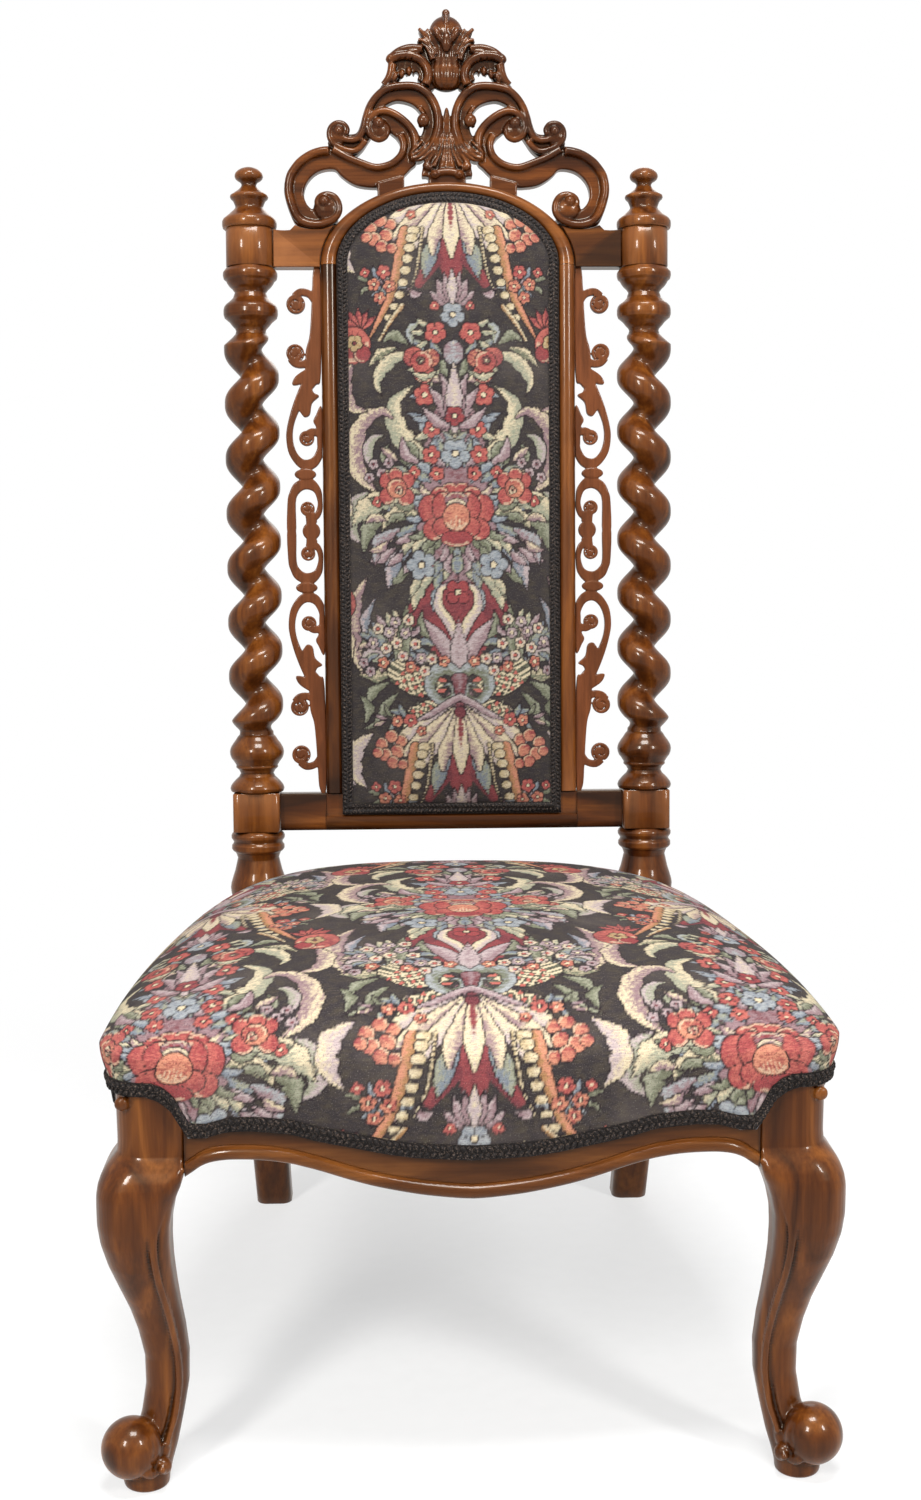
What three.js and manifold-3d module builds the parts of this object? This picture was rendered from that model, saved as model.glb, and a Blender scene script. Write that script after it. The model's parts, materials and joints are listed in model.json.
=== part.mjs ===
import * as THREE from 'three';
import { mergeVertices } from 'three/addons/utils/BufferGeometryUtils.js';
import Module from 'manifold-3d';

const wasm = await Module();
wasm.setup();

// Driving dimensions, in millimetres and degrees. Seen from the front, X runs to the right, Y to the
// back and Z up. The posts' axes cross the plane Y = 0 at the height of the rake's pivot.
const clearance = 0.3;
const overrun = 8;
const roundSides = 10;

// Rear uprights: one turned and carved length of walnut each, from the floor to the finial
const postSpacing = 363;
const postRadius = 25;
const postBlockWidth = 43;
const postBlockCorner = 6;
const rakePivotHeight = 370;
const rakeDegrees = 4.5;
const rearFootWidth = 34;
const rearFootSetback = 63;
const rearFootInset = 5;
const rearFootCorner = 9;
const rearBlockBottom = 240;
const rearBlockTop = 312;
const lowBlockBottom = 385;
const lowBlockTop = 421;
const lowBlockCorner = 3;
const twistBottom = 478;
const twistTop = 842;
const highBlockBottom = 902;
const highBlockTop = 937;
const highBlockCorner = 18;
const finialTop = 993;
const twistPitch = 50;
const twistHollowRadius = 10.5;
const twistSharpness = 0.9;
const ringsPerTurn = 4.5;
const spigotRadius = 6;
const spigotLength = 20;
const twistSides = 12;

// Upholstered back: frame, arch and the layers of its panel
const frameHalfWidth = 117;
const frameThickness = 22;
const stileWidth = 34;
const backRailBottom = 385.5;
const backRailTop = 420;
const springLine = 904;
const archRise = 75;
const archInnerRise = 43;
const gimpOuterHalf = 102;
const gimpOuterRise = 65;
const gimpOuterBottom = 400;
const gimpWidth = 10;
const gimpThickness = 3;
const frontRebate = 4;
const backRebate = 2.5;
const backRebateHalf = 106;
const backRebateRise = 67;
const backRebateBottom = 396;
const outerGimpWidth = 8;
const outerGimpThickness = 2;
const hessianThickness = 1;
const hessianMargin = 4;
const coverThickness = 1.5;
const outerCoverThickness = 1.2;
const backPadMargin = 1;
const backPadEdge = 4;
const backPadCrown = 13;
const backPadFullness = 0.7;
const archSteps = 12;

// Shoulder rails, and the tenons that hold the back frame in the posts
const shoulderBottom = 902;
const shoulderTop = 934;
const shoulderThickness = 18;
const tenonLength = 14;
const shoulderTenonLength = 8;
const tenonThickness = 9;
const tenonShoulder = 6;
const stileTenonLength = 15;
const stileTenonWidth = 14;

// Pierced crest
const crestHalfWidth = 153;
const crestHeight = 200;
const crestThickness = 20;
const upperScrollThickness = 23;
const leafThickness = 17;
const urnThickness = 26;
const budRadius = 15.5;
const budDrop = 20.5;
const budSides = 12;
const budRings = 8;
const stemTipRadius = 3.5;
const crestDowelRadius = 4;
const crestDowelLength = 30;
const crestDowelPlace = 51;
const crestDowelHeight = 958;

// Fretted side panels
const fretGap = 6.5;
const fretHalfHeight = 239;
const fretCentreHeight = 662.5;
const fretThickness = 7;
const fretNeckWidth = 6.5;
const fretCollarLength = 20;
const fretCollarHeight = 10;

// Seat frame
const railFrontEdge = 485.7;
const railRearEdge = 12;
const railHalfFront = 249;
const railHalfRear = 187;
const seatBelly = 20;
const frontBow = 12;
const railCorner = 22;
const railThickness = 26;
const railBottom = 248;
const railTop = 300;
const apronThickness = 14;
const apronDrop = 30;
const railTenonThickness = 12;
const railTenonShoulder = 9;
const railTenonLength = 21;

// Front legs
const legWidth = 49;
const legTopRise = 3.5;
const legSetForward = 236;
const footBallRadius = 21.8;
const footBallHeight = 31;
const footBallPlace = 243;
const footBallSides = 12;
const footBallRings = 8;

// Corner blocks and their screws
const blockHeight = 40;
const blockBottom = 252;
const frontBlockReach = 68;
const rearBlockReach = 66;
const screwLength = 38;
const screwRadius = 2.2;
const screwHeadRadius = 4.2;
const screwHeadHeight = 3.5;
const screwPlace = 34;
const screwSink = 4;
const screwDepthShare = 0.9;

// Seat upholstery
const seatSideOverhang = 11.5;
const seatRearSideOverhang = 2;
const skirtSwing = 1.6;
const seatFrontOverhang = 11.3;
const seatRearOverhang = 6;
const seatCorner = 45;
const seatWidestRise = 28.5;
const seatCrown = 57;
const seatCoverThickness = 2.5;
const crownAcrossPower = 2.6;
const crownAcrossRoot = 1.95;
const crownAlongPower = 3.4;
const crownAlongRoot = 1.65;
const hemCentreHeight = 248;
const hemCornerHeight = 292.5;
const seatGimpHeight = 11;
const seatGimpThickness = 3;
const hessianCrown = 36;
const hessianFullness = 0.8;
const hessianFlatShare = 0.85;
const seatHessianInset = 5;
const webbingWidth = 50;
const webbingThickness = 1.3;
const webbingSpacingAcross = 95;
const webbingSpacingAlong = 115;
const webbingMiddle = 235;
const webbingRamp = 12;
const webbingEase = 4;
const webbingTackMargin = 8;
const webbingsEachWay = 3;
const springRadius = 36;
const springWaist = 25;
const springWire = 3;
const springTurns = 4;
const springStepsPerTurn = 6;
const springSides = 4;
const springSlack = 2;
const dustClothThickness = 0.6;
const dustClothInset = 17;

// Finishes
const walnut = new THREE.MeshStandardMaterial({ color: 0x8a5226, roughness: 0.32, metalness: 0 });
const darkWalnut = new THREE.MeshStandardMaterial({ color: 0x5e321a, roughness: 0.34, metalness: 0 });
const fretWood = new THREE.MeshStandardMaterial({ color: 0x7c452a, roughness: 0.45, metalness: 0 });
const beech = new THREE.MeshStandardMaterial({ color: 0xb08a58, roughness: 0.7, metalness: 0 });
const tapestry = new THREE.MeshStandardMaterial({ color: 0x6a5552, roughness: 0.95, metalness: 0 });
const braid = new THREE.MeshStandardMaterial({ color: 0x191617, roughness: 0.9, metalness: 0 });
const blackCloth = new THREE.MeshStandardMaterial({ color: 0x232021, roughness: 0.95, metalness: 0 });
const hessianCloth = new THREE.MeshStandardMaterial({ color: 0xa5875c, roughness: 0.95, metalness: 0 });
const hair = new THREE.MeshStandardMaterial({ color: 0x4c3c2c, roughness: 1, metalness: 0 });
const jute = new THREE.MeshStandardMaterial({ color: 0x9a7b4f, roughness: 0.95, metalness: 0 });
const copperedSteel = new THREE.MeshStandardMaterial({ color: 0x8d6a4c, roughness: 0.4, metalness: 1 });
const screwSteel = new THREE.MeshStandardMaterial({ color: 0x6f6c66, roughness: 0.45, metalness: 1 });

// Shares of a turned section's height and of the post's radius, from the bottom up
const bulbShares = [
  [0.1, 0.92], [0.21, 1.04], [0.29, 1.06], [0.38, 0.99], [0.49, 0.88], [0.6, 0.8], [0.68, 0.79],
  [0.76, 0.9], [0.83, 0.99], [0.89, 0.94], [0.94, 0.99],
];
const bulbWidestShare = 1.06;
const lowTurningShares = [
  [0.04, 0.95], [0.1, 1.01], [0.17, 0.95], [0.26, 0.74], [0.34, 0.61], [0.41, 0.7], [0.5, 0.8],
  [0.58, 0.94], [0.67, 1.01], [0.76, 0.95], [0.86, 0.78], [0.95, 0.61],
];
const highTurningShares = [
  [0.06, 0.53], [0.13, 0.68], [0.19, 0.8], [0.27, 0.97], [0.35, 1.0], [0.43, 0.95], [0.52, 0.7],
  [0.62, 0.57], [0.72, 0.75], [0.8, 0.88], [0.85, 0.99], [0.94, 0.99],
];
const finialShares = [
  [0, 0.98], [0.09, 1], [0.15, 0.96], [0.21, 0.84], [0.28, 0.67], [0.36, 0.51], [0.43, 0.56],
  [0.52, 0.7], [0.58, 0.56], [0.65, 0.35], [0.71, 0.27], [0.76, 0.32], [0.81, 0.48], [0.87, 0.52],
  [0.93, 0.45], [0.98, 0.25],
];

// Shares of the rear leg: height up to the block, setback, narrowing
const rearLegShares = [[0, 1, 1], [0.3, 0.6, 0.86], [0.6, 0.28, 0.6], [0.85, 0.06, 0.25], [1, 0, 0]];

// Shares of the front leg: height, outer face, inner face (both of the leg's width from its inner
// face at the top), outer corner radius and inner corner radius (of the section's own width)
const frontLegShares = [
  [1, 1, 0, 0.47, 0.04],
  [0.861, 0.99, 0, 0.45, 0.04],
  [0.814, 1.031, 0, 0.4, 0.06],
  [0.791, 1.092, 0.02, 0.38, 0.12],
  [0.767, 1.184, 0.061, 0.36, 0.2],
  [0.743, 1.255, 0.122, 0.38, 0.28],
  [0.713, 1.282, 0.184, 0.42, 0.3],
  [0.669, 1.282, 0.235, 0.45, 0.3],
  [0.622, 1.245, 0.245, 0.45, 0.3],
  [0.564, 1.153, 0.235, 0.45, 0.32],
  [0.503, 1.02, 0.204, 0.42, 0.35],
  [0.443, 0.888, 0.163, 0.4, 0.38],
  [0.382, 0.79, 0.112, 0.4, 0.4],
  [0.311, 0.714, 0.071, 0.42, 0.42],
  [0.236, 0.71, 0.082, 0.45, 0.45],
  [0.169, 0.776, 0.153, 0.5, 0.5],
  [0.095, 0.918, 0.255, 0.5, 0.5],
  [0.024, 1.041, 0.357, 0.5, 0.5],
  [0, 1.01, 0.378, 0.5, 0.5],
];

// Shares of the apron's lower edge: distance from the centre, and drop below the rails' underside
const apronShares = [
  [0, 1], [0.1, 0.95], [0.205, 0.86], [0.33, 0.697], [0.43, 0.517], [0.525, 0.317], [0.62, 0.153],
  [0.76, 0.047], [0.86, 0.063], [0.905, 0.117], [0.94, 0.213], [0.972, 0.367], [1, 0.48],
];

// Shares of the hem's climb: distance from the centre to the leg's outer corner, and climb
const hemShares = [
  [0, 0], [0.163, 0.05], [0.238, 0.11], [0.337, 0.22], [0.437, 0.33], [0.5, 0.43], [0.62, 0.48],
  [0.683, 0.46], [0.74, 0.36], [0.788, 0.35], [0.81, 0.55], [0.837, 0.8], [0.871, 0.94], [0.906, 1],
  [1, 1],
];

// Shares of the crest's half width and height above the shoulders: outlines of one half of its outer
// scroll, upper scroll, leaf and the hole in it, urn, stem and pad, and middles of its volutes with
// their radii
const outerScrollShares = [
  [0.733, 0.019], [0.79, 0.014], [0.863, 0.022], [0.908, 0.036], [0.938, 0.079], [0.964, 0.136],
  [0.976, 0.19], [0.963, 0.253], [0.932, 0.296], [0.89, 0.333], [0.825, 0.364], [0.761, 0.381],
  [0.708, 0.384], [0.65, 0.361], [0.544, 0.33], [0.438, 0.306], [0.384, 0.309], [0.331, 0.325],
  [0.288, 0.359], [0.28, 0.395], [0.304, 0.427], [0.34, 0.45], [0.431, 0.52], [0.42, 0.554],
  [0.36, 0.564], [0.291, 0.544], [0.222, 0.504], [0.178, 0.46], [0.163, 0.42], [0.179, 0.319],
  [0.214, 0.289], [0.263, 0.251], [0.327, 0.217], [0.418, 0.202], [0.476, 0.203], [0.54, 0.211],
  [0.593, 0.23], [0.641, 0.258], [0.672, 0.282], [0.731, 0.282], [0.784, 0.267], [0.827, 0.237],
  [0.852, 0.2], [0.856, 0.16], [0.831, 0.119], [0.771, 0.09], [0.68, 0.08], [0.654, 0.06],
  [0.688, 0.034],
];
const upperScrollShares = [
  [0.712, 0.404], [0.682, 0.376], [0.629, 0.354], [0.559, 0.343], [0.51, 0.369], [0.475, 0.406],
  [0.431, 0.46], [0.392, 0.55], [0.32, 0.588], [0.261, 0.59], [0.202, 0.574], [0.163, 0.545],
  [0.141, 0.51], [0.141, 0.465], [0.163, 0.425], [0.235, 0.36], [0.224, 0.343], [0.179, 0.319],
  [0.144, 0.326], [0.095, 0.356], [0.05, 0.408], [0.025, 0.475], [0.025, 0.51], [0.034, 0.556],
  [0.063, 0.608], [0.103, 0.645], [0.162, 0.67], [0.241, 0.675], [0.32, 0.669], [0.384, 0.654],
  [0.439, 0.62], [0.478, 0.576], [0.503, 0.524], [0.519, 0.48], [0.544, 0.446], [0.608, 0.442],
  [0.654, 0.435],
];
const leafShares = [
  [0.397, 0.65], [0.364, 0.68], [0.344, 0.724], [0.334, 0.754], [0.351, 0.775], [0.329, 0.801],
  [0.279, 0.824], [0.21, 0.838], [0.151, 0.841], [0.078, 0.79], [0.065, 0.641], [0.112, 0.63],
  [0.196, 0.66], [0.294, 0.66], [0.366, 0.64],
];
const leafHoleShares = [[0.278, 0.678], [0.263, 0.699], [0.218, 0.725], [0.176, 0.71], [0.173, 0.681]];
const urnShares = [
  [0, 0.635], [0.063, 0.641], [0.112, 0.655], [0.105, 0.73], [0.092, 0.78], [0.131, 0.83],
  [0.178, 0.855], [0.151, 0.869], [0.163, 0.887], [0.169, 0.91], [0.121, 0.902], [0.078, 0.89],
  [0, 0.89],
];
const stemShares = [
  [0, 0.56], [0.013, 0.545], [0.027, 0.48], [0.05, 0.408], [0.078, 0.35], [0.118, 0.32],
  [0.139, 0.304], [0.15, 0.274], [0.152, 0.249], [0.111, 0.249], [0.111, 0.18], [0, 0.18],
];
const padShares = [[0.418, 0.217], [0.256, 0.25], [0.256, 0.13], [0.418, 0.105]];
const voluteShares = [[0.722, 0.107, 0.088], [0.652, 0.434, 0.07], [0.405, 0.46, 0.075], [0.103, 0.5, 0.046]];

// Shares of the shoulder rail's top: distance from the chair's axis, of the crest's half width, and
// rise above the rail, of the crest's height
const shoulderTopShares = [[1.052, 0.01], [1, 0.006], [0.941, 0.006], [0.915, 0.03], [0.66, 0.03]];

// Shares that space the rings of the crowned layers, from their edge to their middle, and the points
// along the front, the sides and the rear of the seat's plan
const backPadShares = [1, 0.9, 0.72, 0.45];
const seatCrownShares = [1, 0.985, 0.95, 0.87, 0.7, 0.42];
const springHessianShares = [1, 0.86, 0.5];
const planFrontShares = [0, 0.25, 0.5, 0.68, 0.8, 0.865, 0.92, 1];
const planSideShares = [0.1, 0.25, 0.45, 0.65, 0.85, 1];
const planRearShares = [0.8, 0.4];
const planCornerSteps = 3;

// Shares of the fret's width and half height, outward from the frame and up from the middle: outlines
// of its stem, leaf, spur and loop, centre lines of its necks, and middles and radii of its curls
const fretStemShares = [
  [0, 1], [0.18, 1], [0.23, 0.918], [0.27, 0.818], [0.32, 0.743], [0.42, 0.692], [0.45, 0.626],
  [0.45, 0.588], [0.6, 0.554], [0.82, 0.478], [0.97, 0.402], [1, 0.351], [0.92, 0.294], [0.67, 0.247],
  [0.39, 0.235], [0.16, 0.249], [0.01, 0.281], [0, 0.303], [0, 0.475], [0.17, 0.443], [0.24, 0.42],
  [0.16, 0.395], [0.14, 0.338], [0.15, 0.313], [0.29, 0.281], [0.53, 0.276], [0.73, 0.307],
  [0.82, 0.358], [0.77, 0.415], [0.58, 0.478], [0.39, 0.525], [0.16, 0.56], [0.01, 0.608],
];
const fretLeafShares = [
  [0.81, 0.56], [0.72, 0.592], [0.41, 0.621], [0.24, 0.634], [0.33, 0.592], [0.53, 0.566],
];
const fretSpurShares = [
  [0.67, 0.487], [0.55, 0.446], [0.45, 0.437], [0.33, 0.449], [0.27, 0.49], [0.07, 0.517],
  [0.21, 0.529], [0.33, 0.546],
];
const fretLoopShares = [
  [1, -0.01], [0.99, 0.11], [0.93, 0.148], [0.79, 0.184], [0.48, 0.205], [0.25, 0.198], [0.05, 0.161],
  [0.01, 0.116], [0.02, 0.078], [0.15, 0.046], [0.42, 0.038], [0.48, 0.061], [0.24, 0.069],
  [0.16, 0.09], [0.15, 0.116], [0.25, 0.151], [0.48, 0.161], [0.67, 0.145], [0.76, 0.11], [0.77, -0.01],
];
const fretNeckShares = [
  [[0.15, 0.877], [0.3, 0.904], [0.55, 0.912], [0.72, 0.895]],
  [[0.3, 0.651], [0.52, 0.638], [0.73, 0.642], [0.85, 0.66]],
  [[0.09, 0.374], [0.27, 0.381], [0.42, 0.37]],
  [[0.39, 0.07], [0.37, 0.02]],
];
const fretCurlShares = [
  [0.69, 0.866, 0.26], [0.72, 0.68, 0.25], [0.43, 0.356, 0.21], [0.43, 0.086, 0.2], [0.24, 0.038, 0.07],
];
const fretCollarShares = [0.48, 0.218];
const fretKnopShares = [0.33, 0.25];

const chair = new THREE.Group();
const back = new THREE.Group();
const rake = THREE.MathUtils.degToRad(rakeDegrees);
const postX = postSpacing / 2;
const fretWidth = postX - postRadius - frameHalfWidth - fretGap;
const budHeight = shoulderTop + crestHeight - budDrop;
const legInner = railHalfFront - legWidth;
const legTop = hemCornerHeight + legTopRise;
const seatFrontEdge = railFrontEdge + seatFrontOverhang;
const seatRearEdge = railRearEdge + seatRearOverhang;
const seatHalfFront = railHalfFront + seatSideOverhang;
const seatHalfRear = railHalfRear + seatRearSideOverhang;
const seatWidestHeight = hemCornerHeight + seatWidestRise;
const sides = [['left', -1], ['right', 1]];
back.position.z = rakePivotHeight;
back.rotation.x = -rake;
back.updateMatrix();
chair.add(back);

// Height along the raked back, measured from the pivot, of a level given above the floor
function along(height) {
  return (height - rakePivotHeight) / Math.cos(rake);
}

// A closed mesh as a solid that can be joined and cut
function solid(geometry) {
  const bare = geometry.clone();
  bare.deleteAttribute('normal');
  bare.deleteAttribute('uv');
  const merged = mergeVertices(bare);
  const vertProperties = new Float32Array(merged.attributes.position.array);
  const triVerts = new Uint32Array(merged.index.array);
  return new wasm.Manifold(new wasm.Mesh({ numProp: 3, vertProperties, triVerts }));
}

function meshGeometry(body) {
  const mesh = body.getMesh();
  const geometry = new THREE.BufferGeometry();
  geometry.setAttribute('position', new THREE.BufferAttribute(mesh.vertProperties, 3));
  geometry.setIndex(new THREE.BufferAttribute(mesh.triVerts, 1));
  geometry.computeVertexNormals();
  return geometry;
}

function addPiece(name, shape, material, parent = chair) {
  const geometry = shape.isBufferGeometry ? shape : meshGeometry(shape);
  const mesh = new THREE.Mesh(geometry, material);
  mesh.name = name;
  parent.add(mesh);
}

// A box between two corners
function block(x0, x1, y0, y1, z0, z1) {
  const geometry = new THREE.BoxGeometry(Math.abs(x1 - x0), Math.abs(y1 - y0), Math.abs(z1 - z0));
  geometry.translate((x0 + x1) / 2, (y0 + y1) / 2, (z0 + z1) / 2);
  return solid(geometry);
}

// An outline in X and Z, as thick as the way from y0 to y1
function plate(points, y0, y1) {
  const shape = new THREE.Shape(points.map(([x, z]) => new THREE.Vector2(x, z)));
  const geometry = new THREE.ExtrudeGeometry(shape, { depth: y1 - y0, bevelEnabled: false });
  geometry.rotateX(Math.PI / 2);
  geometry.translate(0, y1, 0);
  return solid(geometry);
}

// An outline in X and Y, raised from z0 to z1
function slab(points, z0, z1) {
  const shape = new THREE.Shape(points.map(([x, y]) => new THREE.Vector2(x, y)));
  const geometry = new THREE.ExtrudeGeometry(shape, { depth: z1 - z0, bevelEnabled: false });
  geometry.translate(0, 0, z0);
  return solid(geometry);
}

// A round bar or pin along Z
function rod(x, y, z0, z1, radius) {
  const geometry = new THREE.CylinderGeometry(radius, radius, z1 - z0, roundSides);
  geometry.rotateX(Math.PI / 2);
  geometry.translate(x, y, (z0 + z1) / 2);
  return solid(geometry);
}

// A round disc facing the front
function disc(x, z, y0, y1, radius) {
  const geometry = new THREE.CylinderGeometry(radius, radius, y1 - y0, roundSides);
  geometry.translate(x, (y0 + y1) / 2, z);
  return solid(geometry);
}

function join(bodies) {
  return bodies.reduce((whole, body) => whole.add(body));
}

// A skin over rings of points, closed by a flat end, a pole of one point, or onto its first ring. Each
// face is halved along its shorter diagonal.
function loft(rings, closed = false) {
  const points = rings.flat();
  const starts = [];
  let count = 0;
  for (const ring of rings) {
    starts.push(count);
    count += ring.length;
  }
  const triangles = [];
  const last = closed ? rings.length : rings.length - 1;
  for (let r = 0; r < last; r += 1) {
    const next = (r + 1) % rings.length;
    const around = Math.max(rings[r].length, rings[next].length);
    for (let k = 0; k < around; k += 1) {
      const a = starts[r] + (rings[r].length > 1 ? k : 0);
      const b = starts[r] + (rings[r].length > 1 ? (k + 1) % around : 0);
      const c = starts[next] + (rings[next].length > 1 ? (k + 1) % around : 0);
      const d = starts[next] + (rings[next].length > 1 ? k : 0);
      if (a === b) {
        triangles.push(a, c, d);
      } else if (c === d) {
        triangles.push(a, b, c);
      } else if (points[a].distanceTo(points[c]) < points[b].distanceTo(points[d])) {
        triangles.push(a, b, c, a, c, d);
      } else {
        triangles.push(a, b, d, b, c, d);
      }
    }
  }
  if (!closed) {
    for (const [end, forward] of [[0, false], [rings.length - 1, true]]) {
      for (let k = 1; k + 1 < rings[end].length; k += 1) {
        const fan = [starts[end], starts[end] + k, starts[end] + k + 1];
        if (!forward) fan.reverse();
        triangles.push(...fan);
      }
    }
  }
  return outward(points, triangles);
}

// The mesh of the triangles, turned so that its faces point out
function outward(points, triangles) {
  let volume = 0;
  for (let t = 0; t < triangles.length; t += 3) {
    const [a, b, c] = [0, 1, 2].map((k) => points[triangles[t + k]]);
    volume += a.dot(new THREE.Vector3().crossVectors(b, c));
  }
  const geometry = new THREE.BufferGeometry();
  geometry.setFromPoints(points);
  geometry.setIndex(volume < 0 ? triangles.slice().reverse() : triangles);
  geometry.computeVertexNormals();
  return geometry;
}

// Places a world solid in the raked back's own frame, or the other way round
function moved(geometry, matrix) {
  const copy = geometry.clone();
  copy.applyMatrix4(matrix);
  return copy;
}

// Twelve points of a square section with rounded corners; a full radius makes it round
function squareRing(halfX, halfY, radius, centre, place) {
  const ring = [];
  for (let corner = 0; corner < 4; corner += 1) {
    const quarter = Math.PI / 4 + (corner * Math.PI) / 2;
    const r = Math.min(radius[corner % radius.length], halfX, halfY);
    const isRound = r >= halfX;
    const sweep = isRound ? Math.PI / 6 : Math.PI / 4;
    for (const step of [-1, 0, 1]) {
      const angle = quarter + step * sweep;
      const x = Math.sign(Math.cos(quarter)) * (halfX - r) + r * Math.cos(angle);
      const y = Math.sign(Math.sin(quarter)) * (halfY - r) + r * Math.sin(angle);
      ring.push(place(centre.x + x, centre.y + y));
    }
  }
  return ring;
}

// A ring of the barley twist: one strand that winds round the post's axis, mirrored left to right
function twistRing(height, side, place) {
  const ring = [];
  for (let k = 0; k < twistSides; k += 1) {
    const angle = (Math.PI * (1 + 2 * k)) / twistSides;
    const turn = (2 * Math.PI * (height - twistBottom)) / twistPitch;
    const outward = side > 0 ? angle : Math.PI - angle;
    const swell = Math.abs(Math.cos((outward + turn) / 2)) ** twistSharpness;
    const r = twistHollowRadius + (postRadius - twistHollowRadius) * swell;
    ring.push(place(r * Math.cos(angle), r * Math.sin(angle)));
  }
  return ring;
}

// Rear upright: splayed leg, block for the seat rails, turned bulb, block, twist and a drum-like top block
function uprightShape(side) {
  const rings = [];
  const onAxis = (height) => (x, y) => {
    const isRaked = height > rakePivotHeight;
    const point = new THREE.Vector3(side * postX + x, y, isRaked ? along(height) : height);
    return isRaked ? point.applyMatrix4(back.matrix) : point;
  };
  const half = postBlockWidth / 2;
  for (const [heightShare, setbackShare, thinShare] of rearLegShares) {
    const height = rearBlockBottom * heightShare;
    const width = half - (half - rearFootWidth / 2) * thinShare;
    const corner = postBlockCorner + (rearFootCorner - postBlockCorner) * thinShare;
    const centre = new THREE.Vector2(
      side * (postX - rearFootInset * setbackShare),
      rearFootSetback * setbackShare,
    );
    rings.push(squareRing(width, width, [corner], centre, (x, y) => new THREE.Vector3(x, y, height)));
  }
  const axis = new THREE.Vector2(side * postX, 0);
  const level = (x, y) => new THREE.Vector3(x, y, rearBlockTop);
  rings.push(squareRing(half, half, [postBlockCorner], axis, level));
  const origin = new THREE.Vector2(0, 0);
  const turned = (shares, bottom, top) => {
    for (const [heightShare, radiusShare] of shares) {
      const r = postRadius * radiusShare;
      rings.push(squareRing(r, r, [r], origin, onAxis(bottom + (top - bottom) * heightShare)));
    }
  };
  const squared = (bottom, top, corner) => {
    rings.push(squareRing(half, half, [corner], origin, onAxis(bottom)));
    rings.push(squareRing(half, half, [corner], origin, onAxis(top)));
  };
  turned(bulbShares, rearBlockTop, lowBlockBottom);
  squared(lowBlockBottom, lowBlockTop, lowBlockCorner);
  turned(lowTurningShares, lowBlockTop, twistBottom);
  const turns = (twistTop - twistBottom) / twistPitch;
  const steps = Math.round(turns * ringsPerTurn);
  for (let k = 0; k <= steps; k += 1) {
    const height = twistBottom + ((twistTop - twistBottom) * k) / steps;
    rings.push(twistRing(height, side, onAxis(height)));
  }
  turned(highTurningShares, twistTop, highBlockBottom);
  squared(highBlockBottom, highBlockTop, highBlockCorner);
  return solid(loft(rings));
}

// Finial: turned, with a spigot glued into the top of the upright
function finialShape(side) {
  const foot = along(highBlockTop) + clearance;
  const height = along(finialTop) - foot;
  const profile = [
    new THREE.Vector2(0, foot - spigotLength),
    new THREE.Vector2(spigotRadius, foot - spigotLength),
    new THREE.Vector2(spigotRadius, foot),
  ];
  for (const [heightShare, radiusShare] of finialShares) {
    profile.push(new THREE.Vector2(postRadius * radiusShare, foot + height * heightShare));
  }
  profile.push(new THREE.Vector2(0, foot + height));
  const geometry = new THREE.LatheGeometry(profile, roundSides);
  geometry.rotateX(Math.PI / 2);
  geometry.translate(side * postX, 0, 0);
  return solid(geometry);
}

// Arched outline of the back panel
function archPoints(half, rise, bottom) {
  const spring = along(springLine);
  const points = [[-half, along(bottom)], [half, along(bottom)]];
  for (let k = 0; k <= archSteps; k += 1) {
    const angle = (Math.PI * k) / archSteps;
    points.push([half * Math.cos(angle), spring + rise * Math.sin(angle)]);
  }
  return points;
}

function archRing(half, rise, bottom, y) {
  return archPoints(half, rise, bottom).map(([x, z]) => new THREE.Vector3(x, y, z));
}

const frameHalfThickness = frameThickness / 2;
const rebateFront = -frameHalfThickness + frontRebate;
const rebateBack = frameHalfThickness - backRebate;

// Takes the upholstery's rebates off the front and the back of a piece of the back frame
function rebated(body) {
  const grown = clearance;
  const front = archPoints(gimpOuterHalf + grown, gimpOuterRise + grown, gimpOuterBottom - grown);
  const rear = archPoints(backRebateHalf + grown, backRebateRise + grown, backRebateBottom - grown);
  const frontCut = plate(front, -frameHalfThickness - overrun, rebateFront);
  const rearCut = plate(rear, rebateBack, frameHalfThickness + overrun);
  return body.subtract(frontCut).subtract(rearCut);
}

// Tenon of the stile in the arch head or in the back's bottom rail
function stileTenon(side, end, grown) {
  const middle = side * (frameHalfWidth - stileWidth / 2);
  const halfWidth = stileTenonWidth / 2 + grown;
  const halfThickness = tenonThickness / 2 + grown;
  const joint = end > 0 ? along(springLine) : along(backRailTop);
  const root = joint - end * overrun;
  const tip = joint + end * (stileTenonLength + grown);
  return block(middle - halfWidth, middle + halfWidth, -halfThickness, halfThickness, root, tip);
}

// Tenon of a cross rail of the back in the post, or of the shoulder in the arch head
function crossTenon(side, from, to, bottom, top, grown) {
  const halfThickness = tenonThickness / 2 + grown;
  const low = along(bottom + tenonShoulder) - grown;
  const high = along(top - tenonShoulder) + grown;
  return block(side * from, side * to, -halfThickness, halfThickness, low, high);
}

const postFace = postX - postBlockWidth / 2;
const tenonTip = postFace + tenonLength;
const shoulderSocket = frameHalfWidth - shoulderTenonLength;

function stileShape(side) {
  const outer = side * frameHalfWidth;
  const inner = side * (frameHalfWidth - stileWidth);
  const low = along(backRailTop) + clearance;
  const high = along(springLine) - clearance;
  const body = rebated(block(inner, outer, -frameHalfThickness, frameHalfThickness, low, high));
  return join([body, stileTenon(side, 1, 0), stileTenon(side, -1, 0)]);
}

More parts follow.
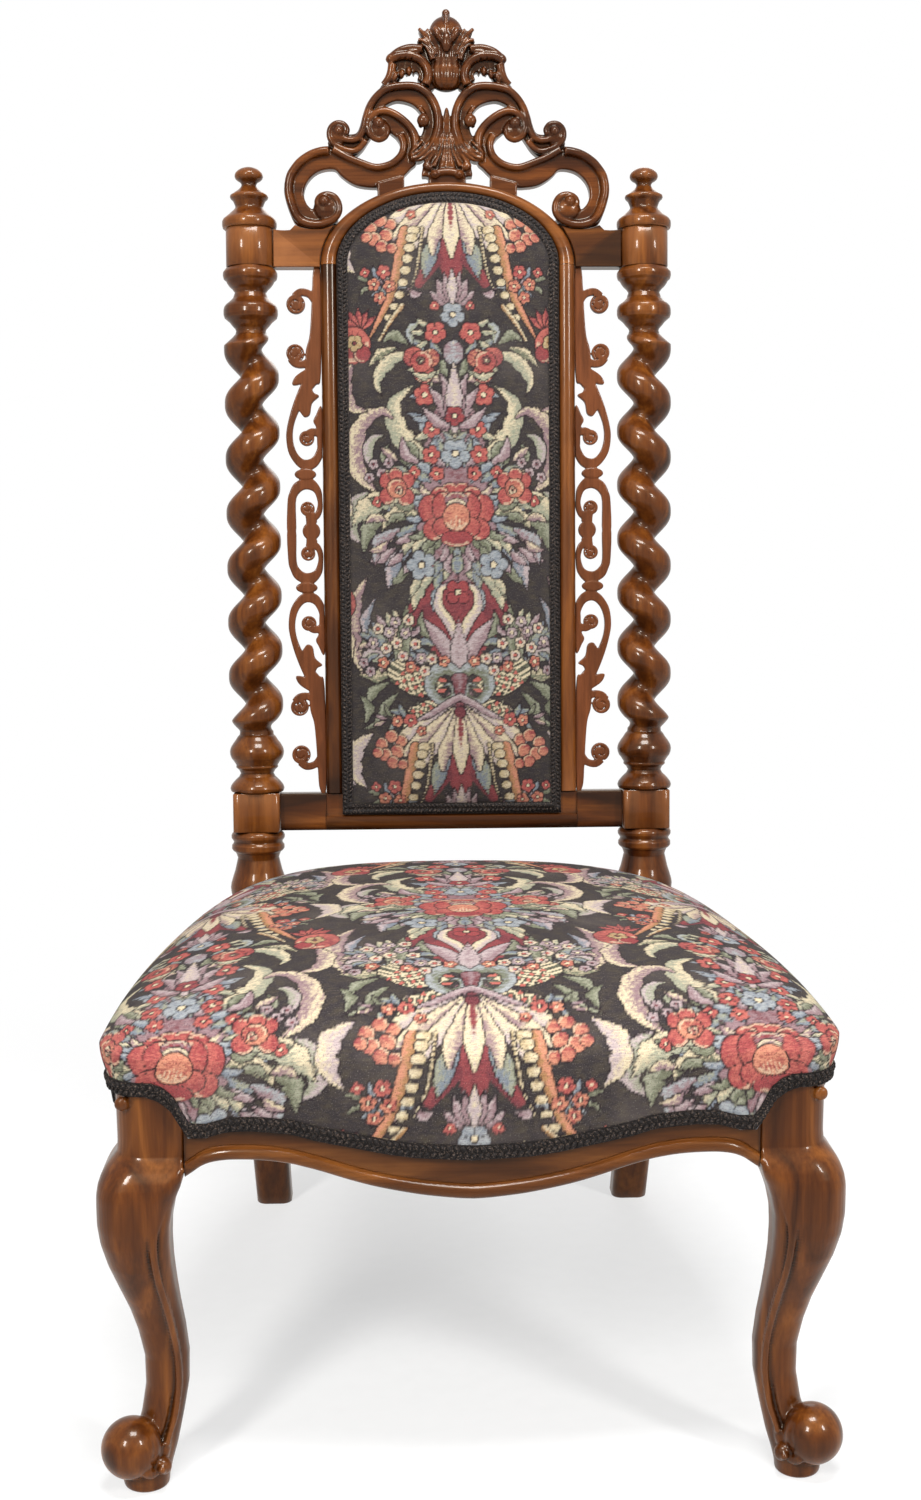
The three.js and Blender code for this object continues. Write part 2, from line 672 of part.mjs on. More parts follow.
function archHeadShape() {
  const edge = archPoints(frameHalfWidth, archRise, springLine);
  const outer = plate(edge, -frameHalfThickness, frameHalfThickness);
  const half = frameHalfWidth - stileWidth;
  const opening = plate(
    archPoints(half, archInnerRise, springLine - overrun),
    -frameHalfThickness - overrun,
    frameHalfThickness + overrun,
  );
  let body = rebated(outer.subtract(opening));
  const outside = frameHalfWidth + overrun;
  for (const [, side] of sides) {
    body = body.subtract(stileTenon(side, 1, clearance));
    body = body.subtract(crestDowel(side, clearance));
    body = body.subtract(crossTenon(side, shoulderSocket, outside, shoulderBottom, shoulderTop, clearance));
  }
  return body;
}

function backRailShape() {
  const low = along(backRailBottom);
  const high = along(backRailTop);
  const panelHalf = shoulderThickness / 2;
  const reach = postFace - clearance;
  let body = block(-frameHalfWidth, frameHalfWidth, -frameHalfThickness, frameHalfThickness, low, high);
  body = rebated(body).add(block(-reach, -frameHalfWidth, -panelHalf, panelHalf, low, high));
  body = body.add(block(frameHalfWidth, reach, -panelHalf, panelHalf, low, high));
  for (const [, side] of sides) {
    body = body.add(crossTenon(side, reach - overrun, tenonTip, backRailBottom, backRailTop, 0));
    body = body.subtract(stileTenon(side, -1, clearance));
  }
  return body;
}

// Shoulder rail from the post to the arch: its top dips beside the post and rises to meet the crest
function shoulderShape(side) {
  const reach = postFace - clearance;
  const low = along(shoulderBottom);
  const top = shoulderTopShares.map(([widthShare, heightShare]) => [
    side * Math.min(crestHalfWidth * widthShare, reach),
    along(shoulderTop) + crestHeight * heightShare,
  ]);
  const innerEnd = top[top.length - 1][0];
  const points = [...top, [innerEnd, low], [side * reach, low]];
  let body = plate(points, -shoulderThickness / 2, shoulderThickness / 2);
  body = body.subtract(frameOutline(clearance)).subtract(crestBody(clearance));
  const outerTenon = crossTenon(side, reach - overrun, tenonTip, shoulderBottom, shoulderTop, 0);
  const innerTip = shoulderSocket + clearance;
  const innerTenon = crossTenon(side, innerTip, frameHalfWidth + overrun, shoulderBottom, shoulderTop, 0);
  return join([body, outerTenon, innerTenon]);
}

// The whole outside of the back frame, to cut what stands on it
function frameOutline(grown) {
  const points = archPoints(frameHalfWidth + grown, archRise + grown, backRailBottom);
  return plate(points, -frameHalfThickness - overrun, frameHalfThickness + overrun);
}

// A strap of wood along a centre line, tapering from one width to another
function strap(centres, startWidth, endWidth, y0, y1) {
  const left = [];
  const right = [];
  centres.forEach(([x, z], k) => {
    const [px, pz] = centres[Math.max(k - 1, 0)];
    const [nx, nz] = centres[Math.min(k + 1, centres.length - 1)];
    const length = Math.hypot(nx - px, nz - pz);
    const half = (startWidth + ((endWidth - startWidth) * k) / (centres.length - 1)) / 2;
    const offsetX = (-(nz - pz) / length) * half;
    const offsetZ = ((nx - px) / length) * half;
    left.push([x + offsetX, z + offsetZ]);
    right.unshift([x - offsetX, z - offsetZ]);
  });
  return plate([...left, ...right], y0, y1);
}

function crestPoint(side, [widthShare, heightShare]) {
  return [side * crestHalfWidth * widthShare, along(shoulderTop) + crestHeight * heightShare];
}

// Crest as deep as its parts: scrolls, volutes, leaves, urn, stem and pads, with the bud in the middle
function crestBody(grown) {
  const bodies = [];
  const half = crestThickness / 2 + grown;
  const deep = upperScrollThickness / 2 + grown;
  const thin = leafThickness / 2 + grown;
  for (const [, side] of sides) {
    const place = (shares) => shares.map((share) => crestPoint(side, share));
    bodies.push(plate(place(outerScrollShares), -half, half));
    bodies.push(plate(place(upperScrollShares), -deep, deep));
    const hole = plate(place(leafHoleShares), -deep, deep);
    bodies.push(plate(place(leafShares), -thin, thin).subtract(hole));
    bodies.push(plate(place(padShares), -half, half));
    for (const [widthShare, heightShare, radiusShare] of voluteShares) {
      const [x, z] = crestPoint(side, [widthShare, heightShare]);
      bodies.push(disc(x, z, -deep, deep, crestHalfWidth * radiusShare + grown));
    }
  }
  const urnHalf = urnThickness / 2 + grown;
  for (const [shares, depth] of [[urnShares, urnHalf], [stemShares, half]]) {
    const rightEdge = shares.map((share) => crestPoint(1, share));
    const leftEdge = shares.slice(1, -1).reverse().map((share) => crestPoint(-1, share));
    bodies.push(plate([...rightEdge, ...leftEdge], -depth, depth));
  }
  const bud = new THREE.SphereGeometry(budRadius, budSides, budRings);
  bud.translate(0, 0, along(budHeight));
  bodies.push(solid(bud));
  const tip = along(shoulderTop) + crestHeight;
  bodies.push(rod(0, 0, along(budHeight), tip, stemTipRadius));
  return join(bodies).subtract(frameOutline(clearance - grown));
}

function crestDowel(side, grown) {
  const bottom = along(crestDowelHeight) - grown;
  const top = along(crestDowelHeight) + crestDowelLength + grown;
  return rod(side * crestDowelPlace, 0, bottom, top, crestDowelRadius + grown);
}

function crestShape() {
  let body = crestBody(0);
  for (const [, side] of sides) {
    body = body.subtract(crestDowel(side, clearance));
  }
  return body;
}

// Fretted panel: stem, leaf, spur, loop and curls, alike above and below its middle
function fretShape(side) {
  const bodies = [];
  const root = frameHalfWidth + clearance;
  const half = fretThickness / 2;
  const middle = along(fretCentreHeight);
  for (const up of [1, -1]) {
    const at = ([widthShare, heightShare]) => [
      side * (root + fretWidth * widthShare),
      middle + up * fretHalfHeight * heightShare,
    ];
    for (const outline of [fretStemShares, fretLeafShares, fretSpurShares, fretLoopShares]) {
      bodies.push(plate(outline.map(at), -half, half));
    }
    for (const neck of fretNeckShares) {
      bodies.push(strap(neck.map(at), fretNeckWidth, fretNeckWidth, -half, half));
    }
    for (const [widthShare, heightShare, radiusShare] of fretCurlShares) {
      const [x, z] = at([widthShare, heightShare]);
      bodies.push(disc(x, z, -half, half, fretWidth * radiusShare));
    }
    const collarRadius = fretCollarLength / 2;
    const collar = new THREE.CylinderGeometry(collarRadius, collarRadius, fretThickness, roundSides);
    collar.scale(1, 1, fretCollarHeight / fretCollarLength);
    const [collarX, collarZ] = at(fretCollarShares);
    collar.translate(collarX, 0, collarZ);
    bodies.push(solid(collar));
  }
  const [knopPlace, knopRadius] = fretKnopShares;
  bodies.push(disc(side * (root + fretWidth * knopPlace), middle, -half, half, fretWidth * knopRadius));
  return join(bodies);
}

// Layers of the back panel, from the hessian forward to the gimp
const padHalf = gimpOuterHalf - gimpWidth - backPadMargin;
const padRise = gimpOuterRise - gimpWidth - backPadMargin;
const padBottom = gimpOuterBottom + gimpWidth + backPadMargin;
const hessianFront = rebateFront - clearance - hessianThickness;
const padBase = hessianFront - clearance;

// Rings of the pad's crown, from its edge to its pole, offset outwards and forward
function padRings(offset) {
  const rings = [];
  const middle = (along(padBottom) + along(springLine) + padRise) / 2;
  for (const share of backPadShares) {
    const lift = backPadEdge + backPadCrown * Math.cos((share * Math.PI) / 2) ** backPadFullness;
    const ring = archRing(padHalf + offset, padRise + offset, padBottom - offset, padBase - lift - offset);
    rings.push(ring.map(({ x, y, z }) => new THREE.Vector3(x * share, y, middle + (z - middle) * share)));
  }
  rings.push([new THREE.Vector3(0, padBase - backPadEdge - backPadCrown - offset, middle)]);
  return rings;
}

function backHessianShape() {
  const half = gimpOuterHalf - hessianMargin;
  const points = archPoints(half, gimpOuterRise - hessianMargin, gimpOuterBottom + hessianMargin);
  return plate(points, hessianFront, rebateFront - clearance);
}

function backStuffingShape() {
  return loft([archRing(padHalf, padRise, padBottom, padBase), ...padRings(0)]);
}

function backCoverShape() {
  const inner = padRings(clearance).reverse();
  const outer = padRings(clearance + coverThickness);
  const marginFront = padBase - coverThickness;
  const edge = (half, y) => {
    const inset = gimpOuterHalf - half;
    return archRing(half, gimpOuterRise - inset, gimpOuterBottom + inset, y);
  };
  return loft([
    ...inner,
    edge(padHalf + clearance, padBase),
    edge(gimpOuterHalf, padBase),
    edge(gimpOuterHalf, marginFront),
    edge(padHalf + clearance + coverThickness, marginFront),
    ...outer,
  ]);
}

// A flat braid that follows an arched edge
function archBraid(half, rise, bottom, width, near, far) {
  return loft([
    archRing(half, rise, bottom, near),
    archRing(half, rise, bottom, far),
    archRing(half - width, rise - width, bottom + width, far),
    archRing(half - width, rise - width, bottom + width, near),
  ], true);
}

function backGimpShape() {
  const near = padBase - coverThickness - clearance;
  const width = gimpOuterHalf - padHalf - coverThickness - 2 * clearance;
  return archBraid(gimpOuterHalf, gimpOuterRise, gimpOuterBottom, width, near, near - gimpThickness);
}

function outerCoverShape() {
  const points = archPoints(backRebateHalf, backRebateRise, backRebateBottom);
  return plate(points, rebateBack + clearance, rebateBack + clearance + outerCoverThickness);
}

function outerGimpShape() {
  const near = rebateBack + 2 * clearance + outerCoverThickness;
  const far = near + outerGimpThickness;
  return archBraid(backRebateHalf, backRebateRise, backRebateBottom, outerGimpWidth, near, far);
}

// Plans of the seat: the frame's outer faces, and the widest line of the cushion
const railPlan = {
  front: railFrontEdge,
  rear: railRearEdge,
  halfFront: railHalfFront,
  halfRear: railHalfRear,
  corner: railCorner,
};
const cushionPlan = {
  front: seatFrontEdge,
  rear: seatRearEdge,
  halfFront: seatHalfFront,
  halfRear: seatHalfRear,
  corner: seatCorner,
};

function halfWidthAt(plan, y) {
  const share = (y + plan.front) / (plan.front + plan.rear);
  return plan.halfFront + (plan.halfRear - plan.halfFront) * share + seatBelly * 4 * share * (1 - share);
}

// Points of one half of a plan, from the middle of the front to the middle of the rear
function halfPlan(plan, inset) {
  const points = [];
  const radius = Math.max(plan.corner - inset, clearance);
  const cornerX = halfWidthAt(plan, -plan.front) - inset;
  const cornerY = -plan.front + inset;
  const straight = cornerX - radius;
  for (const share of planFrontShares) {
    points.push([straight * share, cornerY - frontBow * (1 - share * share)]);
  }
  for (let k = 1; k <= planCornerSteps; k += 1) {
    const angle = (Math.PI / 2) * (k / planCornerSteps);
    points.push([straight + radius * Math.sin(angle), cornerY + radius * (1 - Math.cos(angle))]);
  }
  const sideStart = cornerY + radius;
  const sideEnd = plan.rear - inset;
  for (const share of planSideShares) {
    const y = sideStart + (sideEnd - sideStart) * share;
    points.push([halfWidthAt(plan, y) - inset, y]);
  }
  const rearHalf = points[points.length - 1][0];
  for (const share of planRearShares) {
    points.push([rearHalf * share, sideEnd]);
  }
  points.push([0, sideEnd]);
  return points;
}

// The whole plan: one half and its mirror image
function wholePlan(plan, inset = 0) {
  const half = halfPlan(plan, inset);
  const mirrored = half.slice(1, -1).reverse().map(([x, y]) => [-x, y]);
  return [...half, ...mirrored];
}

function railBand(bottom, top) {
  const outer = slab(wholePlan(railPlan), bottom, top);
  const inner = slab(wholePlan(railPlan, railThickness), bottom - overrun, top + overrun);
  return outer.subtract(inner);
}

const legFaceY = -legInner - legSetForward;
const railTenonLow = railBottom + railTenonShoulder;
const railTenonHigh = railTop - railTenonShoulder;
const frontTenonY = -railFrontEdge + railThickness / 2;
const postHalf = postBlockWidth / 2;

// Tenons of the seat rails, or their mortises when grown by the clearance
function frontRailTenon(side, grown) {
  const halfThickness = railTenonThickness / 2 + grown;
  const from = side * (legInner - overrun);
  const to = side * (legInner + railTenonLength + grown);
  const low = railTenonLow - grown;
  const high = railTenonHigh + grown;
  return block(from, to, frontTenonY - halfThickness, frontTenonY + halfThickness, low, high);
}

function sideRailTenon(side, end, grown) {
  const halfThickness = railTenonThickness / 2 + grown;
  const root = end < 0 ? legFaceY : -postHalf;
  const middle = halfWidthAt(railPlan, root) - railThickness / 2;
  const tip = root + end * (railTenonLength + grown);
  const low = railTenonLow - grown;
  const high = railTenonHigh + grown;
  return block(
    side * (middle - halfThickness), side * (middle + halfThickness), root - end * overrun, tip, low, high,
  );
}

function rearRailTenon(side, grown) {
  const halfThickness = railTenonThickness / 2 + grown;
  const from = side * (postFace - overrun);
  const to = side * (postFace + tenonLength + grown);
  const middle = railRearEdge - railThickness / 2;
  const low = railTenonLow - grown;
  return block(from, to, middle - halfThickness, middle + halfThickness, low, railTenonHigh + grown);
}

// Front rail: bowed in plan, with a shaped apron and a ledge behind it for the webbing
function frontRailShape() {
  const reach = legInner - clearance;
  const lower = [];
  for (const [widthShare, dropShare] of apronShares) {
    lower.push([reach * widthShare, railBottom - apronDrop * dropShare]);
  }
  const mirrored = lower.slice(1).reverse().map(([x, z]) => [-x, z]);
  const front = -railFrontEdge - frontBow - overrun;
  const rear = -railFrontEdge + railThickness + overrun;
  const face = plate([...mirrored, ...lower, [reach, railTop], [-reach, railTop]], front, rear);
  const behind = slab(wholePlan(railPlan, apronThickness), railBottom - apronDrop - overrun, railBottom);
  const body = railBand(railBottom - apronDrop, railTop).intersect(face).subtract(behind);
  return join([body, frontRailTenon(1, 0), frontRailTenon(-1, 0)]);
}

function sideRailShape(side) {
  const near = legFaceY + clearance;
  const far = -postHalf - clearance;
  const zone = block(side * overrun, side * (railHalfFront + 2 * overrun), near, far, railBottom, railTop);
  const body = railBand(railBottom, railTop).intersect(zone);
  return join([body, sideRailTenon(side, -1, 0), sideRailTenon(side, 1, 0)]);
}

function rearRailShape() {
  const reach = postFace - clearance;
  const zone = block(-reach, reach, -railThickness, railRearEdge + overrun, railBottom, railTop);
  const body = railBand(railBottom, railTop).intersect(zone);
  return join([body, rearRailTenon(1, 0), rearRailTenon(-1, 0)]);
}

// Cabriole leg: sections stay square to the chair while the leg sweeps out along its diagonal, and
// its scrolled toe is rounded like a ball
function frontLegShape(side) {
  const rings = [];
  for (const [heightShare, outerShare, innerShare, outerCorner, innerCorner] of frontLegShares) {
    const outer = legInner + legWidth * outerShare;
    const inner = legInner + legWidth * innerShare;
    const half = (outer - inner) / 2;
    const middle = (outer + inner) / 2;
    const tight = 2 * half * innerCorner;
    const free = 2 * half * outerCorner;
    const radii = side > 0 ? [tight, tight, tight, free] : [tight, tight, free, tight];
    const centre = new THREE.Vector2(side * middle, -middle - legSetForward);
    const place = (x, y) => new THREE.Vector3(x, y, legTop * heightShare);
    rings.push(squareRing(half, half, radii, centre, place));
  }
  const ball = new THREE.SphereGeometry(footBallRadius, footBallSides, footBallRings);
  ball.translate(side * footBallPlace, -footBallPlace - legSetForward, footBallHeight);
  const body = solid(loft(rings)).add(solid(ball));
  return body.subtract(frontRailTenon(side, clearance)).subtract(sideRailTenon(side, -1, clearance));
}

// Screw along Z with its head at the top, to be turned and placed by the block it holds
function screwGeometry(grown) {
  const profile = [
    new THREE.Vector2(0, -screwLength - grown),
    new THREE.Vector2(screwRadius + grown, -screwLength - grown + screwRadius),
    new THREE.Vector2(screwRadius + grown, -screwHeadHeight),
    new THREE.Vector2(screwHeadRadius + grown, 0),
    new THREE.Vector2(screwHeadRadius + grown, grown > 0 ? screwLength : 0),
    new THREE.Vector2(0, grown > 0 ? screwLength : 0),
  ];
  const kept = grown > 0 ? profile : profile.filter((point, k) => k !== 4);
  const geometry = new THREE.LatheGeometry(kept, roundSides);
  geometry.rotateX(Math.PI / 2);
  return geometry;
}

// Places of the two screws of a corner block: one into the cross rail, one into the side rail
function blockScrews(side, end, grown) {
  const height = blockBottom + blockHeight / 2;
  const reach = end < 0 ? frontBlockReach : rearBlockReach;
  const faceX = end < 0 ? legInner : postFace;
  const faceY = end < 0 ? legFaceY : -postHalf;
  const crossInner = end < 0 ? -railFrontEdge + railThickness : railRearEdge - railThickness;
  const crossScrew = screwGeometry(grown);
  crossScrew.rotateX((end < 0 ? -1 : 1) * (Math.PI / 2));
  const crossDepth = (reach - screwPlace) * screwDepthShare;
  crossScrew.translate(side * (faceX - screwPlace), crossInner - end * (crossDepth - screwSink), height);
  const sideScrew = screwGeometry(grown);
  sideScrew.rotateY((side * -Math.PI) / 2);
  const sideY = faceY - end * screwPlace;
  const sideInner = halfWidthAt(railPlan, sideY) - railThickness;
  sideScrew.translate(side * (sideInner - crossDepth + screwSink), sideY, height);
  return [crossScrew, sideScrew];
}

// Corner block: a triangle of beech glued in the corner and cut round the leg or the post
function cornerBlockShape(side, end) {
  const reach = end < 0 ? frontBlockReach : rearBlockReach;
  const faceX = end < 0 ? legInner : postFace;
  const faceY = end < 0 ? legFaceY : -postHalf;
  const crossY = end < 0 ? -railFrontEdge : railRearEdge;
  const far = railHalfFront;
  const points = [
    [side * (faceX - reach), crossY + end * frontBow],
    [side * far, crossY + end * frontBow],
    [side * far, faceY - end * reach],
    [side * (halfWidthAt(railPlan, faceY - end * reach) - railThickness), faceY - end * reach],
    [side * (faceX - reach), crossY - end * railThickness],
  ];
  const top = blockBottom + blockHeight;
  const inside = slab(wholePlan(railPlan, railThickness + clearance), blockBottom - overrun, top + overrun);
  const corner = block(
    side * (faceX - clearance), side * far, faceY - end * clearance, crossY + end * railThickness,
    blockBottom - overrun, top + overrun,
  );
  let body = slab(points, blockBottom, top).intersect(inside).subtract(corner);
  for (const screw of blockScrews(side, end, clearance)) {
    body = body.subtract(solid(screw));
  }
  return body;
}

// Height of the cover's lower edge: a low sweep in front that climbs over the legs' tops
function hemHeight(x, y) {
  const corner = legInner + legWidth;
  const behindLeg = y > legFaceY;
  const fromSide = corner - Math.max(0, y + corner + legSetForward);
  const place = behindLeg ? legInner : Math.min(Math.abs(x), fromSide);
  return hemCentreHeight + (hemCornerHeight - hemCentreHeight) * climbAt(place / corner);
}

function climbAt(place) {
  for (let k = 1; k < hemShares.length; k += 1) {
    const [from, low] = hemShares[k - 1];
    const [to, high] = hemShares[k];
    if (place <= to) return low + ((high - low) * (place - from)) / (to - from);
  }
  return 1;
}

// Half width of the cushion's widest line at a place along the seat, round its front corners
function cushionHalfWidth(y, inset) {
  const radius = cushionPlan.corner;
  const cornerY = -cushionPlan.front + inset + radius;
  const straight = halfWidthAt(cushionPlan, y) - inset;
  if (y >= cornerY) return straight;
  const drop = Math.min(cornerY - y, radius);
  return straight - radius + Math.sqrt(radius * radius - drop * drop);
}

// Rise of the crown over the cushion's widest line, as a share of its full height
function crownShare(x, y, inset) {
  const half = cushionHalfWidth(y, inset);
  const across = Math.min(1, Math.abs(x) / half);
  const front = -cushionPlan.front + inset - frontBow * (1 - across * across);
  const rear = cushionPlan.rear - inset;
  const alongShare = Math.min(1, Math.max(-1, (2 * (y - front)) / (rear - front) - 1));
  const side = (1 - across ** crownAcrossPower) ** (1 / crownAcrossRoot);
  const end = (1 - Math.abs(alongShare) ** crownAlongPower) ** (1 / crownAlongRoot);
  return side * end;
}

const crownCentreY = (seatRearEdge - seatFrontEdge) / 2;

// Rings of the crown from the widest line to the pole, drawn in by the inset
function crownRings(inset, base, crown, shares) {
  const outline = wholePlan(cushionPlan, inset);
  const rings = shares.map((share) => outline.map(([x, y]) => {
    const px = x * share;
    const py = crownCentreY + (y - crownCentreY) * share;
    const rise = share === 1 ? 0 : crownShare(px, py, inset);
    return new THREE.Vector3(px, py, base + crown * rise);
  }));
  rings.push([new THREE.Vector3(0, crownCentreY, base + crown * crownShare(0, crownCentreY, inset))]);
  return rings;
}

// Ring of the cover's skirt: at its hem, at the gimp's upper edge, or half way from there to the
// widest line
function skirtRing(inset, rung) {
  const low = wholePlan(railPlan, -clearance - seatCoverThickness + inset);
  const high = wholePlan(cushionPlan, inset);
  return low.map(([x, y], k) => {
    const hem = hemHeight(x, y);
    const full = seatWidestHeight - hem;
    const climb = [0, seatGimpHeight, (seatGimpHeight + full) / 2][rung];
    const swing = Math.sin((climb / full) * (Math.PI / 2)) ** skirtSwing;
    return new THREE.Vector3(x + (high[k][0] - x) * swing, y + (high[k][1] - y) * swing, hem + climb);
  });
}

// Space round a post that the upholstery leaves free
function postNotch(side, grown) {
  const half = postHalf + grown;
  const rear = seatRearEdge + 2 * overrun;
  const low = rearBlockBottom;
  const square = block(side * (postX - half), side * (postX + half), -half, rear, low, rearBlockTop);
  const round = postRadius * bulbWidestShare + grown;
  const outer = side * (postX + round);
  const above = block(side * (postX - round), outer, -round, rear, rearBlockTop, lowBlockTop);
  return square.add(above);
}

function notched(body, grown) {
  return body.subtract(postNotch(-1, grown)).subtract(postNotch(1, grown));
}

function seatCoverShape() {
  const outer = crownRings(0, seatWidestHeight, seatCrown, seatCrownShares);
  const thin = seatCoverThickness;
  const inner = crownRings(thin, seatWidestHeight - thin, seatCrown, seatCrownShares);
  const body = loft([
    ...inner.reverse(),
    skirtRing(thin, 2),
    skirtRing(thin, 1),
    skirtRing(thin, 0),
    skirtRing(0, 0),
    skirtRing(0, 1),
    skirtRing(0, 2),
    ...outer,
  ]);
  return notched(solid(body), clearance);
}

// Stuffing between the hessian over the springs and the cover
function seatStuffingShape() {
  const inset = seatCoverThickness + clearance;
  const base = seatWidestHeight - inset;
  const outer = crownRings(inset, base, seatCrown, seatCrownShares);
  const edge = wholePlan(railPlan, 0).map(([x, y]) => new THREE.Vector3(x, y, railTop + clearance));
  const lower = hessianRings(hessianThickness + clearance).reverse();
  return notched(solid(loft([...lower, edge, ...outer])), 2 * clearance);
}

// Rings of the hessian's dome over the springs, lifted by an offset, from its edge to its pole
function hessianRings(lift) {
  const outline = wholePlan(railPlan, seatHessianInset);
  const base = railTop + clearance + lift;
  const rings = springHessianShares.map((share) => outline.map(([x, y]) => {
    const py = crownCentreY + (y - crownCentreY) * share;
    return new THREE.Vector3(x * share, py, base + hessianCrown * hessianRise(share));
  }));
  rings.push([new THREE.Vector3(0, crownCentreY, base + hessianCrown)]);
  return rings;
}

// The hessian stays flat over the rails and rises inside them
function hessianRise(share) {
  return share > hessianFlatShare ? 0 : Math.cos((share * Math.PI) / 2) ** hessianFullness;
}

function springHessianShape() {
  const under = hessianRings(0);
  const over = hessianRings(hessianThickness).reverse();
  return notched(solid(loft([...over, ...under])), 2 * clearance);
}

// Gimp along the cover's hem, cut into its run round the front and its length behind
function seatGimpRing() {
  const far = -clearance - seatGimpThickness;
  return solid(loft([
    skirtRing(far, 0),
    skirtRing(far, 1),
    skirtRing(-clearance, 1),
    skirtRing(-clearance, 0),
  ], true));
}

function behindPosts(reach) {
  return block(
    -reach, reach, -postHalf - clearance, seatRearEdge + 2 * overrun, railBottom - overrun, legTop + overrun,
  );
}

// Webbing: straps tacked under the rails and woven over and under each other
const webbingUp = railBottom - clearance - webbingThickness / 2;
const webbingDown = webbingUp - webbingThickness - clearance;

function webbingProfile(from, to, crossings) {
  const line = [[from, webbingUp]];
  for (const [place, isDown] of crossings) {
    if (isDown) {
      const reach = webbingWidth / 2 + webbingEase;
      line.push([place - reach - webbingRamp, webbingUp], [place - reach, webbingDown]);
      line.push([place + reach, webbingDown], [place + reach + webbingRamp, webbingUp]);
    }
  }
  line.push([to, webbingUp]);
  const half = webbingThickness / 2;
  const over = line.map(([s, z]) => [s, z + half]);
  const under = line.map(([s, z]) => [s, z - half]).reverse();
  return [...over, ...under];
}

const webbingAcross = [-1, 0, 1].map((k) => k * webbingSpacingAcross);
const webbingAlong = [-1, 0, 1].map((k) => k * webbingSpacingAlong - webbingMiddle);

function crossWebbingShape(row) {
  const y = webbingAlong[row];
  const reach = halfWidthAt(railPlan, y - webbingWidth / 2) - webbingTackMargin;
  const crossings = webbingAcross.map((x, column) => [x, (row + column) % 2 === 1]);
  return plate(webbingProfile(-reach, reach, crossings), y - webbingWidth / 2, y + webbingWidth / 2);
}

function longWebbingShape(column) {
  const x = webbingAcross[column];
  const front = -railFrontEdge + apronThickness + clearance;
  const rear = railRearEdge - webbingTackMargin;
  const crossings = webbingAlong.map((y, row) => [y, (row + column) % 2 === 0]);
  const shape = new THREE.Shape(
    webbingProfile(front, rear, crossings).map(([s, z]) => new THREE.Vector2(s, z)),
  );
  const geometry = new THREE.ExtrudeGeometry(shape, { depth: webbingWidth, bevelEnabled: false });
  geometry.rotateX(Math.PI / 2);
  geometry.rotateZ(Math.PI / 2);
  geometry.translate(x - webbingWidth / 2, 0, 0);
  return geometry;
}

// Coil spring, waisted, from the webbing up to the hessian
class SpringPath extends THREE.Curve {
  constructor(x, y, bottom, top) {
    super();
    this.centre = new THREE.Vector2(x, y);
    this.bottom = bottom;
    this.top = top;
  }

  getPoint(t, target = new THREE.Vector3()) {
    const angle = 2 * Math.PI * springTurns * t;
    const waist = Math.sin(Math.PI * t);
    const r = springRadius - (springRadius - springWaist) * waist;
    const height = this.bottom + (this.top - this.bottom) * t;
    return target.set(this.centre.x + r * Math.cos(angle), this.centre.y + r * Math.sin(angle), height);
  }
}

function springShape(x, y) {
  const wire = springWire / 2;
  const bottom = webbingUp + webbingThickness / 2 + clearance + wire;
  const share = Math.hypot(x / railHalfFront, (y - crownCentreY) / -crownCentreY);
  const reach = Math.min(hessianFlatShare, share + springRadius / railHalfRear);
  const top = railTop + hessianCrown * hessianRise(reach) - springSlack - wire;
  const section = new THREE.Shape();
  for (let k = 0; k < springSides; k += 1) {
    const angle = (2 * Math.PI * k) / springSides;
    section.lineTo(wire * Math.cos(angle), wire * Math.sin(angle));
  }
  const path = new SpringPath(x, y, bottom, top);
  const steps = springTurns * springStepsPerTurn;
  return new THREE.ExtrudeGeometry(section, { steps, extrudePath: path, bevelEnabled: false });
}

function dustClothShape() {
  const top = webbingDown - webbingThickness / 2 - clearance;
  let body = slab(wholePlan(railPlan, dustClothInset), top - dustClothThickness, top);
  for (const [, side] of sides) {
    const low = top - overrun;
    const high = top + overrun;
    const legEdge = legInner - 2 * clearance;
    const wide = railHalfFront + overrun;
    body = body.subtract(block(
      side * legEdge, side * wide, -railFrontEdge - frontBow - overrun, legFaceY + 2 * clearance, low, high,
    ));
    const postEdge = postFace - 2 * clearance;
    body = body.subtract(block(
      side * postEdge, side * wide, -postHalf - 2 * clearance, railRearEdge + overrun, low, high,
    ));
  }
  return body;
}

// Sockets that the back's rails, the finials and the seat rails need in the uprights
function uprightWithSockets(side) {
  let body = uprightShape(side);
  const raked = [
    crossTenon(side, postFace - overrun, tenonTip + clearance, backRailBottom, backRailTop, clearance),
    crossTenon(side, postFace - overrun, tenonTip + clearance, shoulderBottom, shoulderTop, clearance),
    rod(
      side * postX, 0, along(highBlockTop) - spigotLength - clearance, along(highBlockTop) + overrun,
      spigotRadius + clearance,
    ),
  ];
  for (const socket of raked) {
    body = body.subtract(solid(moved(meshGeometry(socket), back.matrix)));
  }
  body = body.subtract(sideRailTenon(side, 1, clearance));
  return body.subtract(rearRailTenon(side, clearance));
}

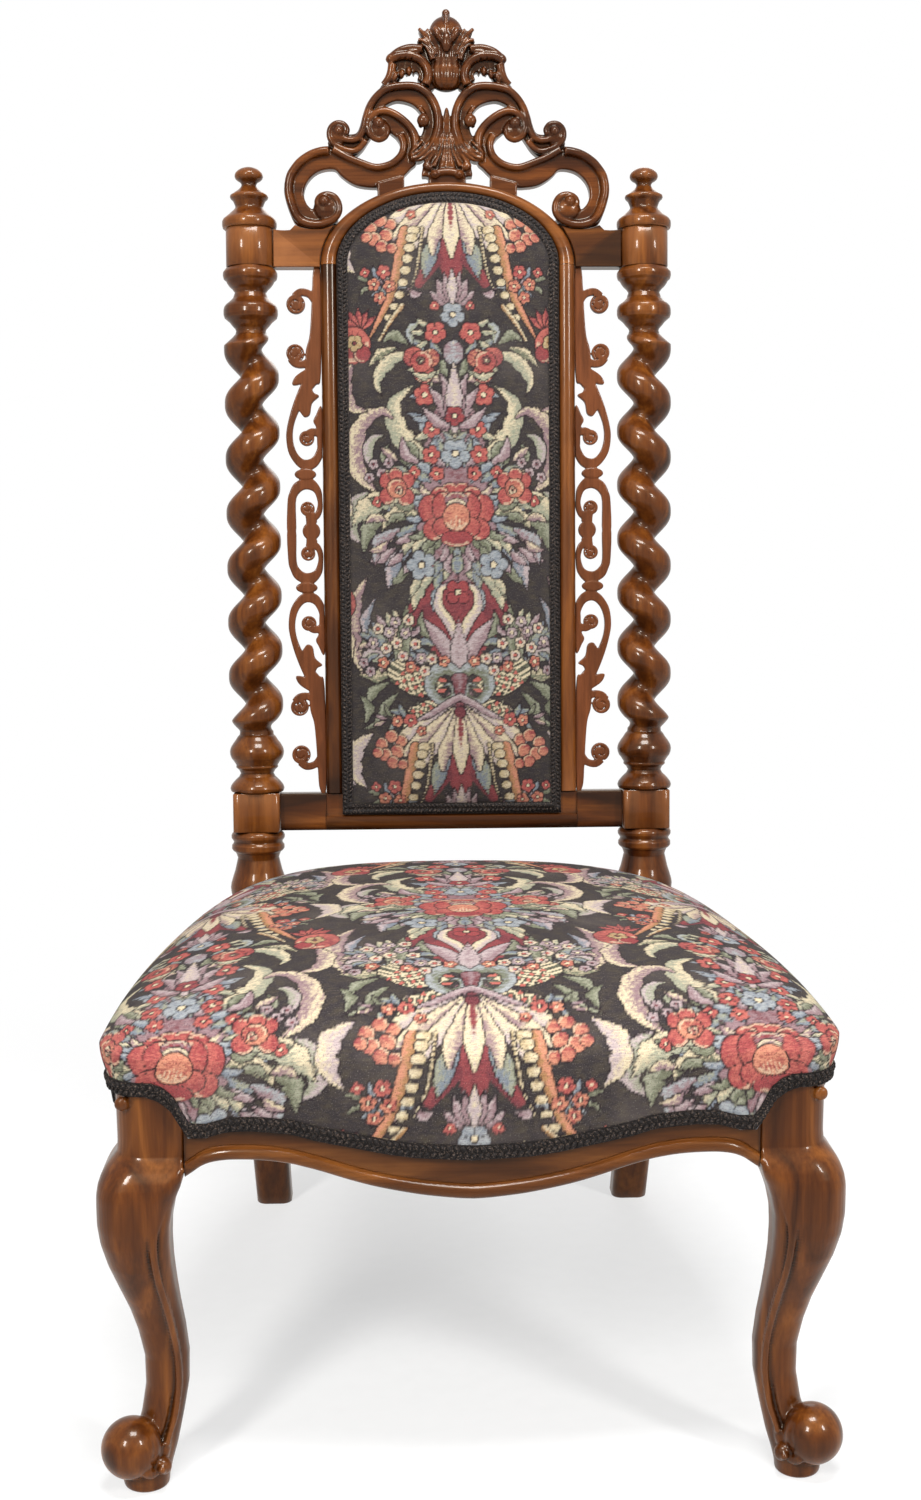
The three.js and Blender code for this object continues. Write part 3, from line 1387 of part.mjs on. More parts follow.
// Assembly: uprights and back
for (const [name, side] of sides) {
  addPiece(`rear_upright_${name}`, uprightWithSockets(side), walnut);
  addPiece(`finial_${name}`, finialShape(side), walnut, back);
  addPiece(`back_stile_${name}`, stileShape(side), walnut, back);
  addPiece(`shoulder_rail_${name}`, shoulderShape(side), walnut, back);
  addPiece(`fret_panel_${name}`, fretShape(side), fretWood, back);
  addPiece(`crest_dowel_${name}`, crestDowel(side, 0), beech, back);
}
addPiece('arch_head', archHeadShape(), walnut, back);
addPiece('back_bottom_rail', backRailShape(), walnut, back);
addPiece('crest_carving', crestShape(), darkWalnut, back);
addPiece('back_hessian', backHessianShape(), hessianCloth, back);
addPiece('back_stuffing', backStuffingShape(), hair, back);
addPiece('back_cover', backCoverShape(), tapestry, back);
addPiece('back_gimp', backGimpShape(), braid, back);
addPiece('back_outer_cover', outerCoverShape(), blackCloth, back);
addPiece('back_outer_gimp', outerGimpShape(), braid, back);

// Assembly: seat frame, with its corner blocks and screws
const railScrews = { front: [], rear: [], left: [], right: [] };
for (const [name, side] of sides) {
  addPiece(`front_leg_${name}`, frontLegShape(side), walnut);
  for (const [place, end] of [['front', -1], ['rear', 1]]) {
    addPiece(`corner_block_${place}_${name}`, cornerBlockShape(side, end), beech);
    const [crossHole, sideHole] = blockScrews(side, end, clearance);
    railScrews[place].push(crossHole);
    railScrews[name].push(sideHole);
    const [crossScrew, sideScrew] = blockScrews(side, end, 0);
    addPiece(`screw_${place}_${name}_cross`, crossScrew, screwSteel);
    addPiece(`screw_${place}_${name}_side`, sideScrew, screwSteel);
  }
}

function drilled(body, holes) {
  return holes.reduce((left, hole) => left.subtract(solid(hole)), body);
}

addPiece('front_rail', drilled(frontRailShape(), railScrews.front), walnut);
addPiece('rear_rail', drilled(rearRailShape(), railScrews.rear), beech);
for (const [name, side] of sides) {
  addPiece(`side_rail_${name}`, drilled(sideRailShape(side), railScrews[name]), walnut);
}

// Assembly: seat upholstery, from the webbing up
for (let k = 0; k < webbingsEachWay; k += 1) {
  addPiece(`webbing_cross_${k + 1}`, crossWebbingShape(k), jute);
  addPiece(`webbing_long_${k + 1}`, longWebbingShape(k), jute);
}
const springPlaces = [
  [webbingAcross[0], webbingAlong[0]], [webbingAcross[2], webbingAlong[0]],
  [webbingAcross[0], webbingAlong[2]], [webbingAcross[2], webbingAlong[2]],
  [webbingAcross[1], webbingAlong[1]],
];
springPlaces.forEach(([x, y], k) => {
  addPiece(`seat_spring_${k + 1}`, springShape(x, y), copperedSteel);
});
addPiece('spring_hessian', springHessianShape(), hessianCloth);
addPiece('seat_stuffing', seatStuffingShape(), hair);
addPiece('seat_cover', seatCoverShape(), tapestry);
addPiece('seat_gimp', seatGimpRing().subtract(behindPosts(seatHalfFront)), braid);
addPiece('seat_gimp_rear', seatGimpRing().intersect(behindPosts(postFace - clearance)), braid);
addPiece('dust_cloth', dustClothShape(), blackCloth);

// The chair stands with the middle of its plan over the origin
chair.updateMatrixWorld(true);
const bounds = new THREE.Box3().setFromObject(chair, true);
chair.position.set(-(bounds.min.x + bounds.max.x) / 2, -(bounds.min.y + bounds.max.y) / 2, -bounds.min.z);
chair.updateMatrixWorld(true);

export default chair;
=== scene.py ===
import json
import math
import random

import bpy
import numpy as np
from mathutils import Matrix, Vector

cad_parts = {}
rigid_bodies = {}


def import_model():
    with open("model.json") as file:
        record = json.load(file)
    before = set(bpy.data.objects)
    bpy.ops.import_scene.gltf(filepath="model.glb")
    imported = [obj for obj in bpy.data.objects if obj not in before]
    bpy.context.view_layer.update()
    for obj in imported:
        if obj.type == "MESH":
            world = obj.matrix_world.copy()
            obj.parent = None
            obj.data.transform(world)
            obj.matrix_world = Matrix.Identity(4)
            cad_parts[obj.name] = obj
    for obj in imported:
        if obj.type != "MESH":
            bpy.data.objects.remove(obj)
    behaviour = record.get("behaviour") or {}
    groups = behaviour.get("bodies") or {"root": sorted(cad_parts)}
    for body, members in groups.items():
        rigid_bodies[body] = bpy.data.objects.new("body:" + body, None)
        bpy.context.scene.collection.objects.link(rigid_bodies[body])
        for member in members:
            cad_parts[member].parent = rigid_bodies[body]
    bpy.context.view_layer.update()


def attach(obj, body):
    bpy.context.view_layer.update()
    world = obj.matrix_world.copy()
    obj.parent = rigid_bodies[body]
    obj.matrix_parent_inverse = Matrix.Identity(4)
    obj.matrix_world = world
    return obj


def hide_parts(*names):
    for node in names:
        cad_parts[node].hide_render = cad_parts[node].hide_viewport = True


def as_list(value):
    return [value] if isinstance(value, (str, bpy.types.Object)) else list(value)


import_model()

# Rear uprights: each is one length of walnut, sawn below for the splayed leg and turned above it, with
# the barley twist carved round the turned blank. French polish was rubbed on in many thin coats.
MM = 0.001
middle_of_plan = 214.5
post_axis = 181.5
post_radius = 25.0
block_half = 21.5
block_corner = 6.0
low_block_corner = 3.0
high_block_corner = 18.0
pivot_height = 370.0
rake = math.radians(4.5)
upright_sides = 72
foot_half = 17.0
arris = 0.7
twist_core = 15.0
foot_outward, foot_backward = 5.0, 63.0
leg_block = (240.0, 312.0)
low_block = (385.0, 421.0)
high_block = (902.0, 937.0)
twist_ends = (478.0, 842.0)
twist_pitch = 50.0
twist_hollow = 9.6
bulb_profile = [
    (312, 21.8), (318, 23.5), (323, 25.0), (327, 25.9), (332, 26.4), (336, 25.8), (342, 24.0),
    (348, 22.0), (354, 20.6), (360, 19.2), (363, 20.1), (366, 21.5), (367, 23.4), (369, 24.6),
    (372, 24.4), (373.5, 23.2), (375, 22.6), (376.5, 23.4), (378.5, 24.8), (381, 24.9), (383, 24.0), (385, 21.8),
]
collar_profile = [
    (421, 22.0), (422, 24.3), (425, 25.2), (428, 24.2), (431, 21.9), (433, 20.0), (436, 16.8),
    (439, 15.3), (442, 16.8), (444.5, 19.6), (446.5, 19.2), (450, 21.4), (453, 23.7), (456, 24.8),
    (459, 25.2), (462, 24.6), (464, 23.7), (467, 21.8), (470, 19.5), (473, 17.7), (475, 15.8), (478, 15.5),
]
neck_profile = [
    (842, 14.5), (845, 13.6), (847, 14.2), (850, 17.0), (853, 19.3), (855, 21.6), (857, 24.0),
    (860, 24.9), (864, 24.9), (867, 24.2), (869, 22.7), (872, 19.0), (875, 16.0), (880, 14.3),
    (883, 16.4), (885, 18.7), (888, 21.0), (890.5, 22.2), (892, 24.2), (895, 25.0), (898, 24.9), (902, 21.8),
]


def placed(points):
    """Points of the chair's drawing, in millimetres from the posts' axes, as places in the frame."""
    moved = np.array(points, float).reshape(-1, 3)
    moved[:, 1] += middle_of_plan
    return moved * MM


def raked(points):
    """Points drawn on an upright back, leaned back about the pivot."""
    leaned = np.array(points, float).reshape(-1, 3)
    rise = leaned[:, 2] - pivot_height
    y = leaned[:, 1].copy()
    leaned[:, 1] = y * math.cos(rake) + rise * math.tan(rake)
    leaned[:, 2] -= y * math.sin(rake)
    return leaned


def linked(name, data):
    piece = bpy.data.objects.new(name, data)
    bpy.context.scene.collection.objects.link(piece)
    return piece


def mesh_piece(name, points, faces, crease=38):
    mesh = bpy.data.meshes.new(name)
    mesh.from_pydata(np.asarray(points).tolist(), [], faces)
    mesh.validate()
    mesh.shade_smooth()
    mesh.set_sharp_from_angle(angle=math.radians(crease))
    return linked(name, mesh)


def skin(rings, looped=False):
    """Faces over rings of equally many points, with flat ends unless the last ring meets the first."""
    count, around = len(rings), len(rings[0])
    faces = []
    last = count if looped else count - 1
    for r in range(last):
        a, b = r * around, ((r + 1) % count) * around
        for k in range(around):
            n = (k + 1) % around
            faces.append((a + k, a + n, b + n, b + k))
    if not looped:
        faces.append(tuple(range(around))[::-1])
        top = (count - 1) * around
        faces.append(tuple(range(top, top + around)))
    return np.concatenate([np.asarray(ring, float).reshape(-1, 3) for ring in rings]), faces


def feed(tree, socket, value):
    """Joins a socket to another node's output, or sets its value."""
    if isinstance(value, bpy.types.NodeSocket):
        tree.links.new(value, socket)
    else:
        socket.default_value = value


def wire(tree, kind, inputs=None, **settings):
    node = tree.nodes.new(kind)
    for key, value in settings.items():
        setattr(node, key, value)
    for key, value in (inputs or {}).items():
        feed(tree, node.inputs[key], value)
    return node


def calc(tree, operation, *values, clamp=False):
    return wire(tree, "ShaderNodeMath", dict(enumerate(values)), operation=operation, use_clamp=clamp).outputs[0]


def past(tree, value, level, gain, clamp=True):
    """How far a value is past a level, times a gain."""
    return calc(tree, "MULTIPLY", calc(tree, "SUBTRACT", value, level), gain, clamp=clamp)


def drawn_out(tree, place, by):
    return wire(tree, "ShaderNodeVectorMath", {0: place, 1: by}, operation="MULTIPLY").outputs[0]


def noise(tree, place, scale, detail, **more):
    return wire(tree, "ShaderNodeTexNoise", {"Vector": place, "Scale": scale, "Detail": detail, **more}).outputs[0]


def blended(tree, factor, first, second, mode="MIX"):
    node = wire(tree, "ShaderNodeMix", {0: factor}, data_type="RGBA", blend_type=mode)
    for k, shade in ((6, first), (7, second)):
        feed(tree, node.inputs[k], shade if isinstance(shade, bpy.types.NodeSocket) else (*shade, 1.0))
    return node.outputs[2]


def ramp(tree, factor, stops):
    node = tree.nodes.new("ShaderNodeValToRGB")
    tree.links.new(factor, node.inputs[0])
    marks = node.color_ramp.elements
    while len(marks) < len(stops):
        marks.new(0.5)
    for mark, (place, shade) in zip(marks, stops):
        mark.position = place
        mark.color = (*shade, 1.0)
    return node.outputs[0]


def finish(name):
    """A new material with its tree and its shader."""
    material = bpy.data.materials.new(name)
    material.use_nodes = True
    return material, material.node_tree, material.node_tree.nodes["Principled BSDF"]


def own_place(tree):
    return wire(tree, "ShaderNodeTexCoord").outputs["Object"]


def roughened(tree, shader, height, strength, distance):
    bump = wire(tree, "ShaderNodeBump", {"Height": height, "Strength": strength, "Distance": distance})
    tree.links.new(bump.outputs[0], shader.inputs["Normal"])


def new_group(name, inputs, outputs):
    tree = bpy.data.node_groups.new(name, "ShaderNodeTree")
    for title, kind, value in inputs:
        socket = tree.interface.new_socket(name=title, in_out="INPUT", socket_type=kind)
        if value is not None:
            socket.default_value = value
    for title, kind in outputs:
        tree.interface.new_socket(name=title, in_out="OUTPUT", socket_type=kind)
    return tree, tree.nodes.new("NodeGroupInput").outputs, tree.nodes.new("NodeGroupOutput").inputs


def use_group(tree, group, inputs):
    return wire(tree, "ShaderNodeGroup", inputs, node_tree=group).outputs


COLOUR, NUMBER, VECTOR = "NodeSocketColor", "NodeSocketFloat", "NodeSocketVector"

# Wood grain, drawn along the Z of the place that it is given: long flames, streaks and short pores
wood_grain, grain_in, grain_out = new_group(
    "Wood grain",
    [("Place", VECTOR, None), ("Coarseness", NUMBER, 1.0)],
    [("Figure", NUMBER), ("Streaks", NUMBER), ("Pores", NUMBER)],
)
flames = noise(
    wood_grain, drawn_out(wood_grain, grain_in["Place"], (38, 38, 5.0)), grain_in["Coarseness"], 5.0, Distortion=1.4
)
streaks = noise(wood_grain, drawn_out(wood_grain, grain_in["Place"], (420, 420, 14)), 1.0, 3.0)
pores = noise(wood_grain, drawn_out(wood_grain, grain_in["Place"], (1500, 1500, 130)), 1.0, 2.0)
pores = calc(wood_grain, "SMOOTH_MIN", calc(wood_grain, "MULTIPLY", pores, 1.7), 1.0, 0.1)
for mask, socket in ((flames, "Figure"), (streaks, "Streaks"), (pores, "Pores")):
    wood_grain.links.new(mask, grain_out[socket])

# Painted shade, dirt and wear: the hollows, found by the surface's pointiness and by ambient occlusion, are painted
# dark as shade and dirt, and the raised edges are rubbed paler by wear
shade_dirt_wear, shade_dirt_wear_in, shade_dirt_wear_out = new_group(
    "Handling",
    [("Wood", COLOUR, None), ("Hollow", COLOUR, None), ("Rubbed", COLOUR, None), ("Depth", NUMBER, 1.0)],
    [("Colour", COLOUR), ("Worn", NUMBER)],
)
relief = wire(shade_dirt_wear, "ShaderNodeNewGeometry").outputs["Pointiness"]
patchy = noise(shade_dirt_wear, own_place(shade_dirt_wear), 38.0, 4.0)
hollow_shade_and_dirt = past(shade_dirt_wear, 0.497, relief, 18.0)
# Painted shade: ambient occlusion darkens the wood where its own carving shuts the light out
occlusion_shade = wire(shade_dirt_wear, "ShaderNodeAmbientOcclusion", {"Distance": 0.016}, samples=6, only_local=True).outputs["AO"]
occlusion_shade = past(shade_dirt_wear, 0.86, occlusion_shade, 1.7)
hollow_shade_and_dirt = calc(shade_dirt_wear, "MULTIPLY", calc(shade_dirt_wear, "MAXIMUM", hollow_shade_and_dirt, occlusion_shade), shade_dirt_wear_in["Depth"], clamp=True)
raised = calc(shade_dirt_wear, "MULTIPLY", past(shade_dirt_wear, relief, 0.512, 12.0), calc(shade_dirt_wear, "MULTIPLY", patchy, 1.1))
darkened = blended(shade_dirt_wear, calc(shade_dirt_wear, "MULTIPLY", hollow_shade_and_dirt, 0.85), shade_dirt_wear_in["Wood"], shade_dirt_wear_in["Hollow"])
shade_dirt_wear.links.new(
    blended(shade_dirt_wear, calc(shade_dirt_wear, "MULTIPLY", raised, 0.7), darkened, shade_dirt_wear_in["Rubbed"]), shade_dirt_wear_out["Colour"]
)
shade_dirt_wear.links.new(raised, shade_dirt_wear_out["Worn"])


def timber(name, dark, middle, light, hollow, along="Z", coarseness=1.0, gloss=0.24, coat=0.27, depth=1.0):
    """A polished wood whose grain runs along one of the chair's directions."""
    material, tree, shader = finish(name)
    place = own_place(tree)
    turn = {"X": (0, math.pi / 2, 0), "Y": (math.pi / 2, 0, 0)}.get(along)
    if turn:
        place = wire(tree, "ShaderNodeMapping", {"Vector": place, "Rotation": turn}).outputs[0]
    grain = use_group(tree, wood_grain, {"Place": place, "Coarseness": coarseness})
    shade = ramp(tree, grain["Figure"], [(0.27, dark), (0.5, middle), (0.74, light)])
    streaky = ramp(tree, grain["Streaks"], [(0.3, (0.62, 0.56, 0.5)), (0.62, (1.0, 1.0, 1.0))])
    shade = blended(tree, 0.75, shade, streaky, "MULTIPLY")
    # Painted shade: the hollows take the hollow colour, as shade and dirt, as strongly as depth tells; raised edges
    # turn paler by wear
    rubbed = tuple(min(1.0, part * 1.35 + 0.02) for part in light)
    shaded_and_worn = use_group(tree, shade_dirt_wear, {
        "Wood": shade, "Hollow": (*hollow, 1.0), "Rubbed": (*rubbed, 1.0), "Depth": depth,
    })
    tree.links.new(shaded_and_worn["Colour"], shader.inputs["Base Color"])
    rough = calc(tree, "ADD", gloss, calc(tree, "MULTIPLY", grain["Streaks"], 0.16))
    tree.links.new(calc(tree, "ADD", rough, calc(tree, "MULTIPLY", shaded_and_worn["Worn"], 0.08)), shader.inputs["Roughness"])
    for socket, value in (
        ("Coat Weight", coat), ("Coat Roughness", 0.10), ("Coat Tint", (0.96, 0.78, 0.55, 1.0)),
        ("Specular IOR Level", 0.14), ("Specular Tint", (1.0, 0.78, 0.52, 1.0)),
    ):
        shader.inputs[socket].default_value = value
    roughened(tree, shader, grain["Pores"], 0.12, 0.0004)
    return material


walnut_dark = (0.022, 0.0055, 0.0012)
walnut_middle = (0.072, 0.020, 0.0032)
walnut_light = (0.150, 0.050, 0.0085)
# Colour of the painted shade and dirt in the walnut's hollows
walnut_shade_and_dirt = (0.006, 0.0015, 0.0005)
walnut_upright = timber("Polished walnut", walnut_dark, walnut_middle, walnut_light, walnut_shade_and_dirt)


def square_reach(angle, half, corner):
    """Distance from the middle of a square with rounded corners to its edge."""
    c, s = abs(math.cos(angle)), abs(math.sin(angle))
    c, s = max(c, s), min(c, s)
    flat = half - corner
    if s / c * half <= flat:
        return half / c
    lean = flat * (c + s)
    return lean + math.sqrt(max(0.0, lean * lean - 2 * flat * flat + corner * corner))


def upright_rings(side):
    angles = [2 * math.pi * (k + 0.5) / upright_sides for k in range(upright_sides)]
    square = [square_reach(a, block_half, block_corner) for a in angles]
    rings = []

    def ring(height, reaches, dx=0.0, dy=0.0):
        points = [
            (side * post_axis + dx + r * math.cos(a), dy + r * math.sin(a), height)
            for a, r in zip(angles, reaches)
        ]
        rings.append(placed(raked(points)) if height > pivot_height else placed(points))

    for k in range(25):
        t = k / 24
        thin = 1 - t ** 1.7
        half = block_half - (block_half - foot_half) * thin
        corner = block_corner + 3.0 * thin
        setback = (1 - t) ** 1.45
        foot = [square_reach(a, half - (arris if k == 0 else 0.0), corner) for a in angles]
        ring(leg_block[0] * t, foot, -side * foot_outward * setback, foot_backward * setback)
        if k == 0:
            ring(0.8, [square_reach(a, half, corner) for a in angles], -side * foot_outward, foot_backward - 0.2)
    ring(leg_block[1] - 0.8, square)
    ring(leg_block[1], [r - arris for r in square])

    def turned(profile):
        heights = np.arange(profile[0][0], profile[-1][0] + 0.01, 0.75)
        for height, r in zip(heights, np.interp(heights, *zip(*profile))):
            ring(float(height), [float(r)] * upright_sides)

    def blocked(ends, corner):
        shape = [square_reach(a, block_half, corner) for a in angles]
        ring(ends[0], [r - arris for r in shape])
        ring(ends[0] + 0.8, shape)
        ring(ends[1] - 0.8, shape)
        ring(ends[1], [r - arris for r in shape])

    turned(bulb_profile)
    blocked(low_block, low_block_corner)
    turned(collar_profile)
    for height in np.arange(twist_ends[0] + 1.5, twist_ends[1] - 0.5, 1.5):
        turn = 2 * math.pi * (height - twist_ends[0]) / twist_pitch
        fade = min(1.0, (height - twist_ends[0]) / 10, (twist_ends[1] - height) / 10)
        reaches = []
        for a in angles:
            outward = a if side > 0 else math.pi - a
            swell = 1 - abs(math.sin((outward + turn) / 2)) ** 3.0
            r = twist_hollow + (post_radius - twist_hollow) * swell
            reaches.append(twist_core + (r - twist_core) * fade)
        ring(float(height), reaches)
    turned(neck_profile)
    blocked(high_block, high_block_corner)
    return rings


for name, side in (("left", -1), ("right", 1)):
    upright = mesh_piece(f"upright_{name}", *skin(upright_rings(side)), crease=50)
    upright.data.materials.append(walnut_upright)
    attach(upright, "root")
    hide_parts(f"rear_upright_{name}")

# Finials: small urn shapes turned from offcuts of the same walnut and polished on the lathe. Each is
# glued by its spigot into the top of its post.
finial_profile = [
    (937.3, 0.0), (937.3, 23.6), (938, 24.4), (940, 24.9), (942, 25.0), (944, 24.9), (946, 23.9), (948, 21.5),
    (950, 19.0), (952, 16.9), (954, 14.6), (956, 12.9), (957.5, 12.7), (959, 13.2), (961, 14.0), (963, 15.0),
    (964.5, 16.8), (966, 17.5), (967.5, 17.2), (969, 14.6), (970, 13.5), (972, 10.5), (974, 8.5), (975.5, 7.2),
    (977, 6.8), (978, 7.0), (979.5, 8.0), (981, 10.6), (982.5, 12.2), (984.5, 13.0), (986.5, 12.8), (988, 12.0),
    (990, 10.0), (991.5, 7.4), (992.6, 4.0), (993.2, 0.0),
]
for name, side in (("left", -1), ("right", 1)):
    rings = []
    for height, r in finial_profile:
        turn = np.linspace(0, 2 * math.pi, 64, endpoint=False)
        ring = np.stack([side * post_axis + r * np.cos(turn), r * np.sin(turn), np.full(64, height)], 1)
        rings.append(placed(raked(ring)))
    finial = mesh_piece(f"turned_finial_{name}", *skin(rings), crease=60)
    finial.data.materials.append(walnut_upright)
    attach(finial, "root")
    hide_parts(f"finial_{name}")

# Frame of the back: two walnut stiles, a sawn arch over them and a rail under them, glued with tenons.
# The front edge is worked into a rounded bead; the upholstery sits in a rebate inside it.
frame_half = 117.0
gimp_half = 102.0
stile_inner = 83.0
arch_rise = 75.0
gimp_rise = 65.0
stile_inner_rise = 43.0
spring_line = 904.0
rail_top = 420.0
rail_bottom = 385.5
bead_profile = [
    (-19, -6.8), (0.4, -6.8), (0.4, -8.4), (1.4, -10.2), (3.6, -11.6), (6.4, -12.2), (9.2, -11.9), (11.8, -10.6),
    (13.6, -8.6), (14.6, -6.0), (15.0, -3.0), (15.0, 9.6), (13.8, 10.8), (4.6, 10.8), (4.6, 8.8), (-19, 8.8),
]
rail_walnut = timber(
    "Polished walnut rails", walnut_dark, walnut_middle, walnut_light, walnut_shade_and_dirt, along="X"
)


def arch_ring(angle, profile):
    """A slice through the frame of the back at an angle round its arch."""
    points = []
    for d, y in profile:
        if d < 0:
            half = gimp_half + (gimp_half - stile_inner) * d / 19
            rise = gimp_rise + (gimp_rise - stile_inner_rise) * d / 19
        else:
            half = gimp_half + d
            rise = gimp_rise + (arch_rise - gimp_rise) * d / 15
        points.append((half * math.cos(angle), y, spring_line + rise * math.sin(angle)))
    return placed(raked(points))


def stile_ring(side, height, profile):
    points = [(side * (gimp_half + d), y, height) for d, y in profile]
    return placed(raked(points))


frame_pieces = []
rings = [arch_ring(math.radians(a), bead_profile) for a in np.linspace(0.15, 179.85, 97)]
frame_pieces.append((mesh_piece("carved_arch", *skin(rings), crease=60), "arch_head"))
for name, side in (("left", -1), ("right", 1)):
    heights = np.linspace(rail_top + 0.3, spring_line - 0.3, 30)
    rings = [stile_ring(side, height, bead_profile) for height in heights]
    frame_pieces.append((mesh_piece(f"stile_{name}", *skin(rings), crease=60), f"back_stile_{name}"))
for piece, node in frame_pieces:
    piece.data.materials.append(walnut_upright if node != "arch_head" else rail_walnut)
    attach(piece, "root")
    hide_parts(node)

rail_profile = [
    (-9.0, rail_bottom + 1.2), (-10.6, rail_bottom + 2.6), (-11.0, rail_bottom + 5), (-11.0, rail_bottom + 9),
    (-11.0, rail_top - 22), (-6.8, rail_top - 20.6), (-6.8, rail_top - 1), (-5.8, rail_top), (9.8, rail_top),
    (10.8, rail_top - 1.2), (10.8, rail_bottom + 1.2), (9.6, rail_bottom), (-8.0, rail_bottom),
]
end_profile = [
    (-8.2, rail_bottom + 1.0), (-8.8, rail_bottom + 2.4), (-9.0, rail_bottom + 5), (-9.0, rail_bottom + 9),
    (-9.0, rail_top - 14), (-9.0, rail_top - 10), (-9.0, rail_top - 1.4), (-7.8, rail_top), (7.8, rail_top),
    (8.9, rail_top - 1.2), (8.9, rail_bottom + 1.2), (7.8, rail_bottom), (-7.4, rail_bottom),
]
rings = []
reach = post_axis - block_half - 0.3
half_run = (gimp_half + 0.3, frame_half, frame_half + 0.4, reach)
for x in (*(-x for x in half_run[::-1]), *half_run):
    profile = end_profile if abs(x) > frame_half + 0.1 else rail_profile
    rings.append(placed(raked([(x, y, z) for y, z in profile])))
back_rail = mesh_piece("lower_back_rail", *skin(rings), crease=40)
back_rail.data.materials.append(rail_walnut)
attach(back_rail, "root")
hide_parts("back_bottom_rail")

# Shoulder rails: short flat boards of walnut between the arch and the posts, tenoned at both ends and
# hollowed on top to meet the crest.
shoulder_bottom = 902.0
shoulder_half = 9.0
shoulder_top = [
    (159.6, 935.8), (157, 935.4), (153, 935.0), (149, 934.9), (144, 935.2), (141.5, 937.6), (139.6, 939.6),
    (134, 937.2), (128, 936.1), (121, 935.7), (114, 936.2), (108, 938.0), (104, 939.6), (100, 939.8),
]


def plank(outline, near, far, edge=1.0):
    """A board with softened edges, sawn to an outline given as X and Z."""
    points = np.array(outline, float)
    area = 0.5 * np.sum(points[:, 0] * np.roll(points[:, 1], -1) - np.roll(points[:, 0], -1) * points[:, 1])
    step_in = np.roll(points, -1, 0) - points
    step_in /= np.maximum(np.linalg.norm(step_in, axis=1), 1e-9)[:, None]
    normal = np.stack([-step_in[:, 1], step_in[:, 0]], 1) * (1 if area > 0 else -1)
    inward = normal + np.roll(normal, 1, 0)
    inward /= np.maximum(np.linalg.norm(inward, axis=1), 1e-9)[:, None]
    small = points + inward * edge
    rings = []
    for y, shape in ((near, small), (near + edge, points), (far - edge, points), (far, small)):
        rings.append(np.stack([shape[:, 0], np.full(len(shape), y), shape[:, 1]], 1))
    return skin(rings)


for name, side in (("left", -1), ("right", 1)):
    edge_x = [frame_half * math.cos(a) + 0.3 for a in np.linspace(0.5, 0, 6)]
    edge_z = [spring_line + arch_rise * math.sin(a) for a in np.linspace(0.5, 0, 6)]
    outline = [(side * x, z) for x, z in shoulder_top]
    outline += [(side * x, z) for x, z in zip(edge_x, edge_z)]
    outline += [(side * (frame_half + 0.3), shoulder_bottom), (side * 159.6, shoulder_bottom)]
    points, faces = plank(outline, -shoulder_half, shoulder_half, edge=0.8)
    shoulder = mesh_piece(f"shoulder_{name}", placed(raked(points)), faces, crease=30)
    shoulder.data.materials.append(rail_walnut)
    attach(shoulder, "root")
    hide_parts(f"shoulder_rail_{name}")

# Frets: thin panels sawn from one board of a redder wood, left flat and only waxed, glued along the
# stiles. Each curl is opened by a fine saw cut that winds into it.
fret_near, fret_far = -3.5, 3.5
fret_root = frame_half + 0.3
fret_width = 33.0
fret_middle = 662.5
fret_half_height = 239.0
fret_neck = 6.5
saw_cut = 1.3
stem_line = [
    (0, 1), (0.18, 1), (0.23, 0.918), (0.27, 0.818), (0.32, 0.743), (0.42, 0.692), (0.45, 0.626), (0.45, 0.588),
    (0.6, 0.554), (0.82, 0.478), (0.97, 0.402), (1, 0.351), (0.92, 0.294), (0.67, 0.247), (0.39, 0.235),
    (0.16, 0.249), (0.01, 0.281), (0, 0.303), (0, 0.475), (0.17, 0.443), (0.24, 0.42), (0.16, 0.395),
    (0.14, 0.338), (0.15, 0.313), (0.29, 0.281), (0.53, 0.276), (0.73, 0.307), (0.82, 0.358), (0.77, 0.415),
    (0.58, 0.478), (0.39, 0.525), (0.16, 0.56), (0.01, 0.608),
]
leaf_line = [(0.81, 0.56), (0.72, 0.592), (0.41, 0.621), (0.24, 0.634), (0.33, 0.592), (0.53, 0.566)]
spur_line = [
    (0.67, 0.487), (0.55, 0.446), (0.45, 0.437), (0.33, 0.449), (0.27, 0.49), (0.07, 0.517), (0.21, 0.529),
    (0.33, 0.546),
]
loop_line = [
    (1, -0.01), (0.99, 0.11), (0.93, 0.148), (0.79, 0.184), (0.48, 0.205), (0.25, 0.198), (0.05, 0.161),
    (0.01, 0.116), (0.02, 0.078), (0.15, 0.046), (0.42, 0.038), (0.48, 0.061), (0.24, 0.069), (0.16, 0.09),
    (0.15, 0.116), (0.25, 0.151), (0.48, 0.161), (0.67, 0.145), (0.76, 0.11), (0.77, -0.01),
]
neck_lines = [
    [(0.15, 0.877), (0.3, 0.904), (0.55, 0.912), (0.72, 0.895)],
    [(0.3, 0.651), (0.52, 0.638), (0.73, 0.642), (0.85, 0.66)],
    [(0.09, 0.374), (0.27, 0.381), (0.42, 0.37)],
    [(0.39, 0.07), (0.37, 0.02)],
]
curls = [
    (0.69, 0.866, 0.26, 1.2), (0.72, 0.68, 0.25, -1.0), (0.43, 0.356, 0.21, 1.6), (0.43, 0.086, 0.2, -1.4),
    (0.24, 0.038, 0.07, 0.0),
]


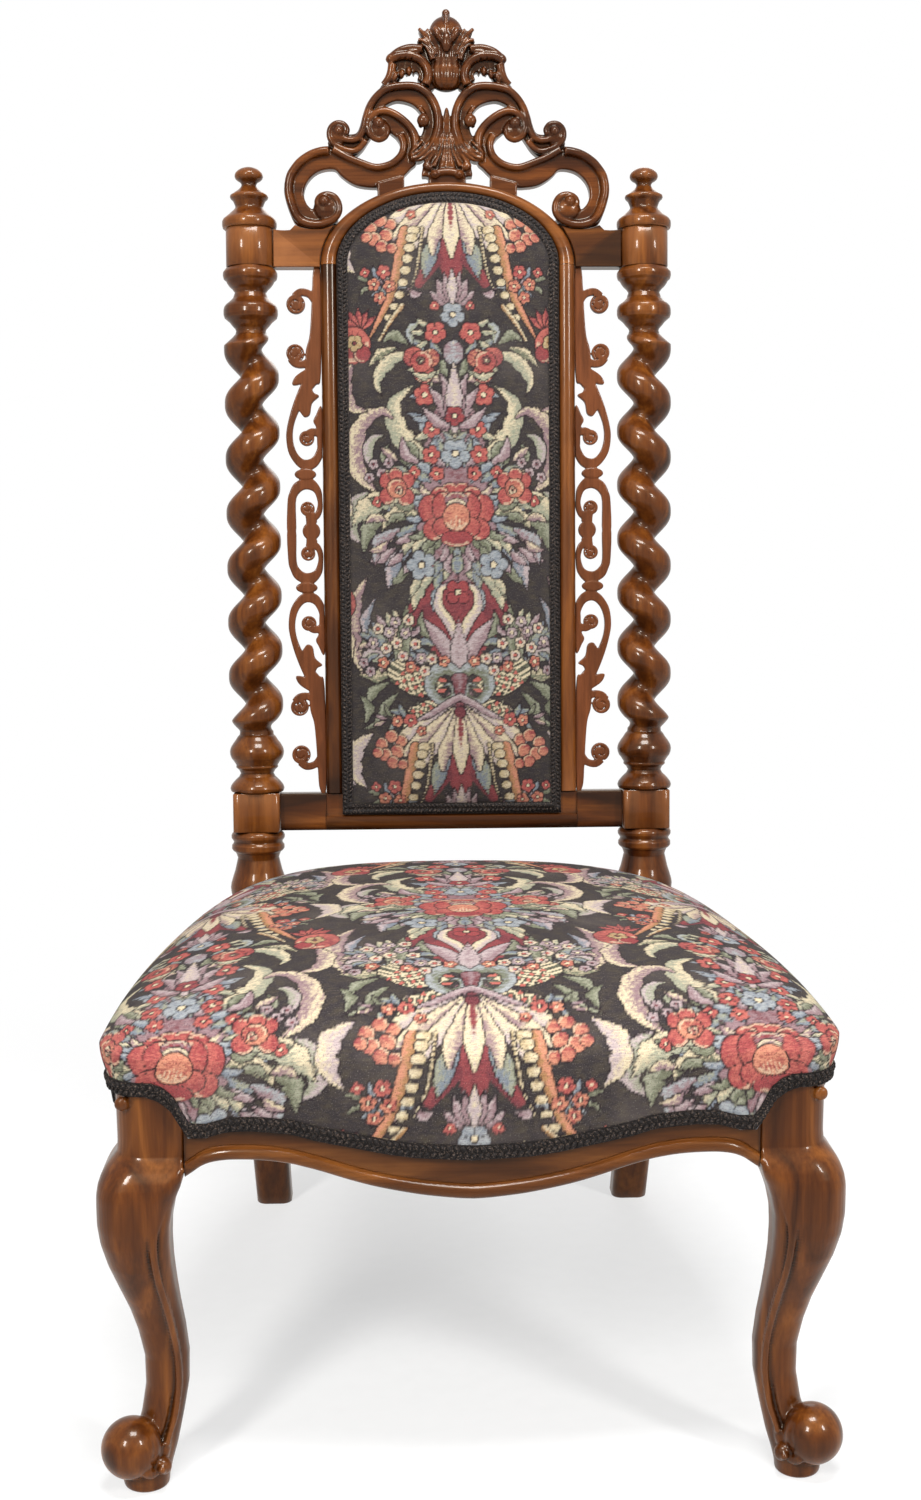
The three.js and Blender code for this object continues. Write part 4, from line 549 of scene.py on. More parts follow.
def rounded_line(points, steps=4, closed=True):
    """A smooth line through given points."""
    points = np.array(points, float)
    count = len(points)
    result = []
    for k in range(count if closed else count - 1):
        if closed:
            p0, p1, p2, p3 = (points[(k + j) % count] for j in (-1, 0, 1, 2))
        else:
            p0, p1, p2, p3 = (points[min(max(k + j, 0), count - 1)] for j in (-1, 0, 1, 2))
        for s in range(steps):
            t = s / steps
            result.append(
                0.5 * (2 * p1 + (p2 - p0) * t + (2 * p0 - 5 * p1 + 4 * p2 - p3) * t ** 2
                       + (3 * p1 - p0 - 3 * p2 + p3) * t ** 3)
            )
    if not closed:
        result.append(points[-1])
    return np.array(result)


def strap_outline(centres, start, end):
    """Outline of a strap that follows a line and changes in width along it."""
    line = rounded_line(centres, closed=False)
    way = np.gradient(line, axis=0)
    way /= np.maximum(np.linalg.norm(way, axis=1), 1e-9)[:, None]
    across = np.stack([-way[:, 1], way[:, 0]], 1)
    half = np.linspace(start, end, len(line))[:, None] / 2
    return np.concatenate([line + across * half, (line - across * half)[::-1]])


def oval(x, z, wide, high, count=30):
    return [(x + wide * math.cos(a), z + high * math.sin(a)) for a in np.linspace(0, 2 * math.pi, count)[:-1]]


def curl_outline(x, z, radius, start, side):
    """A disc with a saw cut that winds into it."""
    if radius < 4:
        return oval(x, z, radius, radius, 20)
    wind = 1 if start * side > 0 else -1
    cut = np.linspace(0, 1, 36)
    outer = [(start + wind * 2 * math.pi * (0.02 + 0.96 * t), radius) for t in np.linspace(0, 1, 40)]
    reach = radius * (1 - 0.62 * cut)
    turns = [start + wind * 2 * math.pi * 1.15 * t for t in cut]
    inner = list(zip(turns, reach - 0.2))
    back = list(zip(turns[::-1], (reach - saw_cut)[::-1]))
    shape = outer[::-1] + inner[1:] + back[:-1]
    return [(x + r * math.cos(a), z + r * math.sin(a)) for a, r in shape]


def together(parts):
    """The points and faces of several parts as one."""
    points, faces, start = [], [], 0
    for part_points, part_faces in parts:
        points.append(np.asarray(part_points, float))
        faces += [tuple(index + start for index in face) for face in part_faces]
        start += len(part_points)
    return np.concatenate(points), faces


def fused_piece(name, solids, voxel, rounds, lean):
    """Overlapping solids carved out of one block: joined, and softened as tools and polish leave them."""
    points, faces = together(solids)
    mesh = bpy.data.meshes.new(name)
    mesh.from_pydata((points * MM).tolist(), [], faces)
    blank = linked(name, mesh)
    joint = blank.modifiers.new("joined", "REMESH")
    joint.mode = "VOXEL"
    joint.voxel_size = voxel * MM
    soft = blank.modifiers.new("softened", "SMOOTH")
    soft.factor = 0.5
    soft.iterations = rounds
    ready = bpy.data.meshes.new_from_object(blank.evaluated_get(bpy.context.evaluated_depsgraph_get()))
    bpy.data.objects.remove(blank)
    flat = np.empty(len(ready.vertices) * 3)
    ready.vertices.foreach_get("co", flat)
    points = flat.reshape(-1, 3) / MM
    moved = placed(raked(points)) if lean else placed(points)
    ready.vertices.foreach_set("co", moved.reshape(-1))
    ready.update()
    ready.shade_smooth()
    ready.name = name
    return linked(name, ready)


fret_wood = timber(
    "Fret wood", (0.050, 0.0140, 0.0045), (0.082, 0.0235, 0.0075), (0.118, 0.0350, 0.0115), (0.030, 0.008, 0.004),
    gloss=0.40, coat=0.15, depth=0.8,
)
for name, side in (("left", -1), ("right", 1)):
    solids = []
    for up in (1, -1):
        def at(point):
            return (side * (fret_root + fret_width * point[0]), fret_middle + up * fret_half_height * point[1])

        for line in (stem_line, leaf_line, spur_line, loop_line):
            solids.append(plank(rounded_line([at(p) for p in line]), fret_near, fret_far, edge=0.4))
        for line in neck_lines:
            neck = strap_outline([at(p) for p in line], fret_neck, fret_neck)
            solids.append(plank(neck, fret_near, fret_far, edge=0.4))
        for share, height, radius, start in curls:
            x, z = at((share, height))
            curl = curl_outline(x, z, fret_width * radius, start * up, side)
            solids.append(plank(curl, fret_near, fret_far, edge=0.3))
        solids.append(plank(oval(*at((0.48, 0.218)), 10, 5), fret_near - 0.6, fret_far, edge=0.8))
    knop = oval(side * (fret_root + fret_width * 0.33), fret_middle, 8.2, 8.2)
    solids.append(plank(knop, fret_near, fret_far, edge=0.6))
    fret = fused_piece(f"fret_{name}", solids, 0.6, 2, True)
    fret.data.materials.append(fret_wood)
    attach(fret, "root")
    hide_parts(f"fret_panel_{name}")

# Crest: carved and pierced from a thick board of dark walnut. Scrolled straps with a raised rounded
# bead and a sunk face wind into volutes; leaves, an urn and a bud stand over them. It is dowelled down.
crest_scroll = [
    (112.2, 937.9), (120.9, 936.7), (132, 938.5), (138.9, 941.2), (143.5, 949.7), (147.5, 961.1), (149.4, 972),
    (147.4, 984.5), (142.6, 993.3), (136.1, 1000.5), (126.3, 1006.9), (116.5, 1010.2), (108.4, 1010.9),
    (99.5, 1006.3), (83.3, 1000), (67, 995.3), (58.8, 995.8), (50.7, 999), (44.1, 1005.9), (42.9, 1013),
    (46.5, 1019.4), (52, 1024), (66, 1038), (64.2, 1044.8), (55.1, 1046.7), (44.5, 1042.7), (34, 1034.7),
    (27.2, 1025.9), (25, 1018), (27.4, 997.7), (32.7, 991.7), (40.3, 984.3), (50, 977.5), (63.9, 974.4),
    (72.8, 974.5), (82.6, 976.1), (90.7, 980), (98, 985.6), (102.8, 990.5), (111.8, 990.4), (119.9, 987.4),
    (126.5, 981.4), (130.4, 974), (131, 966), (127.2, 957.8), (118, 952), (104, 950), (100, 946), (105.2, 940.8),
]
crest_upper = [
    (109, 1014.9), (104.4, 1009.1), (96.2, 1004.7), (85.6, 1002.5), (78, 1007.8), (72.7, 1015.2), (66, 1026),
    (60, 1044), (49, 1051.6), (40, 1051.9), (30.9, 1048.8), (24.9, 1042.9), (21.6, 1036), (21.5, 1027),
    (25, 1019), (36, 1006), (34.2, 1002.5), (27.4, 997.7), (22.1, 999.2), (14.5, 1005.2), (7.6, 1015.6),
    (3.8, 1029), (3.9, 1036), (5.2, 1045.3), (9.7, 1055.6), (15.7, 1062.9), (24.8, 1068), (36.9, 1068.9),
    (48.9, 1067.8), (58.8, 1064.8), (67.1, 1058.1), (73.2, 1049.2), (77, 1038.8), (79.4, 1029.9),
    (83.2, 1023.3), (93, 1022.4), (100, 1021),
]
crest_leaf = [
    (60.7, 1064), (56.5, 1069.5), (53.5, 1077), (51.4, 1084.7), (53.7, 1089.1), (50.3, 1094.3), (42.7, 1098.8),
    (32.2, 1101.5), (23.1, 1102.3), (12, 1092), (10, 1066), (17.2, 1062), (19.5, 1066), (24, 1069.5),
    (26.5, 1071.5), (25.2, 1075.5), (28, 1079), (30, 1075.6), (32.5, 1079.5), (36, 1075.4), (38.5, 1078.4),
    (41.5, 1073), (44.5, 1068.4), (50, 1063.6), (56, 1062),
]
crest_stem = [
    (0, 1046), (2, 1043), (4.2, 1030), (7.6, 1015.6), (12, 1004), (18, 998), (21.3, 994.8), (22.9, 988.8),
    (22.9, 984), (17, 983.7), (17, 974), (0, 976),
]
crest_pad = [(63.9, 977.5), (39.2, 984), (39.2, 962), (46, 966), (56, 963), (63.9, 959)]
scroll_beads = [
    ([(108, 1006.8), (115.5, 1006), (124.5, 1003), (133.3, 997.3), (139, 991), (143.5, 983.5), (145.3, 972),
      (143.5, 962), (139.7, 951), (135, 945), (129, 941.9), (121, 940.6), (113, 941.6), (104.5, 945.4),
      (99.8, 951.5), (99.6, 959), (103.6, 965.3), (110.5, 967.3), (116.8, 964.6), (118.6, 959.6), (115.6, 956)],
     4.2, 3.2),
    ([(104, 1008), (92, 1001.3), (80, 996.6), (67, 992.2), (57.5, 992.8), (48.5, 996.5), (41.5, 1003.8),
      (39.6, 1013), (43, 1021)], 3.2, 3.4),
    ([(28.6, 1000), (28.4, 1010), (28.6, 1017), (31, 1024.3), (37, 1031.8), (46, 1038.6), (55, 1042.2),
      (63, 1041), (69.6, 1035.4), (71.6, 1027.6), (68.8, 1020.4), (62.4, 1017), (56.4, 1019.6), (54.6, 1025.6),
      (57.6, 1029.6)], 4.0, 3.0),
    ([(33, 1001.6), (26.5, 1001), (18.5, 1006.5), (12, 1015), (8, 1027), (7.8, 1037), (9.4, 1045),
      (13.4, 1053.4), (19, 1059.5), (27, 1064), (37, 1065), (48, 1063.8), (56.8, 1061), (64, 1055),
      (69.5, 1047), (73.3, 1037), (76, 1027), (79.6, 1019.6), (85, 1016.5), (91, 1016.6), (96, 1018.4)], 4.3, 3.0),
    ([(74, 1016), (79.4, 1009.6), (86, 1006.4), (95, 1008.4), (102.6, 1012.4), (106.6, 1018.6), (106.2, 1026),
      (101.4, 1030.6), (95, 1030.4), (91.4, 1026), (92.6, 1021.6)], 3.0, 3.2),
    ([(22, 1097.5), (33, 1098.4), (43, 1095.6), (50, 1090.6)], 4.0, 3.2),
    ([(52, 1087), (45, 1090.6), (35, 1091.4), (25, 1088.6), (18.6, 1082), (16.4, 1073), (19, 1065.5)], 4.0, 4.2),
    ([(49, 1084), (50.4, 1077), (53.4, 1070.4), (57.6, 1065.6)], 4.4, 3.0),
    ([(25.0, 1028), (21.2, 1033), (20.6, 1039), (25, 1045.5)], 2.0, 2.2),
]
crest_eyes = [(112.6, 961.3, 5.2), (98.6, 1023.9, 4.8), (62.2, 1030.8, 5.4), (21.4, 1033.4, 6.0)]
crest_discs = [(110.5, 955.5, 12.4), (99.8, 1020.8, 9.8), (62, 1026, 10.6)]


def rope(points, start, end, height, steps=5, sides=10):
    """A round bar along a line given as X and Z, at a height in Y, thinning from start to end."""
    line = rounded_line(points, steps, closed=False)
    way = np.gradient(line, axis=0)
    way /= np.maximum(np.linalg.norm(way, axis=1), 1e-9)[:, None]
    rings = []
    for (x, z), (dx, dz), r in zip(line, way, np.linspace(start, end, len(line))):
        turn = np.linspace(0, 2 * math.pi, sides, endpoint=False)
        rings.append(np.stack([
            x - dz * r * np.cos(turn), height + r * np.sin(turn), z + dx * r * np.cos(turn)
        ], 1))
    return skin(rings)


def ball(x, y, z, rx, ry=None, rz=None, lean=0.0, around=18, rows=10):
    """A rounded lump, turned in the plane of the board."""
    ry, rz = ry or rx, rz or rx
    rings = []
    for k in range(rows + 1):
        up = math.pi * (k / rows - 0.5) * 0.998
        turn = np.linspace(0, 2 * math.pi, around, endpoint=False)
        px = rx * math.cos(up) * np.cos(turn)
        py = ry * math.cos(up) * np.sin(turn)
        pz = np.full(around, rz * math.sin(up))
        rings.append(np.stack([
            x + px * math.cos(lean) - pz * math.sin(lean), y + py, z + px * math.sin(lean) + pz * math.cos(lean)
        ], 1))
    return skin(rings)


def turned_form(profile, flatness, ribs=0, depth=0.0, around=60):
    rings = []
    for z, r in profile:
        turn = np.linspace(0, 2 * math.pi, around, endpoint=False)
        reach = r * (1 - depth * (1 - np.abs(np.cos(ribs * turn / 2))) if ribs else 1)
        rings.append(np.stack([reach * np.cos(turn), flatness * reach * np.sin(turn), np.full(around, z)], 1))
    return skin(rings)


crest_solids = []
for side in (-1, 1):
    def mirrored(points):
        return [(side * x, z) for x, z in points]

    crest_solids += [
        plank(rounded_line(mirrored(crest_scroll), 3), -4.6, 9.6, edge=1.6),
        plank(rounded_line(mirrored(crest_upper), 3), -3.2, 11.0, edge=1.6),
        plank(rounded_line(mirrored(crest_leaf), 3), -2.8, 8.2, edge=1.2),
        plank(mirrored(crest_pad), -9.6, 9.6, edge=0.8),
    ]
    crest_solids += [rope(mirrored(points), start, end, -2.6 - min(start, end)) for points, start, end in scroll_beads]
    crest_solids += [ball(side * x, -2.0, z, r, 8.0, r) for x, z, r in crest_discs]
    crest_solids += [ball(side * x, -7.4, z, r, 5.0, r) for x, z, r in crest_eyes]
    for x, z, rx, rz, lean in (
        (23, 1006, 3.6, 11.5, 0.72), (28.5, 1008.5, 3.0, 9.5, 0.66), (18.4, 1003.6, 2.8, 10.5, 0.9),
        (46.5, 1072.5, 2.6, 5.6, 0.5), (40.5, 1075, 2.6, 4.6, 0.3), (34, 1077.4, 2.6, 4.4, 0.1),
        (30, 1095, 2.2, 9.0, 1.5), (51.5, 1089.5, 3.2, 4.6, 0.7),
    ):
        crest_solids.append(ball(side * x, -5.6, z, rx, 4.6, rz, side * lean))
    for x0, x1, z0, z1, start, end in (
        (4.6, 18.6, 1026, 996, 1.2, 2.6), (3.0, 12.6, 1022, 992.5, 1.2, 2.8), (1.4, 5.4, 1018, 990.5, 1.0, 2.6),
    ):
        middle = ((x0 + x1) / 2 - 0.16 * (x1 - x0), (z0 + z1) / 2)
        crest_solids.append(rope(mirrored([(x0, z0), middle, (x1, z1)]), start, end, -6.0))
    crest_solids += [
        ball(side * 17.6, -5.0, 992.5, 5.4, 4.4, 3.8, side * 0.5), ball(side * 11.2, -8.6, 985.0, 4.6, 4.4, 4.3),
        ball(side * 11.2, -12.0, 985.0, 2.2, 2.2, 2.2),
        rope(mirrored([(12, 1088), (15.5, 1097), (20.5, 1104), (25.6, 1105.6)]), 3.4, 1.8, -6.0),
        rope(mirrored([(10, 1092), (14, 1102), (19.6, 1110), (25, 1115.6)]), 3.4, 1.6, -6.0),
        rope(mirrored([(7, 1094), (10, 1104), (15, 1112), (18, 1115)]), 3.0, 1.6, -5.2),
    ]
urn_profile = [
    (1060.6, 0.5), (1061.4, 5.6), (1063, 9.6), (1066, 13.4), (1070, 15.8), (1075, 16.9), (1080, 16.4),
    (1085, 14.9), (1090, 13.9), (1095, 14.6), (1100, 16.6), (1104, 18.6), (1108, 19.4), (1110, 18.0), (1112, 14.0),
]
crest_solids += [
    plank(rounded_line([*crest_stem, *[(-x, z) for x, z in crest_stem[1:-1][::-1]]], 2), -5.6, 9.6, edge=1.4),
    turned_form(urn_profile, 0.66, ribs=14, depth=0.1),
    plank([
        (0, 1086), (14, 1090), (19.5, 1100), (26.6, 1105), (22.4, 1107.6), (25.6, 1116), (18, 1114), (0, 1112),
        (-18, 1114), (-25.6, 1116), (-22.4, 1107.6), (-26.6, 1105), (-19.5, 1100), (-14, 1090),
    ], -4.6, 8.0, edge=1.0),
    plank([(-16.8, 971), (16.8, 971), (16.8, 984), (-16.8, 984)], -8.0, 9.8, edge=1.0),
    rope([(-11, 986), (0, 987.4), (11, 986)], 3.3, 3.3, -8.4), ball(0, -4.4, 1001, 8.6, 5.2, 15.5),
    ball(0, 0, 1113.5, 15.4, 14.6, 14.6, around=36, rows=24), ball(0, -11.6, 1102.5, 4.6, 4.2, 9.5),
    ball(-7.6, -11.6, 1108.6, 3.6, 4.2, 8.0, 0.5), ball(7.6, -11.6, 1108.6, 3.6, 4.2, 8.0, -0.5),
    rope([(0, 1101), (0, 1112), (0, 1121), (0, 1127)], 1.6, 2.4, -13.2), ball(0, -3.0, 1130.0, 3.8, 3.8, 3.8),
    rope([(0, 1120), (0, 1130)], 2.8, 2.4, -2.0),
]
def scored(piece, lines, depth, width, lean=True, front_only=True):
    """Cuts V-shaped lines into a carved face with a veiner; each line is a list of X, Y and Z."""
    mesh = piece.data
    count = len(mesh.vertices)
    places = np.empty(count * 3)
    mesh.vertices.foreach_get("co", places)
    places = places.reshape(-1, 3)
    ways = np.empty(count * 3)
    mesh.vertex_normals.foreach_get("vector", ways)
    ways = ways.reshape(-1, 3)
    cut = np.zeros(count)
    for line in lines:
        path = rounded_line(line, 8, closed=False)
        path = placed(raked(path)) if lean else placed(path)
        fade = np.clip(np.minimum(np.arange(len(path)), np.arange(len(path))[::-1]) / 4, 0.25, 1)
        close = np.nonzero(((places > path.min(0) - 0.012) & (places < path.max(0) + 0.012)).all(1))[0]
        if front_only:
            close = close[ways[close, 1] < -0.25]
        away = places[close][:, None, :] - path[None, :, :]
        if front_only:
            away[:, :, 1] *= 0.2
        square = (away ** 2).sum(2)
        nearest = square.argmin(1)
        share = np.exp(-square[np.arange(len(close)), nearest] / (width * MM) ** 2) * fade[nearest]
        cut[close] = np.maximum(cut[close], share)
    places -= ways * (cut * depth * MM)[:, None]
    mesh.vertices.foreach_set("co", places.reshape(-1))
    mesh.update()


crest = fused_piece("carved_crest", crest_solids, 0.85, 3, True)
for side in (-1, 1):
    scored(crest, [[(side * x, -8, z) for x, z in line] for line in (
        [(10.5, 1016), (16, 1007), (24, 1000), (31, 997.6)], [(13.5, 1018), (19, 1010), (26, 1003.6), (33, 1000.6)],
        [(17, 1019.5), (21.5, 1013), (27.5, 1007), (33.5, 1003.8)], [(20.5, 1021), (24, 1016), (28.6, 1011)],
        [(13, 1092), (17, 1099), (24, 1104)], [(10, 1096), (14.5, 1104), (21.5, 1111)],
        [(6, 1098), (9, 1106), (14.6, 1112)],
        [(3, 1100), (4.6, 1106), (5.2, 1111)], [(8, 1103), (11, 1109), (11.6, 1114)],
        [(30, 1073), (33, 1083), (30, 1090)], [(36, 1072), (39, 1082), (36, 1091)],
        [(42, 1069), (45, 1079), (42, 1089)],
        [(3.0, 1020), (4.6, 1006), (8.6, 993)], [(6.0, 1014), (9, 1003), (14.6, 994)],
        [(0.6, 1018), (1.0, 1005), (1.6, 992)],
    )], 1.3, 0.9)
# The carving's hollows take the darkest and strongest painted shade and dirt
crest_walnut = timber(
    "Carved walnut", (0.016, 0.0035, 0.0008), (0.042, 0.0105, 0.0018), (0.104, 0.030, 0.0050), (0.0016, 0.0004, 0.0002),
    along="X", gloss=0.20, coat=0.24, depth=1.3,
)
crest.data.materials.append(crest_walnut)
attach(crest, "root")
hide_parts("crest_carving")

# Tapestry: a jacquard furnishing cloth. Bouquets, fans, acanthus and garlands in rose, coral, cream, sage,
# blue-grey and mauve stand on charcoal, mirrored about a middle line and repeated half a drop lower in the
# next column. Each form is dyed into the cloth's threads below, and the weave is worked by the material.
repeat_high = 469.0
column_step = 203.0
half_drop = 234.5
charcoal = (0.036, 0.031, 0.034)
mossy = (0.062, 0.052, 0.040)
rose = (0.300, 0.060, 0.064)
coral = (0.450, 0.130, 0.108)
salmon = (0.560, 0.245, 0.160)
burgundy = (0.150, 0.040, 0.050)
maroon = (0.235, 0.055, 0.062)
cream = (0.62, 0.535, 0.375)
sand = (0.46, 0.365, 0.215)
ochre = (0.33, 0.185, 0.085)
sage = (0.150, 0.160, 0.110)
grey_green = (0.300, 0.310, 0.235)
blue_grey = (0.185, 0.215, 0.260)
pale_blue = (0.34, 0.365, 0.385)
mauve = (0.270, 0.180, 0.200)
lilac = (0.44, 0.365, 0.375)
outline_dark = (0.020, 0.014, 0.017)


def tinted(colour_a, colour_b, share):
    share = np.clip(share, 0, 1)[:, None]
    return np.array(colour_a) * (1 - share) + np.array(colour_b) * share


def threads(x, y, long=2.8, seed=0.0):
    """A number for each float of weft: alike along a short piece of one row, and new in the next row."""
    row = np.floor(y / 1.1)
    start = np.sin(row * 12.9898 + seed) * 43758.5453
    float_of = np.floor(x / long + (start - np.floor(start)))
    mixed = np.sin(float_of * 78.233 + row * 37.719 + seed) * 24634.6345
    return mixed - np.floor(mixed)


class Loom:
    """Holds the place and the dye of every point of a cloth, folded onto one column of the design."""

    def __init__(self, across, along):
        self.columns = []
        for start, drop in ((0.0, 0.0), (column_step, half_drop)):
            x = (across - start + column_step) % (2 * column_step) - column_step
            self.columns.append((np.abs(x), along + drop))
        self.fine = threads(across, along) - 0.5
        self.coarse = threads(across, along, 5.0, 3.0) - 0.5
        slub = 0.5 + 0.5 * np.sin(across * 0.31 + 2 * np.sin(along * 0.11)) * np.sin(
            along * 0.23 + np.sin(across * 0.17)
        )
        self.dye = tinted(charcoal, mossy, np.clip(slub * 0.7 + 0.9 * self.coarse - 0.15, 0, 1))

    def near(self, x, y, reach):
        for fold_x, run_y in self.columns:
            dy = (run_y - y + repeat_high / 2) % repeat_high - repeat_high / 2
            close = np.nonzero((np.abs(fold_x - x) < reach) & (np.abs(dy) < reach))[0]
            if len(close):
                yield close, fold_x[close], dy[close] + y

    def lay(self, close, gap, light, dark, tone, edge=1.1, outlined=True):
        """Dyes the points inside a form in two tones that break into each other, with a dark thread round it."""
        gap = gap + 0.7 * self.coarse[close]
        inside = np.clip(gap / 0.8 + 0.5, 0, 1)[:, None]
        tone = tone + 0.75 * self.fine[close] + 0.25 * self.coarse[close]
        colour = tinted(dark, light, (tone - 0.5) * 1.25 + 0.5)
        if outlined:
            rim = np.clip((gap - edge) / 0.7 + 0.5, 0, 1)[:, None]
            colour = np.array(outline_dark) * (1 - rim) + colour * rim
        self.dye[close] = self.dye[close] * (1 - inside) + colour * inside

    def beside(self, path, steps, widest):
        """The points near a line, with how far along it they are, how long it is, how far off and on which side."""
        line = rounded_line(path, steps, closed=False)
        run = np.concatenate([[0], np.cumsum(np.linalg.norm(np.diff(line, axis=0), axis=1))])
        way = np.gradient(line, axis=0)
        way /= np.maximum(np.linalg.norm(way, axis=1), 1e-9)[:, None]
        middle = (line.max(0) + line.min(0)) / 2
        for close, x, y in self.near(*middle, np.ptp(line, axis=0).max() / 2 + widest):
            square = (x[:, None] - line[None, :, 0]) ** 2 + (y[:, None] - line[None, :, 1]) ** 2
            best = square.argmin(1)
            away = np.sqrt(square[np.arange(len(best)), best])
            aside = way[best, 0] * (y - line[best, 1]) - way[best, 1] * (x - line[best, 0])
            yield close, run[best], run[-1], away, aside

    def strap(self, path, widths, light, dark, lobes=0, depth=0.3, veins=True, outlined=True, edge=1.1):
        """A leaf, petal, stem or ribbon along a line, widening and narrowing as told."""
        for close, run, length, away, aside in self.beside(path, 7, max(widths)):
            side = np.sign(aside)
            t = run / length
            half = np.interp(t, np.linspace(0, 1, len(widths)), widths) / 2
            if lobes:
                half = half * (1 - depth * (1 - np.abs(np.sin(math.pi * lobes * t + 0.4 * side)) ** 0.6))
            cross = np.clip(away / np.maximum(half, 0.4), 0, 1)
            tone = 0.5 + 0.38 * side * np.minimum(1, cross * 2.2) + 0.25 * (t - 0.4)
            if veins:
                tone = tone - 0.55 * (cross * half < 0.55) * (t < 0.85)
                tone = tone - 0.42 * (np.abs(((run - away * 0.9) / 4.6) % 1 - 0.5) < 0.13) * (cross > 0.15)
            self.lay(close, half - away, light, dark, tone, edge, outlined)

    def bloom(self, x, y, size, petals, turn, petal, shade, heart, notch=0.32, squash=1.0, core=0.22):
        """A flower seen from the front; with no petals it is a berry or one rounded petal."""
        for close, px, py in self.near(x, y, size * 1.3 / min(squash, 1.0)):
            dx, dy = px - x, (py - y) * squash
            reach = np.hypot(dx, dy)
            bearing = np.arctan2(dy, dx) + turn
            wave = np.abs(np.cos(bearing * petals / 2)) ** 0.5 if petals else np.ones(len(dx))
            edge = size * (1 - notch * (1 - wave))
            depth = reach / edge
            if petals:
                tone = 0.15 + 0.75 * depth - 0.35 * (depth > 0.82)
            else:
                tone = 0.62 - 0.5 * (dx * math.cos(turn) + dy * math.sin(turn)) / size
                tone = tone + 0.5 * (depth > 0.70) * (np.cos(bearing) < -0.2)
            self.lay(close, edge - reach, petal, shade, tone)
            if not petals:
                lit = close[(depth > 0.66) & (depth < 0.86) & (np.cos(bearing) < -0.45)]
                self.dye[lit] = 0.45 * self.dye[lit] + 0.55 * np.array(cream)
                streaked = close[(depth < 0.8) & (np.abs((bearing * 2.2) % 1 - 0.5) < 0.10) & (reach > 2.0)]
                self.dye[streaked] = 0.5 * self.dye[streaked] + 0.5 * np.array(shade) * 0.6
            if petals:
                inner = close[(depth < 0.9) & (wave < 0.36) & (depth > core)]
                self.dye[inner] = 0.25 * self.dye[inner] + 0.75 * np.array(outline_dark)
                ringed = close[np.abs(depth - core) < 0.07]
                self.dye[ringed] = outline_dark
                hearted = close[depth < core - 0.02]
                self.dye[hearted] = heart

    def lattice(self, path, widths):
        """A horn woven with diamonds, a little red flower in each."""
        for close, run, length, away, aside in self.beside(path, 8, max(widths)):
            gap = np.interp(run / length, np.linspace(0, 1, len(widths)), widths) / 2 - away
            one_way = np.abs(((run + aside) / 10.5 % 1) - 0.5)
            other_way = np.abs(((run - aside) / 10.5 % 1) - 0.5)
            self.lay(close, gap, sage, outline_dark, 0.5 * np.ones(len(run)))
            self.dye[close[(np.maximum(one_way, other_way) > 0.39) & (gap > 1)]] = cream
            self.dye[close[(np.hypot(one_way, other_way) < 0.25) & (gap > 1)]] = coral


def peony(loom, y, size):
    """A full-blown rose: back petals, side petals, a closed heart and a turned-down lip."""
    for x, up, r, turn, squash in (
        (0.20, 0.86, 0.30, 1.6, 1.2), (0.52, 0.66, 0.34, 1.2, 1.0), (0.86, 0.24, 0.40, 0.2, 0.8),
        (0.74, -0.42, 0.38, -0.6, 1.0),
        (0.40, 0.30, 0.42, 0.6, 0.8), (0.42, -0.34, 0.38, -0.8, 1.1),
    ):
        loom.bloom(x * size, y + up * size, r * size, 0, turn, coral, rose, rose, squash=squash)
    loom.bloom(0, y - 0.72 * size, 0.56 * size, 0, -1.57, rose, maroon, maroon, squash=2.0)
    loom.bloom(0, y + 0.55 * size, 0.40 * size, 0, 1.57, mauve, maroon, mauve, squash=1.5)
    loom.bloom(0, y + 0.34 * size, 0.34 * size, 0, 1.57, cream, mauve, mauve, squash=1.3)
    loom.bloom(0, y - 0.02 * size, 0.46 * size, 0, -1.57, salmon, rose, rose, squash=0.95)
    for x, low, high in ((0.0, -0.36, 0.02), (0.10, -0.28, -0.08), (0.2, -0.22, -0.1)):
        loom.strap(
            [(x * size, y + low * size), (x * size, y + high * size)], [1.8, 1.2], cream, salmon, veins=False,
            outlined=False
        )


